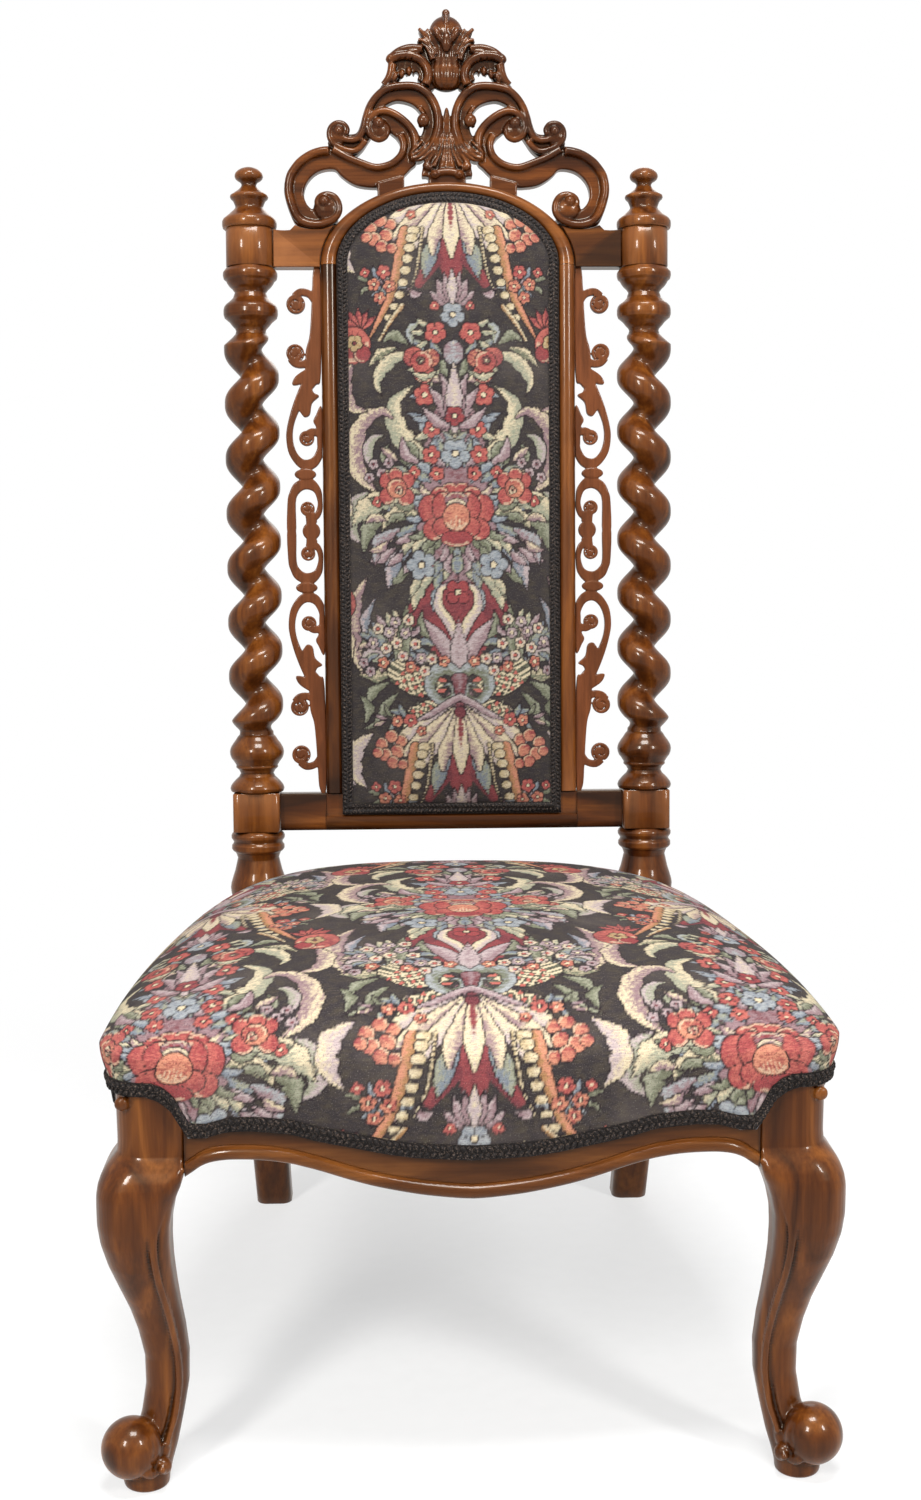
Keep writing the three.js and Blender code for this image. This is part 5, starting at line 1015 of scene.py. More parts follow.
def weave_design(across, along):
    """Dyes a cloth whose points lie across and along it, in millimetres, with the whole design."""
    loom = Loom(across, along)
    for path, widths, light, dark in (
        ([(0, 44), (0, 18), (0, -8)], [34, 20, 3], maroon, burgundy), ([(16, 26), (30, 4)], [16, 8], maroon, burgundy),
        ([(0, -262), (0, -300), (0, -340)], [60, 84, 30], maroon, burgundy),
        ([(34, -290), (52, -306)], [24, 8], maroon, burgundy),
        ([(0, -120), (0, -160), (0, -190)], [40, 64, 90], mauve, burgundy),
        ([(0, -236), (0, -262)], [56, 26], mauve, burgundy),
        ([(0, 94), (0, 78)], [26, 34], mauve, burgundy),
    ):
        loom.strap(path, widths, light, dark, veins=False, outlined=False)
    # Foliage behind the bouquets: leaves that stand out from a middle, the farthest ones first
    pick = random.Random(41)
    greens = (
        (cream, grey_green), (grey_green, sage), (lilac, mauve), (pale_blue, blue_grey), (cream, mauve),
        (grey_green, blue_grey)
    )
    for x, y, wide, tall, length, ring, step in (
        (0, -204, 86, 92, 27, 1.0, 15), (0, -200, 64, 74, 27, 1.0, 18), (0, -190, 44, 66, 24, 1.0, 24),
        (60, -322, 38, 34, 20, 1.0, 30), (60, -322, 22, 20, 18, 1.0, 40), (0, -66, 50, 30, 18, 1.0, 26),
        (46, -386, 22, 12, 16, 1.0, 50), (62, 4, 18, 16, 14, 1.0, 50),
    ):
        for angle in range(-90, 91 if x == 0 else 270, step):
            a = math.radians(angle + pick.uniform(-4, 4))
            far = ring * pick.uniform(0.86, 1.06)
            tip = (x + wide * far * math.cos(a), y + tall * far * math.sin(a))
            foot = (tip[0] - length * math.cos(a), tip[1] - length * math.sin(a))
            bend = pick.uniform(-0.22, 0.22) * length
            belly = ((tip[0] + foot[0]) / 2 - bend * math.sin(a), (tip[1] + foot[1]) / 2 + bend * math.cos(a))
            light, dark = pick.choice(greens)
            loom.strap([foot, belly, tip], [4, length * 0.46, length * 0.40, 1.5], light, dark, lobes=3)
    for path, widths, light, dark, lobes in (
        ([(11, 46), (19, 32), (25, 8)], [8, 17, 15, 3], grey_green, blue_grey, 3),
        ([(40, 0), (34, -6), (27, -4)], [3, 9, 2], lilac, mauve, 0),
        ([(30, -32), (38, -36), (38, -50)], [3, 12, 3], pale_blue, grey_green, 2),
        ([(42, -50), (54, -42), (64, -48)], [4, 13, 2], grey_green, sage, 3),
        ([(42, -60), (58, -64), (70, -82), (66, -96)], [7, 17, 12, 2], cream, grey_green, 4),
        ([(52, -54), (66, -58), (78, -70)], [4, 12, 2], cream, sage, 3),
        ([(30, -150), (44, -140), (54, -122), (54, -102), (38, -88)], [12, 22, 20, 13, 3], cream, grey_green, 5),
        ([(36, -156), (46, -148), (48, -134)], [8, 13, 3], lilac, mauve, 2),
        ([(43, -112), (31, -118), (28, -136)], [3, 10, 3], pale_blue, blue_grey, 2),
        (
            [(57, -116), (68, -110), (84, -120), (92, -142), (88, -166), (72, -184)], [5, 14, 18, 20, 16, 3], cream,
            mauve, 6
        ),
        ([(66, -132), (76, -136), (80, -150), (72, -164)], [3, 12, 11, 2], lilac, grey_green, 3),
        ([(60, -140), (66, -150), (62, -162)], [3, 9, 2], grey_green, sage, 2),
        ([(82, -184), (96, -196), (98, -214), (88, -230)], [5, 20, 18, 3], lilac, grey_green, 4),
        ([(46, -196), (62, -190), (80, -196), (96, -214)], [6, 20, 22, 3], cream, grey_green, 5),
        ([(64, -208), (80, -216), (86, -238)], [6, 18, 3], grey_green, sage, 3),
        ([(54, -218), (70, -228), (76, -250)], [6, 17, 3], pale_blue, mauve, 3),
        ([(44, -236), (58, -248), (64, -272)], [8, 18, 3], lilac, blue_grey, 4),
        ([(24, -262), (36, -272), (41, -292)], [7, 16, 3], cream, grey_green, 3),
        ([(34, -206), (48, -202), (62, -208), (68, -218)], [5, 18, 15, 2], cream, sage, 3),
        ([(30, -224), (42, -226), (50, -242)], [5, 14, 3], cream, grey_green, 3),
        ([(48, -336), (50, -312), (47, -286)], [5, 17, 3], grey_green, sage, 4),
        ([(62, -330), (76, -316), (92, -304)], [4, 16, 3], grey_green, blue_grey, 4),
        ([(62, -340), (80, -332), (97, -336)], [4, 16, 3], lilac, grey_green, 4),
        ([(60, -348), (76, -352), (92, -350)], [4, 14, 3], cream, sage, 3),
        ([(26, -318), (34, -308), (33, -292)], [3, 12, 3], grey_green, sage, 2),
        ([(66, -358), (80, -366), (86, -382)], [4, 13, 2], grey_green, sage, 3),
        ([(58, -368), (68, -378), (76, -394), (90, -400)], [4, 11, 10, 2], grey_green, sage, 4),
        ([(84, -262), (96, -286), (98, -318), (90, -348)], [4, 19, 20, 4], cream, mauve, 6),
        ([(76, -280), (86, -300), (84, -322)], [3, 12, 3], lilac, blue_grey, 3),
        ([(82, 64), (97, 50), (99, 30), (88, 14)], [5, 19, 18, 3], cream, lilac, 4),
        ([(92, -66), (100, -84), (95, -104), (80, -110)], [5, 17, 15, 3], cream, mauve, 4),
        ([(92, 100), (84, 88), (88, 74)], [3, 12, 3], grey_green, sage, 3),
    ):
        loom.strap(path, widths, light, dark, lobes=lobes, depth=0.26)
    for x, y, wide, tall, length, turns in (
        (0, -200, 84, 84, 20, (-76, -62, -50, -38, -24, -8, 8, 24, 40, 54)),
        (0, -200, 62, 64, 20, (-84, -70, -56, -42, -26, -10, 6, 20, 36)),
        (0, -206, 46, 50, 18, (-90, -66, -46, -20, 0, 20, 40, 62)),
        (0, -110, 44, 52, 18, (-50, -30, -8, 14, 36, 58, 76)),
        (60, -322, 34, 30, 15, (-100, -70, -40, -10, 20, 50, 80, 110, 140, 200, 230)),
        (64, 4, 24, 20, 13, (-80, -30, 20, 70, 130, 190, 240)),
        (0, -40, 42, 30, 14, (-30, 0, 30)), (56, -392, 26, 16, 12, (-60, -20, 20, 60)),
    ):
        for angle in turns:
            a = math.radians(angle)
            far = pick.uniform(0.90, 1.08)
            tip = (x + wide * far * math.cos(a), y + tall * far * math.sin(a))
            foot = (tip[0] - length * math.cos(a), tip[1] - length * math.sin(a))
            bend = pick.uniform(-0.25, 0.25) * length
            belly = ((tip[0] + foot[0]) / 2 - bend * math.sin(a), (tip[1] + foot[1]) / 2 + bend * math.cos(a))
            light, dark = pick.choice(greens)
            loom.strap([foot, belly, tip], [3, length * 0.50, length * 0.42, 1.5], light, dark, lobes=2, depth=0.24)
    # horns with their lattice, calyx and volutes
    loom.lattice([(18, -360), (36, -358), (54, -348)], [16, 28, 26])
    loom.lattice([(22, -378), (38, -386), (50, -400)], [14, 18, 10])
    for path, widths, light, dark in (
        (
            [(3, -354), (-1, -330), (8, -304), (18, -288), (16, -273), (8, -269), (4, -277)],
            [10, 10, 9, 11, 10, 7, 4], cream, lilac
        ),
        ([(1, -354), (10, -330), (22, -312), (33, -298)], [10, 15, 15, 2], lilac, mauve),
        ([(0, -358), (0, -330), (0, -298)], [9, 19, 2], mauve, lilac),
        (
            [(0, -352), (12, -344), (24, -350), (27, -364), (17, -375), (7, -370), (8, -360), (15, -361)],
            [10, 14, 14, 12, 10, 8, 6, 3], pale_blue, sage
        ),
        ([(0, -394), (0, -374), (2, -354)], [10, 9, 12], mauve, burgundy),
        ([(8, 90), (36, 74), (58, 58), (70, 62)], [4, 12, 14, 3], cream, lilac),
        ([(6, 88), (28, 66), (46, 52), (52, 45)], [4, 12, 16, 6], cream, mauve),
        ([(5, 87), (18, 62), (30, 46), (34, 36)], [4, 12, 16, 6], cream, lilac),
        ([(3, 86), (9, 60), (16, 44), (17, 31)], [4, 12, 16, 6], cream, mauve),
        ([(0, 88), (0, 62), (0, 44), (0, 28)], [5, 13, 17, 5], cream, lilac),
        ([(0, 98), (12, 92), (28, 82), (46, 74)], [8, 8, 7, 1], lilac, mauve),
    ):
        loom.strap(path, widths, light, dark, veins=False)
    loom.strap([(0, 80), (0, 52)], [4, 6, 1], maroon, burgundy, veins=False, outlined=False)
    loom.bloom(0, 84, 6, 0, 0, burgundy, burgundy, burgundy)
    # scalloped garland with its rod, and the berries beside it
    garland = [(35, 52), (39, 36), (43, 16), (49, -6), (59, -26), (69, -44)]
    loom.strap([(x + 7, y) for x, y in garland], [11, 11, 10, 9, 7, 4], salmon, ochre, veins=False)
    for k, (x, y) in enumerate(rounded_line(garland, 2, closed=False)[:-2]):
        loom.bloom(float(x) - 1, float(y), 6.2 - 0.2 * k, 0, 3.1, cream, sand, cream, squash=1.25)
    loom.strap([(26, 54), (29, 32), (33, 12), (40, -6)], [4.6, 4.6, 4.0, 2.6], cream, sand, veins=False)
    loom.strap([(46, -16), (57, -30), (67, -46)], [6.0, 6.0, 4.0], cream, ochre, veins=False)
    for x, y, r in (
        (55, 58, 6.4), (64, 62, 6.6), (73, 55, 6.4), (59, 48, 7.0), (70, 45, 7.0), (63, 38, 6.4), (77, 47, 5.6),
        (54, 36, 5.4)
    ):
        loom.bloom(x, y, r, 0, 0.8, salmon, rose, rose)
    for x, y, width in ((20, -3, 11), (14, 8, 12), (7, 13, 11)):
        loom.strap([(2, -16), (x * 0.6, (y - 15) * 0.45 - 3), (x, y)], [3, width, 3], lilac, mauve)
    loom.strap([(0, -16), (0, 0), (0, 16)], [4, 12, 3], cream, lilac)
    for x, y, r, petals, turn in (
        (62, 15, 8.6, 5, 0.2), (71, 4, 8.0, 5, 0.8), (57, 2, 8.0, 5, 0.1), (66, -8, 7.6, 5, 0.5),
        (16, -40, 13.0, 5, 0.4), (79, 15, 6.4, 4, 0.2),
        (27, -96, 13.0, 5, 0.9), (21, -127, 10.5, 5, 0.2), (22, -150, 11.0, 5, 0.7), (17, -167, 9.0, 5, 0.1),
        (38, -166, 8.0, 4, 0.1),
        (46, -392, 8.6, 5, 0.2), (58, -393, 7.4, 5, 0.6), (36, -402, 6.6, 5, 0.1), (72, -192, 7.0, 4, 0.3),
        (16, -16, 6.2, 3, 0.5),
    ):
        loom.bloom(x, y, 0.84 * r, petals, turn, coral if petals < 5 or r > 8 else salmon, rose, cream)
    loom.bloom(36, -62, 10.0, 0, -0.4, coral, maroon, rose)
    loom.bloom(27, -76, 10.0, 0, -1.6, coral, maroon, rose)
    loom.bloom(21, -63, 9.0, 0, 2.6, salmon, maroon, rose)
    loom.bloom(29, -66, 10.5, 0, 0.6, coral, rose, rose)
    loom.bloom(30, -65, 4.6, 5, 0, burgundy, sage, cream)
    loom.strap([(17, -76), (26, -80), (38, -76)], [4, 9, 3], cream, grey_green, lobes=3)
    loom.bloom(0, -58, 10.0, 0, 0.6, pale_blue, mauve, lilac, squash=0.85)
    loom.bloom(0, -24, 12.0, 5, 0.3, pale_blue, blue_grey, cream)
    for x, y, width in ((28, -108, 13), (22, -90, 15), (12, -78, 15)):
        loom.strap([(2, -126), (x * 0.6, y - 12), (x, y)], [4, width, 4], lilac, mauve, lobes=2)
    loom.strap([(0, -128), (0, -98), (0, -68)], [7, 18, 4], cream, lilac)
    loom.bloom(0, -115, 10.0, 5, 1.57, rose, burgundy, cream)
    loom.bloom(0, -149, 14.5, 5, 0.3, pale_blue, blue_grey, cream)
    for x, y in ((68, -166), (61, -157), (75, -158), (79, -170), (88, 130), (82, 122)):
        loom.bloom(x, y, 5.6, 5, 0.2, lilac, mauve, burgundy)
    for x, y, r, turn in (
        (62, -173, 8.5, 0.8), (63, -187, 8.0, -0.8), (45, -173, 8.0, 2.3), (46, -188, 8.5, -2.3), (55, -168, 7.0, 1.6)
    ):
        loom.bloom(x, y, r, 0, turn, coral, rose, rose)
    loom.bloom(54, -180, 9.5, 0, 2.2, salmon, rose, rose)
    loom.bloom(52, -182, 4.4, 3, 0.2, cream, rose, burgundy, notch=0.25)
    loom.bloom(33, -250, 14.5, 5, 1.2, pale_blue, blue_grey, cream, notch=0.42)
    peony(loom, -206.0, 28.0)
    loom.bloom(0, -275, 13.0, 4, 0.78, rose, maroon, cream, notch=0.5)
    for x, y, kind in (
        (40, -322, 0), (49, -312, 1), (57, -321, 0), (46, -300, 0), (64, -311, 1), (35, -335, 1), (52, -333, 0),
        (67, -326, 0),
        (58, -302, 1), (74, -308, 0), (25, -336, 0), (14, -338, 2), (32, -347, 0), (45, -343, 2), (79, -321, 1),
        (70, -339, 2),
    ):
        petal, shade, heart = ((cream, lilac, coral), (lilac, mauve, cream), (salmon, rose, cream))[kind]
        loom.bloom(x, y, 6.2, 5, 0.3 * kind, petal, shade, heart, core=0.3)
    for angle in (-55, -28, 0, 28, 56):
        a = math.radians(angle)
        ray = [(86 + far * math.sin(a), -36 + far * math.cos(a)) for far in (0, 9, 21)]
        loom.strap(ray, [5, 9, 1], coral, maroon)
    loom.bloom(92, -50, 17.5, 0, -0.9, coral, maroon, rose)
    loom.bloom(83, -58, 8.5, 0, -2.4, rose, maroon, rose)
    loom.bloom(90, -48, 8.5, 5, 0.2, sand, ochre, burgundy)
    return loom.dye


# Weave: the rise and fall of the warp and the weft, told how many threads stand in a metre each way, and the
# uneven thickness of the thread
weave, weave_in, weave_out = new_group(
    "Weave",
    [("Place", VECTOR, None), ("Warp way", VECTOR, None), ("Weft way", VECTOR, None), ("Unevenness", NUMBER, 220.0)],
    [("Warp", NUMBER), ("Weft", NUMBER), ("Raised", NUMBER), ("Crossings", NUMBER), ("Slub", NUMBER)],
)
both = []
for thread in ("Warp", "Weft"):
    along = {0: weave_in["Place"], 1: weave_in[f"{thread} way"]}
    run = wire(weave, "ShaderNodeVectorMath", along, operation="DOT_PRODUCT").outputs["Value"]
    both.append(calc(weave, "PINGPONG", run, 0.5))
    weave.links.new(both[-1], weave_out[thread])
weave.links.new(calc(weave, "MAXIMUM", *both), weave_out["Raised"])
weave.links.new(calc(weave, "MULTIPLY", *both), weave_out["Crossings"])
weave.links.new(noise(weave, weave_in["Place"], weave_in["Unevenness"], 4.0), weave_out["Slub"])

# Worn and shaded yarn: dyed worsted that is slubbed, specked with pale and dark wool, shaded between its ribs, faded in
# patches, and multiplied by a painted shade
worn_shaded_yarn, yarn_in, yarn_out = new_group(
    "Worn yarn",
    [("Place", VECTOR, None), ("Dye", COLOUR, None), ("Rib", NUMBER, 0.0), ("Fading", COLOUR, None)],
    [("Colour", COLOUR), ("Slub", NUMBER)],
)
slub = noise(worn_shaded_yarn, drawn_out(worn_shaded_yarn, yarn_in["Place"], (300, 950, 1)), 1.0, 3.0)
speck = noise(worn_shaded_yarn, drawn_out(worn_shaded_yarn, yarn_in["Place"], (1250, 950, 1)), 1.0, 1.0)
aged = noise(worn_shaded_yarn, yarn_in["Place"], 14.0, 4.0)
shade = blended(worn_shaded_yarn, 1.0, yarn_in["Dye"], (0.66, 0.60, 0.64), "MULTIPLY")
shade = blended(worn_shaded_yarn, past(worn_shaded_yarn, 0.58, slub, 2.6), yarn_in["Dye"], shade)
for amount, tone in (
    (past(worn_shaded_yarn, speck, 0.62, 2.4), (0.34, 0.30, 0.26)),
    (past(worn_shaded_yarn, 0.43, speck, 3.4), (0.024, 0.018, 0.020)),
    (past(worn_shaded_yarn, 0.5, yarn_in["Rib"], 0.45, clamp=False), (0.010, 0.008, 0.009)),
    (past(worn_shaded_yarn, aged, 0.52, 0.5), (0.30, 0.25, 0.23)),
):
    shade = blended(worn_shaded_yarn, amount, shade, tone)
# Painted shade: the whole cloth is multiplied by a shade given for each cloth
worn_shaded_yarn.links.new(blended(worn_shaded_yarn, 1.0, shade, yarn_in["Fading"], "MULTIPLY"), yarn_out["Colour"])
worn_shaded_yarn.links.new(slub, yarn_out["Slub"])


def tapestry(name, cloth_shade):
    """The dyed cloth's finish: worsted ribs under a yarn that has faded with wear, darkened by a painted shade."""
    material, tree, shader = finish(name)
    place = wire(tree, "ShaderNodeAttribute", attribute_name="cloth_place").outputs["Vector"]
    dye = wire(tree, "ShaderNodeAttribute", attribute_name="cloth_dye").outputs["Color"]
    woven = use_group(tree, weave, {"Place": place, "Warp way": (1250, 0, 0), "Weft way": (0, 950, 0)})
    yarn = use_group(tree, worn_shaded_yarn, {"Place": place, "Dye": dye, "Rib": woven["Weft"], "Fading": (*cloth_shade, 1.0)})
    tree.links.new(yarn["Colour"], shader.inputs["Base Color"])
    tree.links.new(calc(tree, "ADD", 0.78, calc(tree, "MULTIPLY", yarn["Slub"], 0.2)), shader.inputs["Roughness"])
    shader.inputs["Specular IOR Level"].default_value = 0.10
    roughened(tree, shader, calc(tree, "ADD", woven["Weft"], calc(tree, "MULTIPLY", woven["Warp"], 0.45)), 0.45, 0.0005)
    return material


def dye_cloth(piece, across, along):
    """Writes the cloth's own measures and its dye, from millimetres across and along it, on the piece's points."""
    mesh = piece.data
    laid = np.stack([across * MM, along * MM, np.zeros(len(across))], 1)
    mesh.attributes.new("cloth_place", "FLOAT_VECTOR", "POINT").data.foreach_set("vector", laid.reshape(-1))
    dye = np.ones((len(across), 4))
    dye[:, :3] = weave_design(across, along)
    mesh.attributes.new("cloth_dye", "FLOAT_COLOR", "POINT").data.foreach_set("color", dye.reshape(-1))


# Upholstered back: hair on hessian under the tapestry, which is drawn over it, tacked in the rebate
# and trimmed; it domes a little towards its middle, and its pattern hangs slightly askew.
pad_half, pad_rise, pad_bottom = 91.0, 54.0, 411.0
pad_face = -8.6
pad_dome = 14.5


def grid_faces(rows, columns, start=0, flipped=False):
    faces = []
    for r in range(rows - 1):
        for a in range(start + r * columns, start + (r + 1) * columns - 1):
            face = (a, a + 1, a + columns + 1, a + columns)
            faces.append((face[0], *face[:0:-1]) if flipped else face)
    return faces


def grid_rim(rows, columns):
    """The numbers of a grid's outermost points, once round it."""
    rim = list(range(columns)) + [r * columns + columns - 1 for r in range(1, rows)]
    rim += [(rows - 1) * columns + k for k in range(columns - 2, -1, -1)]
    return rim + [r * columns for r in range(rows - 2, 0, -1)]


rows_high, rows_wide = ((500, 168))
edge_half, edge_rise = pad_half + 1.4, pad_rise + 1.4
lowest, highest = pad_bottom - 1.4, spring_line + edge_rise
heights = np.linspace(0, 1, rows_high)
heights = lowest + (highest - lowest) * (heights - 0.11 * np.sin(2 * math.pi * heights) / (2 * math.pi))
over = np.clip((heights - spring_line) / edge_rise, 0, 1)
halves = edge_half * np.sqrt(np.maximum(0.0006, 1 - over ** 2))
spread = np.linspace(-1, 1, rows_wide)
spread = spread + 0.13 * np.sin(spread * math.pi)
back_x = halves[:, None] * spread[None, :]
back_z = np.repeat(heights[:, None], rows_wide, 1)
to_side = np.clip(1 - np.abs(back_x) / (edge_half + 0.1), 0, 1)
to_low = np.clip((back_z - lowest) / 92.0, 0, 1)
into_arch = np.clip(back_z - spring_line, 0, None) / (edge_rise + 0.1)
to_rim = np.clip(1 - np.hypot(back_x / (edge_half + 0.1), into_arch), 0, 1)
swell_side = np.sin(to_side * math.pi / 2) ** 0.62 * np.sin(to_low * math.pi / 2) ** 0.55
swell_rim = np.sin(to_rim * math.pi / 2) ** 0.62
to_arch = np.clip((back_z - spring_line) / 20.0, 0, 1)
back_y = pad_face - 3.2 - pad_dome * ((1 - to_arch) * swell_side + to_arch * swell_rim)
back_points = np.stack([back_x, back_y, back_z], 2).reshape(-1, 3)
back_faces = grid_faces(rows_high, rows_wide)
rim_index = grid_rim(rows_high, rows_wide)
front_count = len(back_points)
tucked = back_points[rim_index] * (1, 0, 1) + (0, pad_face + 1.0, 0)
for k in range(len(rim_index)):
    n = (k + 1) % len(rim_index)
    back_faces.append((rim_index[n], rim_index[k], front_count + k, front_count + n))
back_faces.append(tuple(range(front_count, front_count + len(rim_index))))
back_points = np.concatenate([back_points, tucked])
back_cover = mesh_piece("upholstered_back", placed(raked(back_points)), back_faces, crease=60)
askew = 9.0 - 0.0125 * (back_points[:, 2] - pad_bottom)
dye_cloth(back_cover, back_points[:, 0] - askew, back_points[:, 2] - pad_bottom)
# Painted shade: the back's cloth is darkened much more than the seat's, as less light falls on its upright face
back_cover.data.materials.append(tapestry("Tapestry of the back", (0.66, 0.66, 0.63)))
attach(back_cover, "root")
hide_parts("back_cover", "back_stuffing", "back_hessian")

# Gimps: a black braid of looped chenille, glued over the tacks along every edge of the upholstery. Its
# loops stand up as small lumps; pale brown specks, partly lint and partly painted highlights on the loops, and wear
# have paled it.
braid_black, tree, shader = finish("Black gimp")
place = own_place(tree)
lint_and_glints = noise(tree, place, 900.0, 4.0)
# Painted highlight: the palest brown specks stand in for light catching the loops, mixed with real lint
shade = ramp(
    tree, lint_and_glints, [(0.42, (0.002, 0.0015, 0.0015)), (0.56, (0.007, 0.005, 0.005)), (0.66, (0.085, 0.060, 0.045))]
)
faded = calc(tree, "MULTIPLY", noise(tree, place, 45.0, 3.0), 0.25)
tree.links.new(blended(tree, faded, shade, (0.015, 0.010, 0.008)), shader.inputs["Base Color"])
shader.inputs["Roughness"].default_value = 0.70
shader.inputs["Specular IOR Level"].default_value = 0.20
roughened(tree, shader, lint_and_glints, 0.6, 0.0005)


def gimp_mesh(inner, outer, out_way, closed, thickness=1.5, loop=3.8):
    """Tape between two edges with two rows of plaited loops on it."""
    inner, outer, out_way = (np.array(a, float) for a in (inner, outer, out_way))
    tape = []
    for low, high, out in zip(inner, outer, out_way):
        mid = (low + high) / 2
        thick = out * thickness
        tape.append([low, low + thick * 0.6, mid + thick * 0.9, high + thick * 0.6, high, mid])
    parts = [skin(tape, looped=closed)]
    line = (inner + outer) / 2
    if closed:
        line = np.concatenate([line, line[:1]])
        inner, outer, out_way = (np.concatenate([a, a[:1]]) for a in (inner, outer, out_way))
    run = np.concatenate([[0], np.cumsum(np.linalg.norm(np.diff(line, axis=0), axis=1))])
    count = max(2, int(run[-1] / loop))
    around, rows = ((8, 5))
    for k in range(count):
        for row, share in ((0, 0.27), (1, 0.73)):
            at_run = run[-1] * (k + 0.25 + 0.5 * row) / count
            low, high, out = (
                np.array([np.interp(at_run, run, a[:, axis]) for axis in range(3)]) for a in (inner, outer, out_way)
            )
            ahead = np.array([np.interp(min(at_run + 2, run[-1]), run, line[:, axis]) for axis in range(3)])
            behind = np.array([np.interp(max(at_run - 2, 0), run, line[:, axis]) for axis in range(3)])
            along_way = (ahead - behind) / max(np.linalg.norm(ahead - behind), 1e-9)
            up_way = (high - low) / max(np.linalg.norm(high - low), 1e-9)
            out = out / max(np.linalg.norm(out), 1e-9)
            tilt = 0.75 if row == 0 else -0.75
            major = along_way * math.cos(tilt) + up_way * math.sin(tilt)
            minor = np.cross(out, major)
            centre = low + (high - low) * share + out * (thickness * 0.9)
            width = np.linalg.norm(high - low)
            lump = []
            for r in range(rows + 1):
                rise = math.pi * (r / rows - 0.5) * 0.98
                turn = np.linspace(0, 2 * math.pi, around, endpoint=False)
                lump.append(
                    centre + major * (loop * 0.62 * math.sin(rise))
                    + np.outer(np.cos(turn), minor) * (width * 0.15 * math.cos(rise))
                    + np.outer(np.sin(turn), out) * (1.3 * math.cos(rise))
                )
            parts.append(skin(lump))
    return together(parts)


def arch_line(half, rise, bottom, y, step=5.0):
    points = [(x, y, bottom) for x in np.arange(-half, half, step)]
    points += [(half, y, z) for z in np.arange(bottom, spring_line, step)]
    points += [(half * math.cos(a), y, spring_line + rise * math.sin(a)) for a in np.linspace(0, math.pi, 70)]
    points += [(-half, y, z) for z in np.arange(spring_line - step, bottom, -step)]
    return np.array(points)


def inner_edge(line, half, rise, bottom, inner_half, inner_rise, width, y):
    """The inner edge of a braid laid along an arch line."""
    inner = []
    for x, _, z in line:
        if z <= bottom + 0.1:
            inner.append((x * inner_half / (inner_half + width), y, bottom + width))
        elif z <= spring_line:
            inner.append((math.copysign(inner_half, x), y, max(z, bottom + width)))
        else:
            angle = math.atan2((z - spring_line) / rise, x / half)
            inner.append((inner_half * math.cos(angle), y, spring_line + inner_rise * math.sin(angle)))
    return inner


gimp_width = 10.0
gimp_bottom = 400.2
braid_line = (gimp_half - 0.2, gimp_rise - 0.2, gimp_bottom)
gimp_outer = arch_line(*braid_line, -10.4)
gimp_inner = inner_edge(gimp_outer, *braid_line, gimp_half - gimp_width, gimp_rise - gimp_width, gimp_width, -12.4)
facing = np.tile([0, -1.0, 0], (len(gimp_outer), 1))
points, faces = gimp_mesh(gimp_outer, gimp_inner, facing, True)
back_gimp = mesh_piece("gimp_of_back", placed(raked(points)), faces, crease=80)
back_gimp.data.materials.append(braid_black)
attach(back_gimp, "root")
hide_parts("back_gimp")

# Outside back: thin black linen strained over the open back of the frame and tacked to the stiles, the
# arch and the rail, with a narrow gimp glued round it.
linen_black, tree, shader = finish("Black linen")
place = own_place(tree)
woven = use_group(tree, weave, {
    "Place": place, "Warp way": (1500, 0, 0), "Weft way": (0, 0, 1500), "Unevenness": 160.0,
})
shade = ramp(tree, woven["Slub"], [
    (0.3, (0.014, 0.012, 0.013)), (0.6, (0.026, 0.023, 0.025)), (0.85, (0.05, 0.044, 0.045)),
])
tree.links.new(shade, shader.inputs["Base Color"])
shader.inputs["Roughness"].default_value = 0.92
shader.inputs["Sheen Weight"].default_value = 0.2
roughened(tree, shader, woven["Crossings"], 0.5, 0.0004)
outer_half, outer_rise, outer_bottom = 105.6, 66.6, 396.4
outer_rows, outer_columns = 60, 24
outer_points = []
for height in np.linspace(outer_bottom, spring_line + outer_rise, outer_rows):
    over = max(0.0, height - spring_line) / (outer_rise + 0.2)
    half = outer_half * math.sqrt(max(0.0004, 1 - over ** 2))
    for s in np.linspace(-1, 1, outer_columns):
        hollow = 0.5 * math.cos(s * math.pi / 2) * math.sin(math.pi * (height - 396) / 576)
        outer_points.append((half * s, 9.9 - hollow, height))
outer_faces = grid_faces(outer_rows, outer_columns, flipped=True)
outer_cover = mesh_piece("outside_back", placed(raked(outer_points)), outer_faces)
thick = outer_cover.modifiers.new("cloth", "SOLIDIFY")
thick.thickness = 0.0009
outer_cover.data.materials.append(linen_black)
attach(outer_cover, "root")
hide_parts("back_outer_cover")
rear_gimp_width = 8.0
rear_line = (outer_half, outer_rise, outer_bottom)
rear_outer = arch_line(*rear_line, 10.2)
rear_inner = inner_edge(
    rear_outer, *rear_line, outer_half - rear_gimp_width, outer_rise - rear_gimp_width, rear_gimp_width, 10.2
)
facing = np.tile([0, 1.0, 0], (len(rear_outer), 1))
points, faces = gimp_mesh(rear_outer, rear_inner, facing, True, 1.0, 4.0)
outer_gimp = mesh_piece("outside_gimp", placed(raked(points)), faces, crease=80)
outer_gimp.data.materials.append(braid_black)
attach(outer_gimp, "root")
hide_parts("back_outer_gimp")

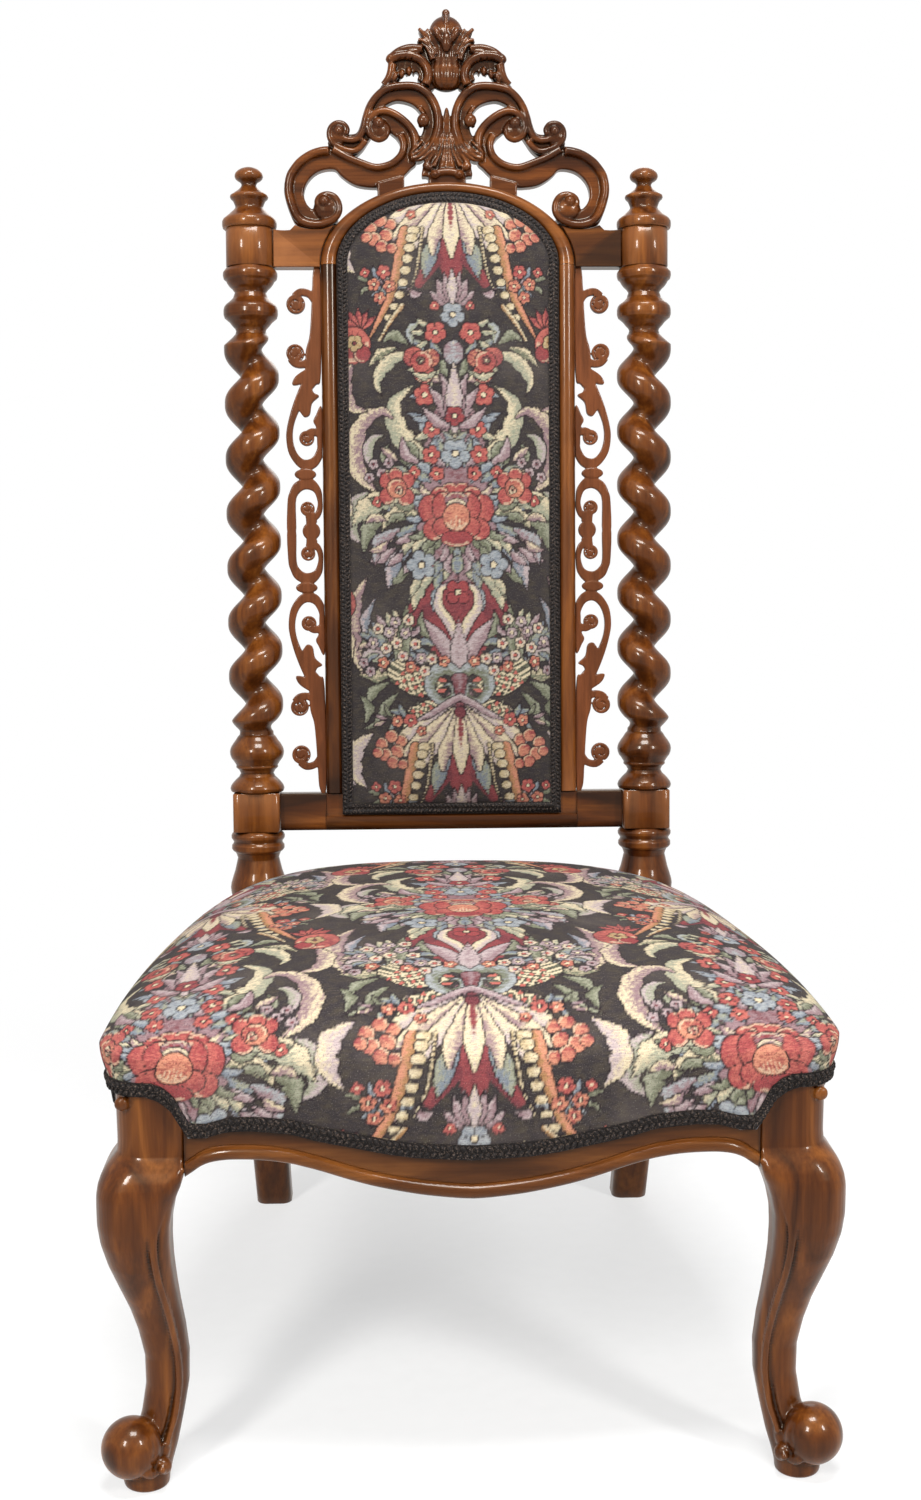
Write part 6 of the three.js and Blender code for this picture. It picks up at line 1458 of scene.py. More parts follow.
# Front legs: cabriole legs of solid walnut, carved with a bead down their inner edge and a scroll toe
# as round as a ball, on small turned pads. The rails are tenoned into their square heads.
leg_inner = 200.0
leg_forward = 236.0
leg_sections = [
    (296, 249, 200, 0.45, 0.04), (275, 248.8, 200, 0.45, 0.04), (255, 248.5, 200, 0.43, 0.05),
    (248, 249, 200, 0.42, 0.06), (244, 251.6, 200.1, 0.4, 0.07), (240, 255.2, 200.4, 0.39, 0.09),
    (234, 258.9, 201, 0.38, 0.12),
    (227, 261.4, 203, 0.37, 0.2), (220, 262.5, 206, 0.38, 0.26), (211, 262.8, 209, 0.42, 0.28),
    (198, 262.8, 211.5, 0.45, 0.28), (184, 261, 212, 0.45, 0.3), (167, 256.5, 211.5, 0.45, 0.32),
    (149, 250, 210, 0.44, 0.34), (131, 243.5, 208, 0.43, 0.36), (113, 238.7, 205.5, 0.43, 0.38),
    (92, 235, 203.5, 0.44, 0.4), (70, 234.8, 204, 0.46, 0.42), (50, 238, 207.5, 0.5, 0.46), (28, 244, 212, 0.5, 0.5),
    (16, 249, 215.5, 0.5, 0.5), (7, 251, 217.5, 0.5, 0.5), (2, 250.6, 217.9, 0.5, 0.5), (0.2, 249.5, 218.5, 0.5, 0.5),
]


def leg_ring(height, outer, inner, outer_corner, inner_corner, side):
    half = (outer - inner) / 2
    middle = (outer + inner) / 2
    points = []
    for quarter, (sx, sy) in enumerate(((1, 1), (-1, 1), (-1, -1), (1, -1))):
        is_outer = sx == side and sy == -1
        r = 2 * half * (outer_corner if is_outer else inner_corner)
        r = min(r, half)
        for k in range(9):
            a = math.pi / 2 * (quarter + k / 8)
            points.append((
                side * middle + sx * (half - r) + r * math.cos(a),
                -middle - leg_forward + sy * (half - r) + r * math.sin(a), height,
            ))
    return points


def rod3(points, radii, sides=12):
    """A round bar along a line in space."""
    line = rounded_line(points, 5, closed=False)
    way = np.gradient(line, axis=0)
    way /= np.linalg.norm(way, axis=1)[:, None]
    rings = []
    radii = np.interp(np.linspace(0, 1, len(line)), np.linspace(0, 1, len(radii)), radii)
    for centre, direction, r in zip(line, way, radii):
        aside = np.cross(direction, (0.3, -0.5, 0.8))
        aside /= np.linalg.norm(aside)
        other = np.cross(direction, aside)
        turn = np.linspace(0, 2 * math.pi, sides, endpoint=False)
        rings.append(centre + r * (np.outer(np.cos(turn), aside) + np.outer(np.sin(turn), other)))
    return skin(rings)


for name, side in (("left", -1), ("right", 1)):
    table = np.array(leg_sections)[::-1]
    heights = np.concatenate([np.arange(0.2, 8, 1.5), np.arange(8, 296, 3.0), [296.0]])
    rings = []
    for height in heights:
        row = [float(np.interp(height, table[:, 0], table[:, column])) for column in range(1, 5)]
        rings.append(leg_ring(float(height), *row, side))
    solids = [skin(rings)]
    toe = (side * 243.0, -479.0, 31.5)
    solids.append(ball(*toe, 21.8, 21.8, 21.8, around=36, rows=24))
    scroll = [(226, -463, 62), (222, -466, 48), (221, -472, 34), (224, -480, 22), (229, -487, 17), (232, -491, 21)]
    solids.append(rod3([(side * x, y, z) for x, y, z in scroll], [5, 6, 6, 5.5, 5, 4.4]))
    solids.append(ball(side * 220.5, -485, 20.5, 6.4, 6.0, 6.4))
    solids.append(ball(side * 220.5, -490.6, 20.5, 3.0, 3.0, 3.0))
    bead = [(side * x, y, z) for x, y, z in (
        (199.6, -486.4, 240.5), (205.5, -486.6, 236.5), (212, -488, 228), (217.5, -491.5, 214), (221, -494.5, 198),
        (221.5, -494, 180), (219.5, -489.5, 160), (216, -483, 140), (212.5, -476.5, 118), (210, -471.3, 96),
        (209.6, -470, 76), (211.4, -470.4, 60), (213.4, -472, 49), (216.2, -474.6, 40), (218.6, -478, 32),
    )]
    solids.append(rod3(bead, [3.0, 3.2, 3.4, 3.4, 3.4, 3.4, 3.3, 3.1, 3.0, 2.9, 2.8, 2.4]))
    solids.append(ball(side * 242, -484.2, 286.5, 5.2, 3.6, 5.2))
    leg = fused_piece(f"cabriole_leg_{name}", solids, 1.15, 3, False)
    scored(leg, [
        [(x - side * 3.9, y + 0.4, z + 1.2 * (k < 3)) for k, (x, y, z) in enumerate(bead)],
        [(x + side * 4.2, y - 1.8, z - 1.6 * (k < 3)) for k, (x, y, z) in enumerate(bead)],
    ], 2.3, 1.5, lean=False, front_only=False)
    toe_cut = [(230, -484, 55), (224.5, -489, 46), (222.5, -492, 36), (224.5, -495, 28)]
    scored(leg, [[(side * x, y, z) for x, y, z in toe_cut]], 3.4, 2.2, lean=False, front_only=False)
    leg.data.materials.append(walnut_upright)
    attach(leg, "root")
    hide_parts(f"front_leg_{name}")

# Seat rails: the bowed front rail has a shaped apron with a rounded bead and a groove over it, worked
# in the solid; the side rails are plain. All are tenoned into the legs and posts.
seat_front = 485.7
seat_rear = 12.0
rail_half_front = 249.0
rail_half_rear = 187.0
seat_belly = 20.0
front_bow = 12.0
seat_corner = 22.0
rail_thick = 26.0
side_rail_bottom = 248.0
side_rail_top = 300.0
apron_line = [
    (0, 218), (10, 218.5), (25, 220), (41, 222.2), (66, 227.1), (86, 232.5), (105, 238.5), (118, 242), (126, 243.9),
    (140, 245.9), (152, 246.6), (163, 246.6), (172, 246.1), (181, 244.5), (188, 241.7), (194, 237.5), (199.6, 233.6),
]


def plan_half(front, rear, half_front, half_rear, y):
    share = (y + front) / (front + rear)
    return half_front + (half_rear - half_front) * share + seat_belly * 4 * share * (1 - share)


def rail_edge(y):
    return plan_half(seat_front, seat_rear, rail_half_front, rail_half_rear, y)


def rail_face(x):
    straight = rail_half_front - seat_corner
    return -seat_front - front_bow * (1 - (x / straight) ** 2)


apron = rounded_line(apron_line, 4, closed=False)
apron = np.concatenate([apron[::-1] * (-1, 1), apron[1:]])
apron_bead = [
    (3.2, 0.4), (1.2, 0.6), (-0.6, 1.6), (-1.8, 3.2), (-2.2, 5.2), (-1.8, 7.2), (-0.6, 8.8), (0.9, 9.8), (1.6, 10.6),
    (1.0, 11.4), (0.0, 12.2), (0.0, 14.0),
]
cushion_seat = side_rail_top - 0.6
rings = []
for x, low in apron:
    face = rail_face(x)
    shelf = max(side_rail_bottom, low + 0.4)
    ring = [(x, face + inward + 1.0, low + up) for inward, up in apron_bead]
    ring += [(x, face + 1.0, cushion_seat), (x, face + rail_thick, cushion_seat)]
    ring += [(x, face + rail_thick, shelf), (x, face + 14, shelf), (x, face + 14, low + 0.3)]
    rings.append(placed(ring))
front_rail = mesh_piece("bowed_rail", *skin(rings), crease=48)
# Painted light: the apron's walnut is much lighter than the other rails', standing in for light falling on it
apron_walnut_painted_lighter = timber(
    "Polished walnut apron", (0.050, 0.0145, 0.0028), (0.135, 0.042, 0.0075), (0.25, 0.090, 0.018), walnut_shade_and_dirt,
    along="X",
)
front_rail.data.materials.append(apron_walnut_painted_lighter)
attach(front_rail, "root")
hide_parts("front_rail")

side_walnut = timber("Polished walnut sides", walnut_dark, walnut_middle, walnut_light, walnut_shade_and_dirt, along="Y")
for name, side in (("left", -1), ("right", 1)):
    rings = []
    for y in np.linspace(-435.6, -21.9, 40):
        outer = rail_edge(y)
        low, top = side_rail_bottom, side_rail_top
        section = [
            (outer - 2.4, low), (outer - 0.8, low + 0.7), (outer, low + 2.4), (outer, low + 6.4),
            (outer - 0.9, low + 7.2), (outer, low + 8.0), (outer, top - 1), (outer - 1, top),
            (outer - rail_thick, top), (outer - rail_thick, low),
        ]
        rings.append(placed([(side * x, y, z) for x, z in section]))
    side_rail = mesh_piece(f"seat_side_{name}", *skin(rings), crease=40)
    side_rail.data.materials.append(side_walnut)
    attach(side_rail, "root")
    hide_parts(f"side_rail_{name}")

# Inside the seat: rear rail, corner blocks and dowels are beech, sawn and left without polish. The
# blocks are held by old steel screws, and the cushion stands on five springs of coppered wire.
beech = timber(
    "Raw beech", (0.36, 0.235, 0.125), (0.45, 0.31, 0.175), (0.54, 0.39, 0.24), (0.20, 0.12, 0.06),
    along="X", coarseness=0.7, gloss=0.62, coat=0.0, depth=0.4,
)

# Tarnish: the patches in which old metal has dulled
tarnish_patches, tarnish_in, tarnish_out = new_group(
    "Tarnish", [("Place", VECTOR, None), ("Fineness", NUMBER, 300.0)], [("Dulled", NUMBER)]
)
patches = noise(tarnish_patches, tarnish_in["Place"], tarnish_in["Fineness"], 5.0)
tarnish_patches.links.new(patches, tarnish_out["Dulled"])


def steel(name, stops, fineness, gloss, dulled):
    """Bare wire or screw metal, rougher where it has dulled."""
    material, tree, shader = finish(name)
    place = own_place(tree)
    tarnish = use_group(tree, tarnish_patches, {"Place": place, "Fineness": fineness})["Dulled"]
    tree.links.new(ramp(tree, tarnish, stops), shader.inputs["Base Color"])
    shader.inputs["Metallic"].default_value = 1.0
    tree.links.new(calc(tree, "ADD", gloss, calc(tree, "MULTIPLY", tarnish, dulled)), shader.inputs["Roughness"])
    return material


screw_steel = steel("Old screw steel", [
    (0.35, (0.12, 0.085, 0.06)), (0.55, (0.30, 0.28, 0.26)), (0.8, (0.42, 0.41, 0.39)),
], 420.0, 0.3, 0.35)
spring_steel = steel("Coppered spring steel", [
    (0.3, (0.20, 0.085, 0.045)), (0.55, (0.42, 0.22, 0.13)), (0.8, (0.50, 0.42, 0.36)),
], 260.0, 0.28, 0.3)
hidden_finishes = {
    "corner_block": beech, "crest_dowel": beech, "rear_rail": beech, "screw_": screw_steel,
    "seat_spring_": spring_steel,
}
for item in bpy.data.objects:
    for start, material in hidden_finishes.items():
        if item.name.startswith(start):
            item.data.materials.clear()
            item.data.materials.append(material)

# Seat cushion: hair over springs, domed high and drawn down at the edges under the same tapestry,
# which is nailed to the rails and legs and cut out round the posts.
cushion_front, cushion_rear = 497.0, 18.0
cushion_half_front, cushion_half_rear = 260.5, 189.0
cushion_corner = 45.0
widest_height = 321.0
crown_height = 57.0
hem_low, hem_high = 248.0, 292.5
gimp_height = 11.0
post_room = block_half + 0.6
notch_half = post_axis - post_room
hem_climb = [
    (0, 0), (0.163, 0.05), (0.238, 0.11), (0.337, 0.22), (0.437, 0.33), (0.5, 0.43), (0.56, 0.46), (0.62, 0.48),
    (0.683, 0.46), (0.74, 0.36), (0.788, 0.35), (0.81, 0.55), (0.837, 0.8), (0.871, 0.94), (0.906, 1), (1, 1),
]
columns_mid, columns_side, rows_corner, rows_long, rows_rear, rungs = (
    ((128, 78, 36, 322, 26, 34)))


def hem_at(x, y):
    if y > -(leg_forward + leg_inner) + 0.3:
        place_share = leg_inner / rail_half_front
    else:
        beside = rail_half_front - max(0.0, y + rail_half_front + leg_forward)
        place_share = min(abs(x), beside) / rail_half_front
    return hem_low + (hem_high - hem_low) * float(np.interp(place_share, *zip(*hem_climb)))


def edge_point(kind, t, outset, cushion):
    """A point of the cushion's widest line, or of the frame under it, and the way out from it."""
    front, rear, half_front, half_rear, corner = (
        (cushion_front, cushion_rear, cushion_half_front, cushion_half_rear, cushion_corner) if cushion
        else (seat_front, seat_rear, rail_half_front, rail_half_rear, seat_corner))
    radius = corner + outset
    straight = half_front - corner
    if kind == "front":
        return straight * t, -front - outset - front_bow * (1 - t * t), (0.0, -1.0)
    if kind == "corner":
        a = math.pi / 2 * t
        way = (math.sin(a), -math.cos(a))
        return straight + radius * way[0], -front + corner + radius * way[1], way
    start = -front + corner
    if kind == "side":
        y = start + (rear - start) * t
        return plan_half(front, rear, half_front, half_rear, y) + outset, y, (1.0, 0.0)
    if kind == "notch":
        return notch_half, -post_room + (rear + outset + post_room) * t, (1.0, 0.0)
    return notch_half * t, rear + outset, (0.0, 1.0)


def crown_rise(x, y):
    corner_y = -cushion_front + cushion_corner
    half = plan_half(cushion_front, cushion_rear, cushion_half_front, cushion_half_rear, y)
    drop = np.clip(corner_y - y, 0, cushion_corner)
    half = half + np.where(y < corner_y, np.sqrt(cushion_corner ** 2 - drop ** 2) - cushion_corner, 0)
    across = np.clip(np.abs(x) / half, 0, 1)
    near = -cushion_front - front_bow * (1 - across ** 2)
    lengthwise = np.clip(2 * (y - near) / (cushion_rear - near) - 1, -1, 1)
    return (1 - across ** 2.6) ** (1 / 1.95) * (1 - np.abs(lengthwise) ** 3.4) ** (1 / 1.65)


# Rows run from the front edge back, and columns from the middle out; both crowd towards the edges
side_start = -cushion_front + cushion_corner
turns = np.linspace(0, 1, rows_corner, endpoint=False)
row_y = list(-cushion_front + cushion_corner * (1 - np.cos(turns * math.pi / 2)))
row_edge = [("front", 1.0)] + [("corner", float(t)) for t in turns[1:]]
side_end = (-post_room - side_start) / (cushion_rear - side_start)
for t in np.linspace(0, side_end, rows_long):
    row_y.append(side_start + (cushion_rear - side_start) * t)
    row_edge.append(("side", float(t)))
ledge = len(row_y) - 1
for t in 1 - (1 - np.linspace(0, 1, rows_rear + 1)[1:]) ** 1.8:
    row_y.append(-post_room + (cushion_rear + post_room) * t)
    row_edge.append(("notch", float(t)))
row_y = np.array(row_y)
edge_half_x = np.array([edge_point(kind, t, 0.0, True)[0] for kind, t in row_edge])
mid_share = np.linspace(0, 1, columns_mid + 1)
side_share = 1 - (1 - np.linspace(0, 1, columns_side + 1)[1:]) ** 1.6
half_columns = []
for half in edge_half_x:
    half_columns.append(np.concatenate([notch_half * mid_share, notch_half + (half - notch_half) * side_share]))
half_columns = np.array(half_columns)
seat_x = np.concatenate([-half_columns[:, :0:-1], half_columns], 1)
straight_front = cushion_half_front - cushion_corner
bow = front_bow * np.clip(1 - (seat_x / straight_front) ** 2, 0, 1)
fade = np.clip((cushion_rear - row_y) / (cushion_rear + cushion_front), 0, 1) ** 1.5
seat_y = row_y[:, None] - bow * fade[:, None]
seat_z = widest_height + crown_height * crown_rise(seat_x, seat_y)
beside_post = np.hypot(np.clip(notch_half - np.abs(seat_x), 0, None), np.clip(-post_room - seat_y, 0, None))
seat_z -= 7.0 * np.exp(-beside_post / 9.0) * np.clip((seat_z - widest_height) / 15.0, 0, 1)
rng = np.random.default_rng(7)
for _ in range(26):
    cx, cy = rng.uniform(-230, 230), rng.uniform(-480, 10)
    wide, tall = rng.uniform(25, 70), rng.uniform(25, 70)
    lump = np.exp(-((seat_x - cx) / wide) ** 2 - ((seat_y - cy) / tall) ** 2)
    seat_z += rng.uniform(-0.9, 0.9) * lump * np.clip((seat_z - widest_height) / 30.0, 0, 1)
rows_all, columns_all = seat_x.shape
middle_column = columns_all // 2
step_x = np.sqrt(np.diff(seat_x, axis=1) ** 2 + np.diff(seat_z, axis=1) ** 2)
run_x = np.concatenate([np.zeros((rows_all, 1)), np.cumsum(step_x, axis=1)], 1)
run_x -= run_x[:, middle_column:middle_column + 1]
step_y = np.sqrt(np.diff(seat_y, axis=0) ** 2 + np.diff(seat_z, axis=0) ** 2)
run_y = np.concatenate([np.zeros((1, columns_all)), np.cumsum(step_y, axis=0)], 0)

number = -np.ones(seat_x.shape, int)
wide_rows = np.arange(rows_all) <= ledge
inner_column = np.abs(np.arange(columns_all) - middle_column) <= columns_mid
used = wide_rows[:, None] | inner_column[None, :]
number[used] = np.arange(used.sum())
seat_points = [np.stack([seat_x[used], seat_y[used], seat_z[used]], 1)]
cloth_across, cloth_along = [run_x[used]], [run_y[used]]
seat_faces = []
for r in range(rows_all - 1):
    for c in range(columns_all - 1):
        quad = (number[r, c], number[r, c + 1], number[r + 1, c + 1], number[r + 1, c])
        if min(quad) >= 0:
            seat_faces.append(tuple(int(index) for index in quad))

# The edge of the top, once round from the middle of the front, with the kind of place that each point has
front_columns = range(columns_mid + columns_side)
notch_column = middle_column + columns_mid
right_edge = [(0, middle_column + c, "front", half_columns[0, c] / straight_front) for c in front_columns]
right_edge += [(r, columns_all - 1, *row_edge[r]) for r in range(ledge + 1)]
right_edge += [(ledge, c, "ledge", 0.0) for c in range(columns_all - 2, notch_column - 1, -1)]
right_edge += [(r, notch_column, "notch", row_edge[r][1]) for r in range(ledge + 1, rows_all)]
right_edge += [(rows_all - 1, middle_column + c, "rear", c / columns_mid) for c in range(columns_mid - 1, -1, -1)]
left_edge = [(r, 2 * middle_column - c, kind, t) for r, c, kind, t in right_edge[1:-1]][::-1]
whole_edge = [(*place, 1) for place in right_edge] + [(*place, -1) for place in left_edge]
tops, lows, ways = [], [], []
for r, c, kind, t, side in whole_edge:
    top = np.array([seat_x[r, c], seat_y[r, c], seat_z[r, c]])
    if kind in ("ledge", "notch"):
        low = np.array([top[0], top[1], 299.0])
        way = (0.0, 1.0) if kind == "ledge" else (float(side), 0.0)
    else:
        x, y, way = edge_point(kind, t, 2.8, False)
        low = np.array([side * x, y, hem_at(x, y)])
        if kind == "side" and y > -post_room - 1:
            low[1] = -post_room - 0.2
        if kind == "rear":
            low[0] = top[0]
        way = (side * way[0], way[1])
    tops.append(top)
    lows.append(low)
    ways.append(way)
tops, lows, ways = np.array(tops), np.array(lows), np.array(ways)
edge_across = np.array([run_x[r, c] for r, c, *_ in whole_edge])
edge_along = np.array([run_y[r, c] for r, c, *_ in whole_edge])


def skirt_ring(share, inset=0.0):
    """Ring of the drawn-down side: 1 at the widest line, 0 at the hem."""
    full = tops[:, 2] - lows[:, 2]
    swing = np.sin(share * math.pi / 2) ** 1.6
    ring = lows + (tops - lows) * np.array([1, 1, 0]) * swing
    ring[:, 2] = lows[:, 2] + full * share
    ring[:, 0] -= ways[:, 0] * inset
    ring[:, 1] -= ways[:, 1] * inset
    return ring


edge_numbers = [int(number[r, c]) for r, c, *_ in whole_edge]
around = len(edge_numbers)
above, run_down = tops, np.zeros(around)
loops = [edge_numbers]
total = int(used.sum())
for share in np.linspace(1, 0, rungs + 1)[1:]:
    ring = skirt_ring(float(share))
    run_down = run_down + np.linalg.norm(ring - above, axis=1)
    above = ring
    seat_points.append(ring)
    cloth_across.append(edge_across + ways[:, 0] * run_down)
    cloth_along.append(edge_along + ways[:, 1] * run_down)
    loops.append(list(range(total, total + around)))
    total += around
under = [skirt_ring(0.0, 2.4), skirt_ring(0.25, 2.6)]
railed = skirt_ring(0.0, 2.6)
railed[:, 2] = np.maximum(301.2, lows[:, 2])
under.append(railed)
cushion_middle = (cushion_rear - cushion_front) / 2
for share in (0.96, 0.86, 0.78, 0.68, 0.55, 0.4, 0.2):
    ring = railed.copy()
    ring[:, 0] *= share
    ring[:, 1] = cushion_middle + (ring[:, 1] - cushion_middle) * share
    ring[:, 2] = 302.2 + (0 if share > 0.85 else 36.0 * math.cos(share * math.pi / 2) ** 0.8)
    under.append(ring)
for ring in under:
    seat_points.append(ring)
    cloth_across.append(edge_across)
    cloth_along.append(edge_along)
    loops.append(list(range(total, total + around)))
    total += around
for upper, lower in zip(loops, loops[1:]):
    for k in range(around):
        n = (k + 1) % around
        seat_faces.append((upper[n], upper[k], lower[k], lower[n]))
seat_faces.append(tuple(loops[-1]))
seat_cover = mesh_piece("upholstered_seat", placed(np.concatenate(seat_points)), seat_faces, crease=70)
hem_start = -41.0
dye_cloth(seat_cover, np.concatenate(cloth_across), np.concatenate(cloth_along) + 75.0 + hem_start)
# Painted shade: the seat's cloth is darkened only a little, as it faces the light from above
seat_cover.data.materials.append(tapestry("Tapestry of the seat", (0.90, 0.89, 0.85)))
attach(seat_cover, "root")
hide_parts("seat_cover", "seat_stuffing")

gimp_top = np.minimum(1.0, gimp_height / (tops[:, 2] - lows[:, 2]))
swing = np.sin(gimp_top * math.pi / 2) ** 1.6
gimp_high = lows + (tops - lows) * np.stack([swing, swing, gimp_top], 1)
gimp_low = lows + (0, 0, 0.3)
outward = np.concatenate([ways, np.zeros((around, 1))], 1)


def one_run(kinds):
    """The places of the edge that are of these kinds, in one unbroken run."""
    found = [k for k, place in enumerate(whole_edge) if place[2] in kinds]
    gap = max(range(1, len(found)), key=lambda k: found[k] - found[k - 1])
    return found[gap:] + found[:gap]


front_run = one_run(("front", "corner", "side"))[::4]
for name, node, run in (
    ("gimp_of_seat", "seat_gimp", front_run), ("gimp_behind_seat", "seat_gimp_rear", one_run(("rear",))),
):
    points, faces = gimp_mesh(gimp_low[run], gimp_high[run], outward[run], False, 1.6, 4.6)
    seat_gimp = mesh_piece(name, placed(points), faces, crease=80)
    seat_gimp.data.materials.append(braid_black)
    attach(seat_gimp, "root")
    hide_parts(node)

# Webbing: three woven jute straps each way, strained across the frame, tacked under its rails and laced
# over and under each other. Their doubled selvedges stand a little proud of the weave.
strap_half, strap_thick = 25.0, 1.3
selvedge_half, tack_gap = 21.5, 8.0
strap_up = side_rail_bottom - 0.3 - strap_thick / 2
strap_down = strap_up - strap_thick - 0.3
across_places = (-95.0, 0.0, 95.0)
along_places = (-350.0, -235.0, -120.0)


def webbing_strap(name, start, end, place, dips, crosswise):
    rings = []
    for run in np.linspace(start, end, 200):
        height = strap_up
        for dip in dips:
            share = min(1.0, max(0.0, (strap_half + 16.0 - abs(run - dip)) / 12.0))
            height -= (strap_up - strap_down) * share * share * (3 - 2 * share)
        beat = 0.04 * math.sin(run * 1.9)
        ring = []
        for up in (1, -1):
            for w in np.linspace(-1, 1, 25)[::up]:
                edge = strap_thick / 2 if abs(w) > selvedge_half / strap_half else strap_thick / 2 - 0.13 + beat
                rise = edge * (1 if abs(w) < 0.99 else 0.55)
                wide = place + strap_half * float(w)
                ring.append((run, wide, height + up * rise) if crosswise else (wide, run, height + up * rise))
        rings.append(placed(ring if crosswise else ring[::-1]))
    return mesh_piece(name, *skin(rings), crease=50)


def plain_weave(name, dark, light, per_metre):
    """A coarse cloth, each thread over one and under one, told how many of them stand in a metre."""
    material, tree, shader = finish(name)
    place = own_place(tree)
    woven = use_group(tree, weave, {"Place": place, "Warp way": (per_metre, 0, 0), "Weft way": (0, per_metre, 0)})
    # Painted shade: the cloth is darker in the low places between its threads
    between = past(tree, 0.5, woven["Raised"], 0.9, clamp=False)
    shade = ramp(tree, woven["Slub"], [(0.3, dark), (0.7, light)])
    tree.links.new(blended(tree, between, shade, dark), shader.inputs["Base Color"])
    shader.inputs["Roughness"].default_value = 0.95
    roughened(tree, shader, woven["Raised"], 0.6, 0.0006)
    return material


jute = plain_weave("Jute webbing", (0.26, 0.18, 0.10), (0.48, 0.37, 0.23), 420.0)
for k in range(3):
    middle = along_places[k]
    reach = rail_edge(middle - strap_half) - tack_gap
    dips = [x for column, x in enumerate(across_places) if (k + column) % 2 == 1]
    cross_strap = webbing_strap(f"cross_strap_{k + 1}", -reach, reach, middle, dips, True)
    dips = [y for row, y in enumerate(along_places) if (row + k) % 2 == 0]
    near, far = -seat_front + 14.3, seat_rear - tack_gap
    long_strap = webbing_strap(f"long_strap_{k + 1}", near, far, across_places[k], dips, False)
    for strap, node, length, ends in (
        (cross_strap, f"webbing_cross_{k + 1}", 2 * reach, ["side_rail_left", "side_rail_right"]),
        (long_strap, f"webbing_long_{k + 1}", far - near, ["front_rail", "rear_rail"]),
    ):
        strap.data.materials.append(jute)
        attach(strap, "root")
        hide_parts(node)
        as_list(ends)

# Hessian over the springs: one open cloth, tacked on the rails' tops, cut out round the posts and
# pushed up by the five springs, between which it sinks a little.
hessian_middle = (seat_rear - seat_front) / 2
tacked_in = 5.0
slit_half, slit_front = notch_half - 1.0, -post_room - 1.0
half_edge = [edge_point("front", t, -tacked_in, False)[:2] for t in np.linspace(0, 1, 14, endpoint=False)]
half_edge += [edge_point("corner", t, -tacked_in, False)[:2] for t in np.linspace(0, 1, 6, endpoint=False)]
side_edge = [edge_point("side", t, -tacked_in, False)[:2] for t in np.linspace(0, 1, 40)]
half_edge += [(x, y) for x, y in side_edge if y < slit_front]
edge_x = half_edge[-1][0]
half_edge += [(edge_x + (slit_half - edge_x) * t, slit_front) for t in (0.02, 0.25, 0.5, 0.75, 1)]
half_edge += [(slit_half, y) for y in np.linspace(slit_front, seat_rear - tacked_in, 5)[1:]]
half_edge += [(slit_half * (1 - t), seat_rear - tacked_in) for t in np.linspace(0, 1, 12)[1:]]
hessian_edge = half_edge + [(-x, y) for x, y in half_edge[-2:0:-1]]
hessian_shares = list(np.linspace(1, 0.04, 48))
spring_places = [(x, y) for x in across_places[::2] for y in along_places[::2]] + [(0.0, along_places[1])]
hessian_points = []
for share in hessian_shares + [0.0]:
    for x, y in hessian_edge if share > 0 else [(0.0, hessian_middle)]:
        px, py = x * share, hessian_middle + (y - hessian_middle) * share
        rise = float(np.interp(share, (0, 0.5, 0.86, 1), (36.0, 27.3, 0, 0)))
        away = min(math.hypot(px - a, py - b) for a, b in spring_places)
        sink = 0.5 * min(1.0, max(0.0, (away - 34.0) / 30.0)) if share < 0.8 else 0.0
        hessian_points.append((px, py, side_rail_top + 0.8 + rise - sink))
hessian_faces = []
round_edge = len(hessian_edge)
for r in range(len(hessian_shares) - 1):
    for k in range(round_edge):
        a, b = r * round_edge + k, r * round_edge + (k + 1) % round_edge
        hessian_faces.append((a, b, b + round_edge, a + round_edge))
last_ring = (len(hessian_shares) - 1) * round_edge
for k in range(round_edge):
    hessian_faces.append((last_ring + k, last_ring + (k + 1) % round_edge, last_ring + round_edge))
spring_cover = mesh_piece("hessian_over_springs", placed(hessian_points), hessian_faces)
thick = spring_cover.modifiers.new("cloth", "SOLIDIFY")
thick.thickness = 0.0008
thick.offset = 0
hessian = plain_weave("Hessian", (0.28, 0.21, 0.12), (0.52, 0.42, 0.27), 620.0)
spring_cover.data.materials.append(hessian)
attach(spring_cover, "root")
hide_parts("spring_hessian")

# Dust cloth: thin black linen tacked under the rails to keep the stuffing's dust in. It is cut out round
# the legs and posts, and sags a little between its tacks.
dust_height, dust_sag, dust_thick = 244.4, 1.4, 0.5
dust_front, dust_inset = -466.0, 17.0
leg_notch = -434.0
dust_rows, dust_columns = 48, 40
dust_points = []
for layer in (0.0, dust_thick):
    for r in range(dust_rows):
        along = r / (dust_rows - 1)
        y = dust_front * (1 - along)
        half = rail_edge(y) - dust_inset
        if y < leg_notch:
            half = leg_inner - 1.0
        if y > slit_front:
            half = slit_half
        for s in np.linspace(-1, 1, dust_columns):
            sag = dust_sag * (1 - s * s) * math.sin(math.pi * along)
            dust_points.append((half * s, y, dust_height - sag - layer))
layer_count = dust_rows * dust_columns
dust_faces = grid_faces(dust_rows, dust_columns) + grid_faces(dust_rows, dust_columns, layer_count, flipped=True)
rim = grid_rim(dust_rows, dust_columns)
dust_faces += [(b, a, a + layer_count, b + layer_count) for a, b in zip(rim, rim[1:] + rim[:1])]
dust_cloth = mesh_piece("dust_linen", placed(dust_points), dust_faces)
dust_black = plain_weave("Black dust cloth", (0.010, 0.009, 0.010), (0.034, 0.030, 0.031), 900.0)
dust_cloth.data.materials.append(dust_black)
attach(dust_cloth, "root")
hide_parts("dust_cloth")

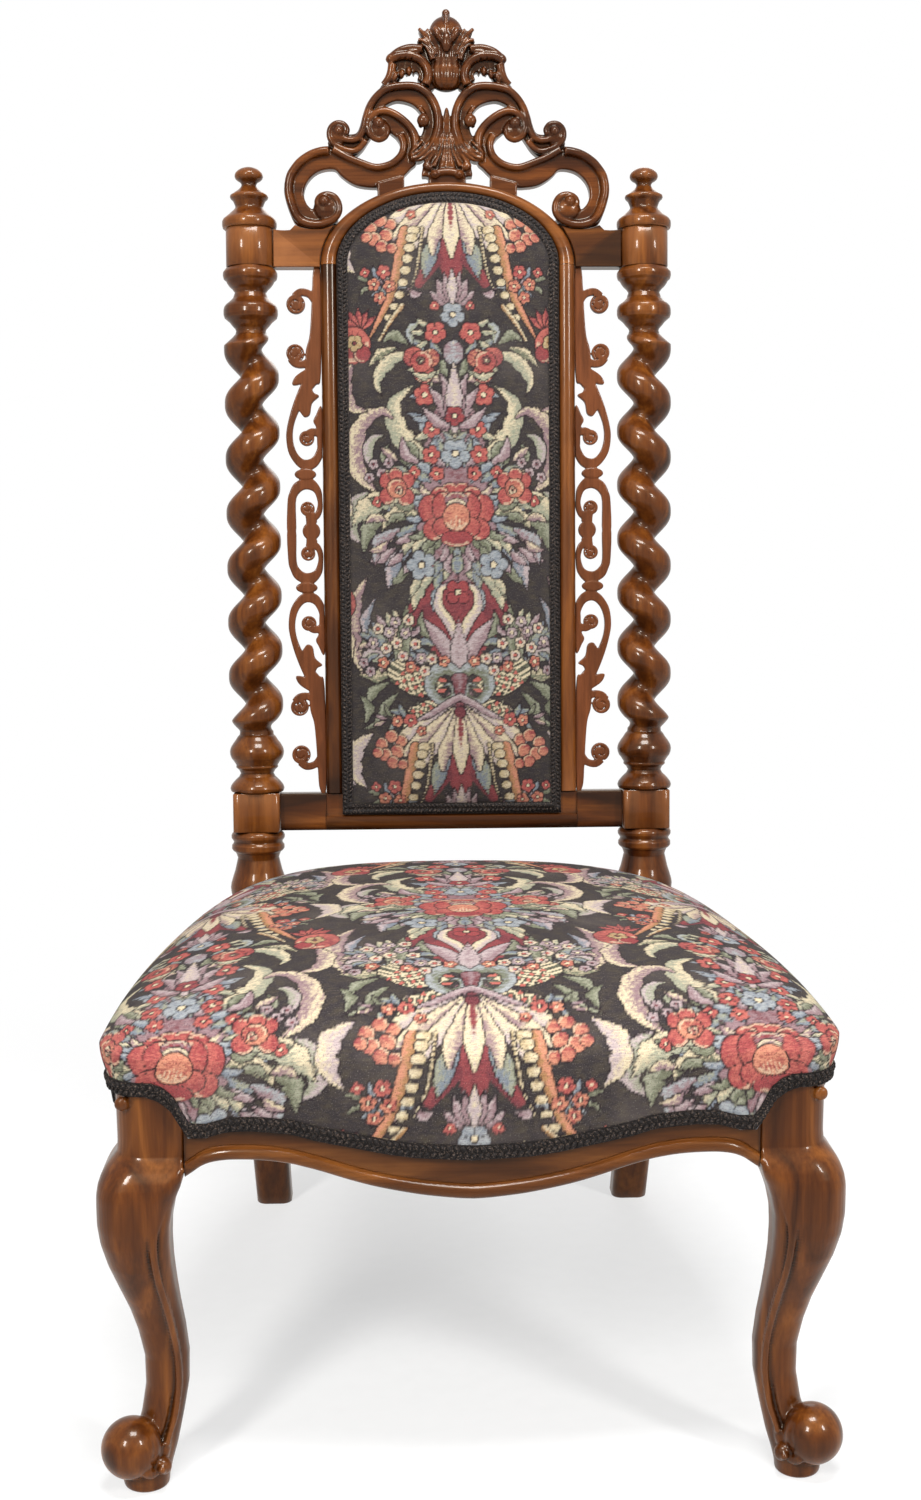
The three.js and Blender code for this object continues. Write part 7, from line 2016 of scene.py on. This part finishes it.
# Studio: a pale floor and paper backdrop under soft light, and the camera where the photograph's was. The
# paper glows a little more the further it lies from the chair, as an overlit backdrop does.
floor_mesh = bpy.data.meshes.new("floor")
floor_mesh.from_pydata([(-6, -6, 0), (6, -6, 0), (6, 6, 0), (-6, 6, 0)], [], [(0, 1, 2, 3)])
floor = linked("floor", floor_mesh)


def stand_in(tree, surface, bright, amount, output):
    """Shows the bright shader instead, by an amount, wherever the camera or a mirrored ray looks."""
    rays = wire(tree, "ShaderNodeLightPath").outputs
    seen = calc(tree, "MAXIMUM", rays["Is Camera Ray"], rays["Is Glossy Ray"])
    seen = calc(tree, "MAXIMUM", seen, rays["Is Transmission Ray"])
    chosen = wire(tree, "ShaderNodeMixShader", {
        0: calc(tree, "MULTIPLY", seen, amount), 1: surface.outputs[0], 2: bright.outputs[0],
    })
    tree.links.new(chosen.outputs[0], tree.nodes[output].inputs[0])


paper, tree, shader = finish("Pale paper")
place = own_place(tree)
shade = ramp(tree, noise(tree, place, 60.0, 3.0), [(0.3, (0.86, 0.86, 0.86)), (0.7, (0.90, 0.90, 0.90))])
tree.links.new(shade, shader.inputs["Base Color"])
shader.inputs["Roughness"].default_value = 0.9
away = wire(tree, "ShaderNodeVectorMath", {0: place}, operation="LENGTH").outputs["Value"]
overlit = calc(tree, "ADD", 0.72, past(tree, away, 0.5, 0.42, clamp=False), clamp=True)
glow = wire(tree, "ShaderNodeEmission", {"Color": (1.0, 1.0, 1.0, 1.0), "Strength": 1.0})
stand_in(tree, shader, glow, overlit, "Material Output")
floor_mesh.materials.append(paper)

scene = bpy.context.scene
scene.view_settings.view_transform = "Standard"
world = bpy.data.worlds.new("soft room")
world.use_nodes = True
scene.world = world
tree = world.node_tree
sky = tree.nodes["Background"]
sky.inputs["Color"].default_value = (1.0, 0.99, 0.975, 1.0)
sky.inputs["Strength"].default_value = 0.17
white = wire(tree, "ShaderNodeBackground", {"Color": (1.0, 1.0, 1.0, 1.0), "Strength": 1.0})
stand_in(tree, sky, white, 1.0, "World Output")


def soft_light(name, size, place, target, energy, shade):
    light = bpy.data.lights.new(name, "AREA")
    light.shape = "RECTANGLE"
    light.size, light.size_y = size
    light.energy = energy
    light.color = shade
    lamp = linked(name, light)
    way = Vector(target) - Vector(place)
    lamp.rotation_euler = way.to_track_quat("-Z", "Y").to_euler()
    lamp.location = place


soft_light("window_left", (0.35, 0.75), (-1.1, -2.1, 1.75), (0, 0, 0.55), 60, (1.0, 0.985, 0.96))
soft_light("window_right", (0.3, 0.65), (1.5, -1.7, 1.6), (0, 0, 0.55), 40, (1.0, 0.99, 0.975))
soft_light("ceiling", (0.9, 0.6), (0.1, -0.8, 2.5), (0, 0, 0.4), 72, (1.0, 1.0, 1.0))
soft_light("far_window", (1.2, 1.2), (0.5, 2.6, 1.9), (0, 0, 0.6), 10, (0.97, 0.99, 1.0))

picture_height, focal_length = 1500.0, 1873.0
film_height = 36.0
lens = bpy.data.cameras.new("camera")
lens.sensor_fit = "VERTICAL"
lens.sensor_height = film_height
lens.lens = focal_length / picture_height * film_height
camera = linked("camera", lens)
yaw, pitch, roll = 0.0335, math.radians(8.3), 0.0045
forward = np.array([math.sin(yaw) * math.cos(pitch), math.cos(yaw) * math.cos(pitch), -math.sin(pitch)])
right = np.array([math.cos(yaw), -math.sin(yaw), 0.0])
up = np.cross(right, forward)
rolled_right = math.cos(roll) * right - math.sin(roll) * up
rolled_up = math.sin(roll) * right + math.cos(roll) * up
camera.matrix_world = Matrix((
    (rolled_right[0], rolled_up[0], -forward[0], -0.0495),
    (rolled_right[1], rolled_up[1], -forward[1], -1.730 + middle_of_plan * MM),
    (rolled_right[2], rolled_up[2], -forward[2], 0.712),
    (0, 0, 0, 1),
))
scene.camera = camera
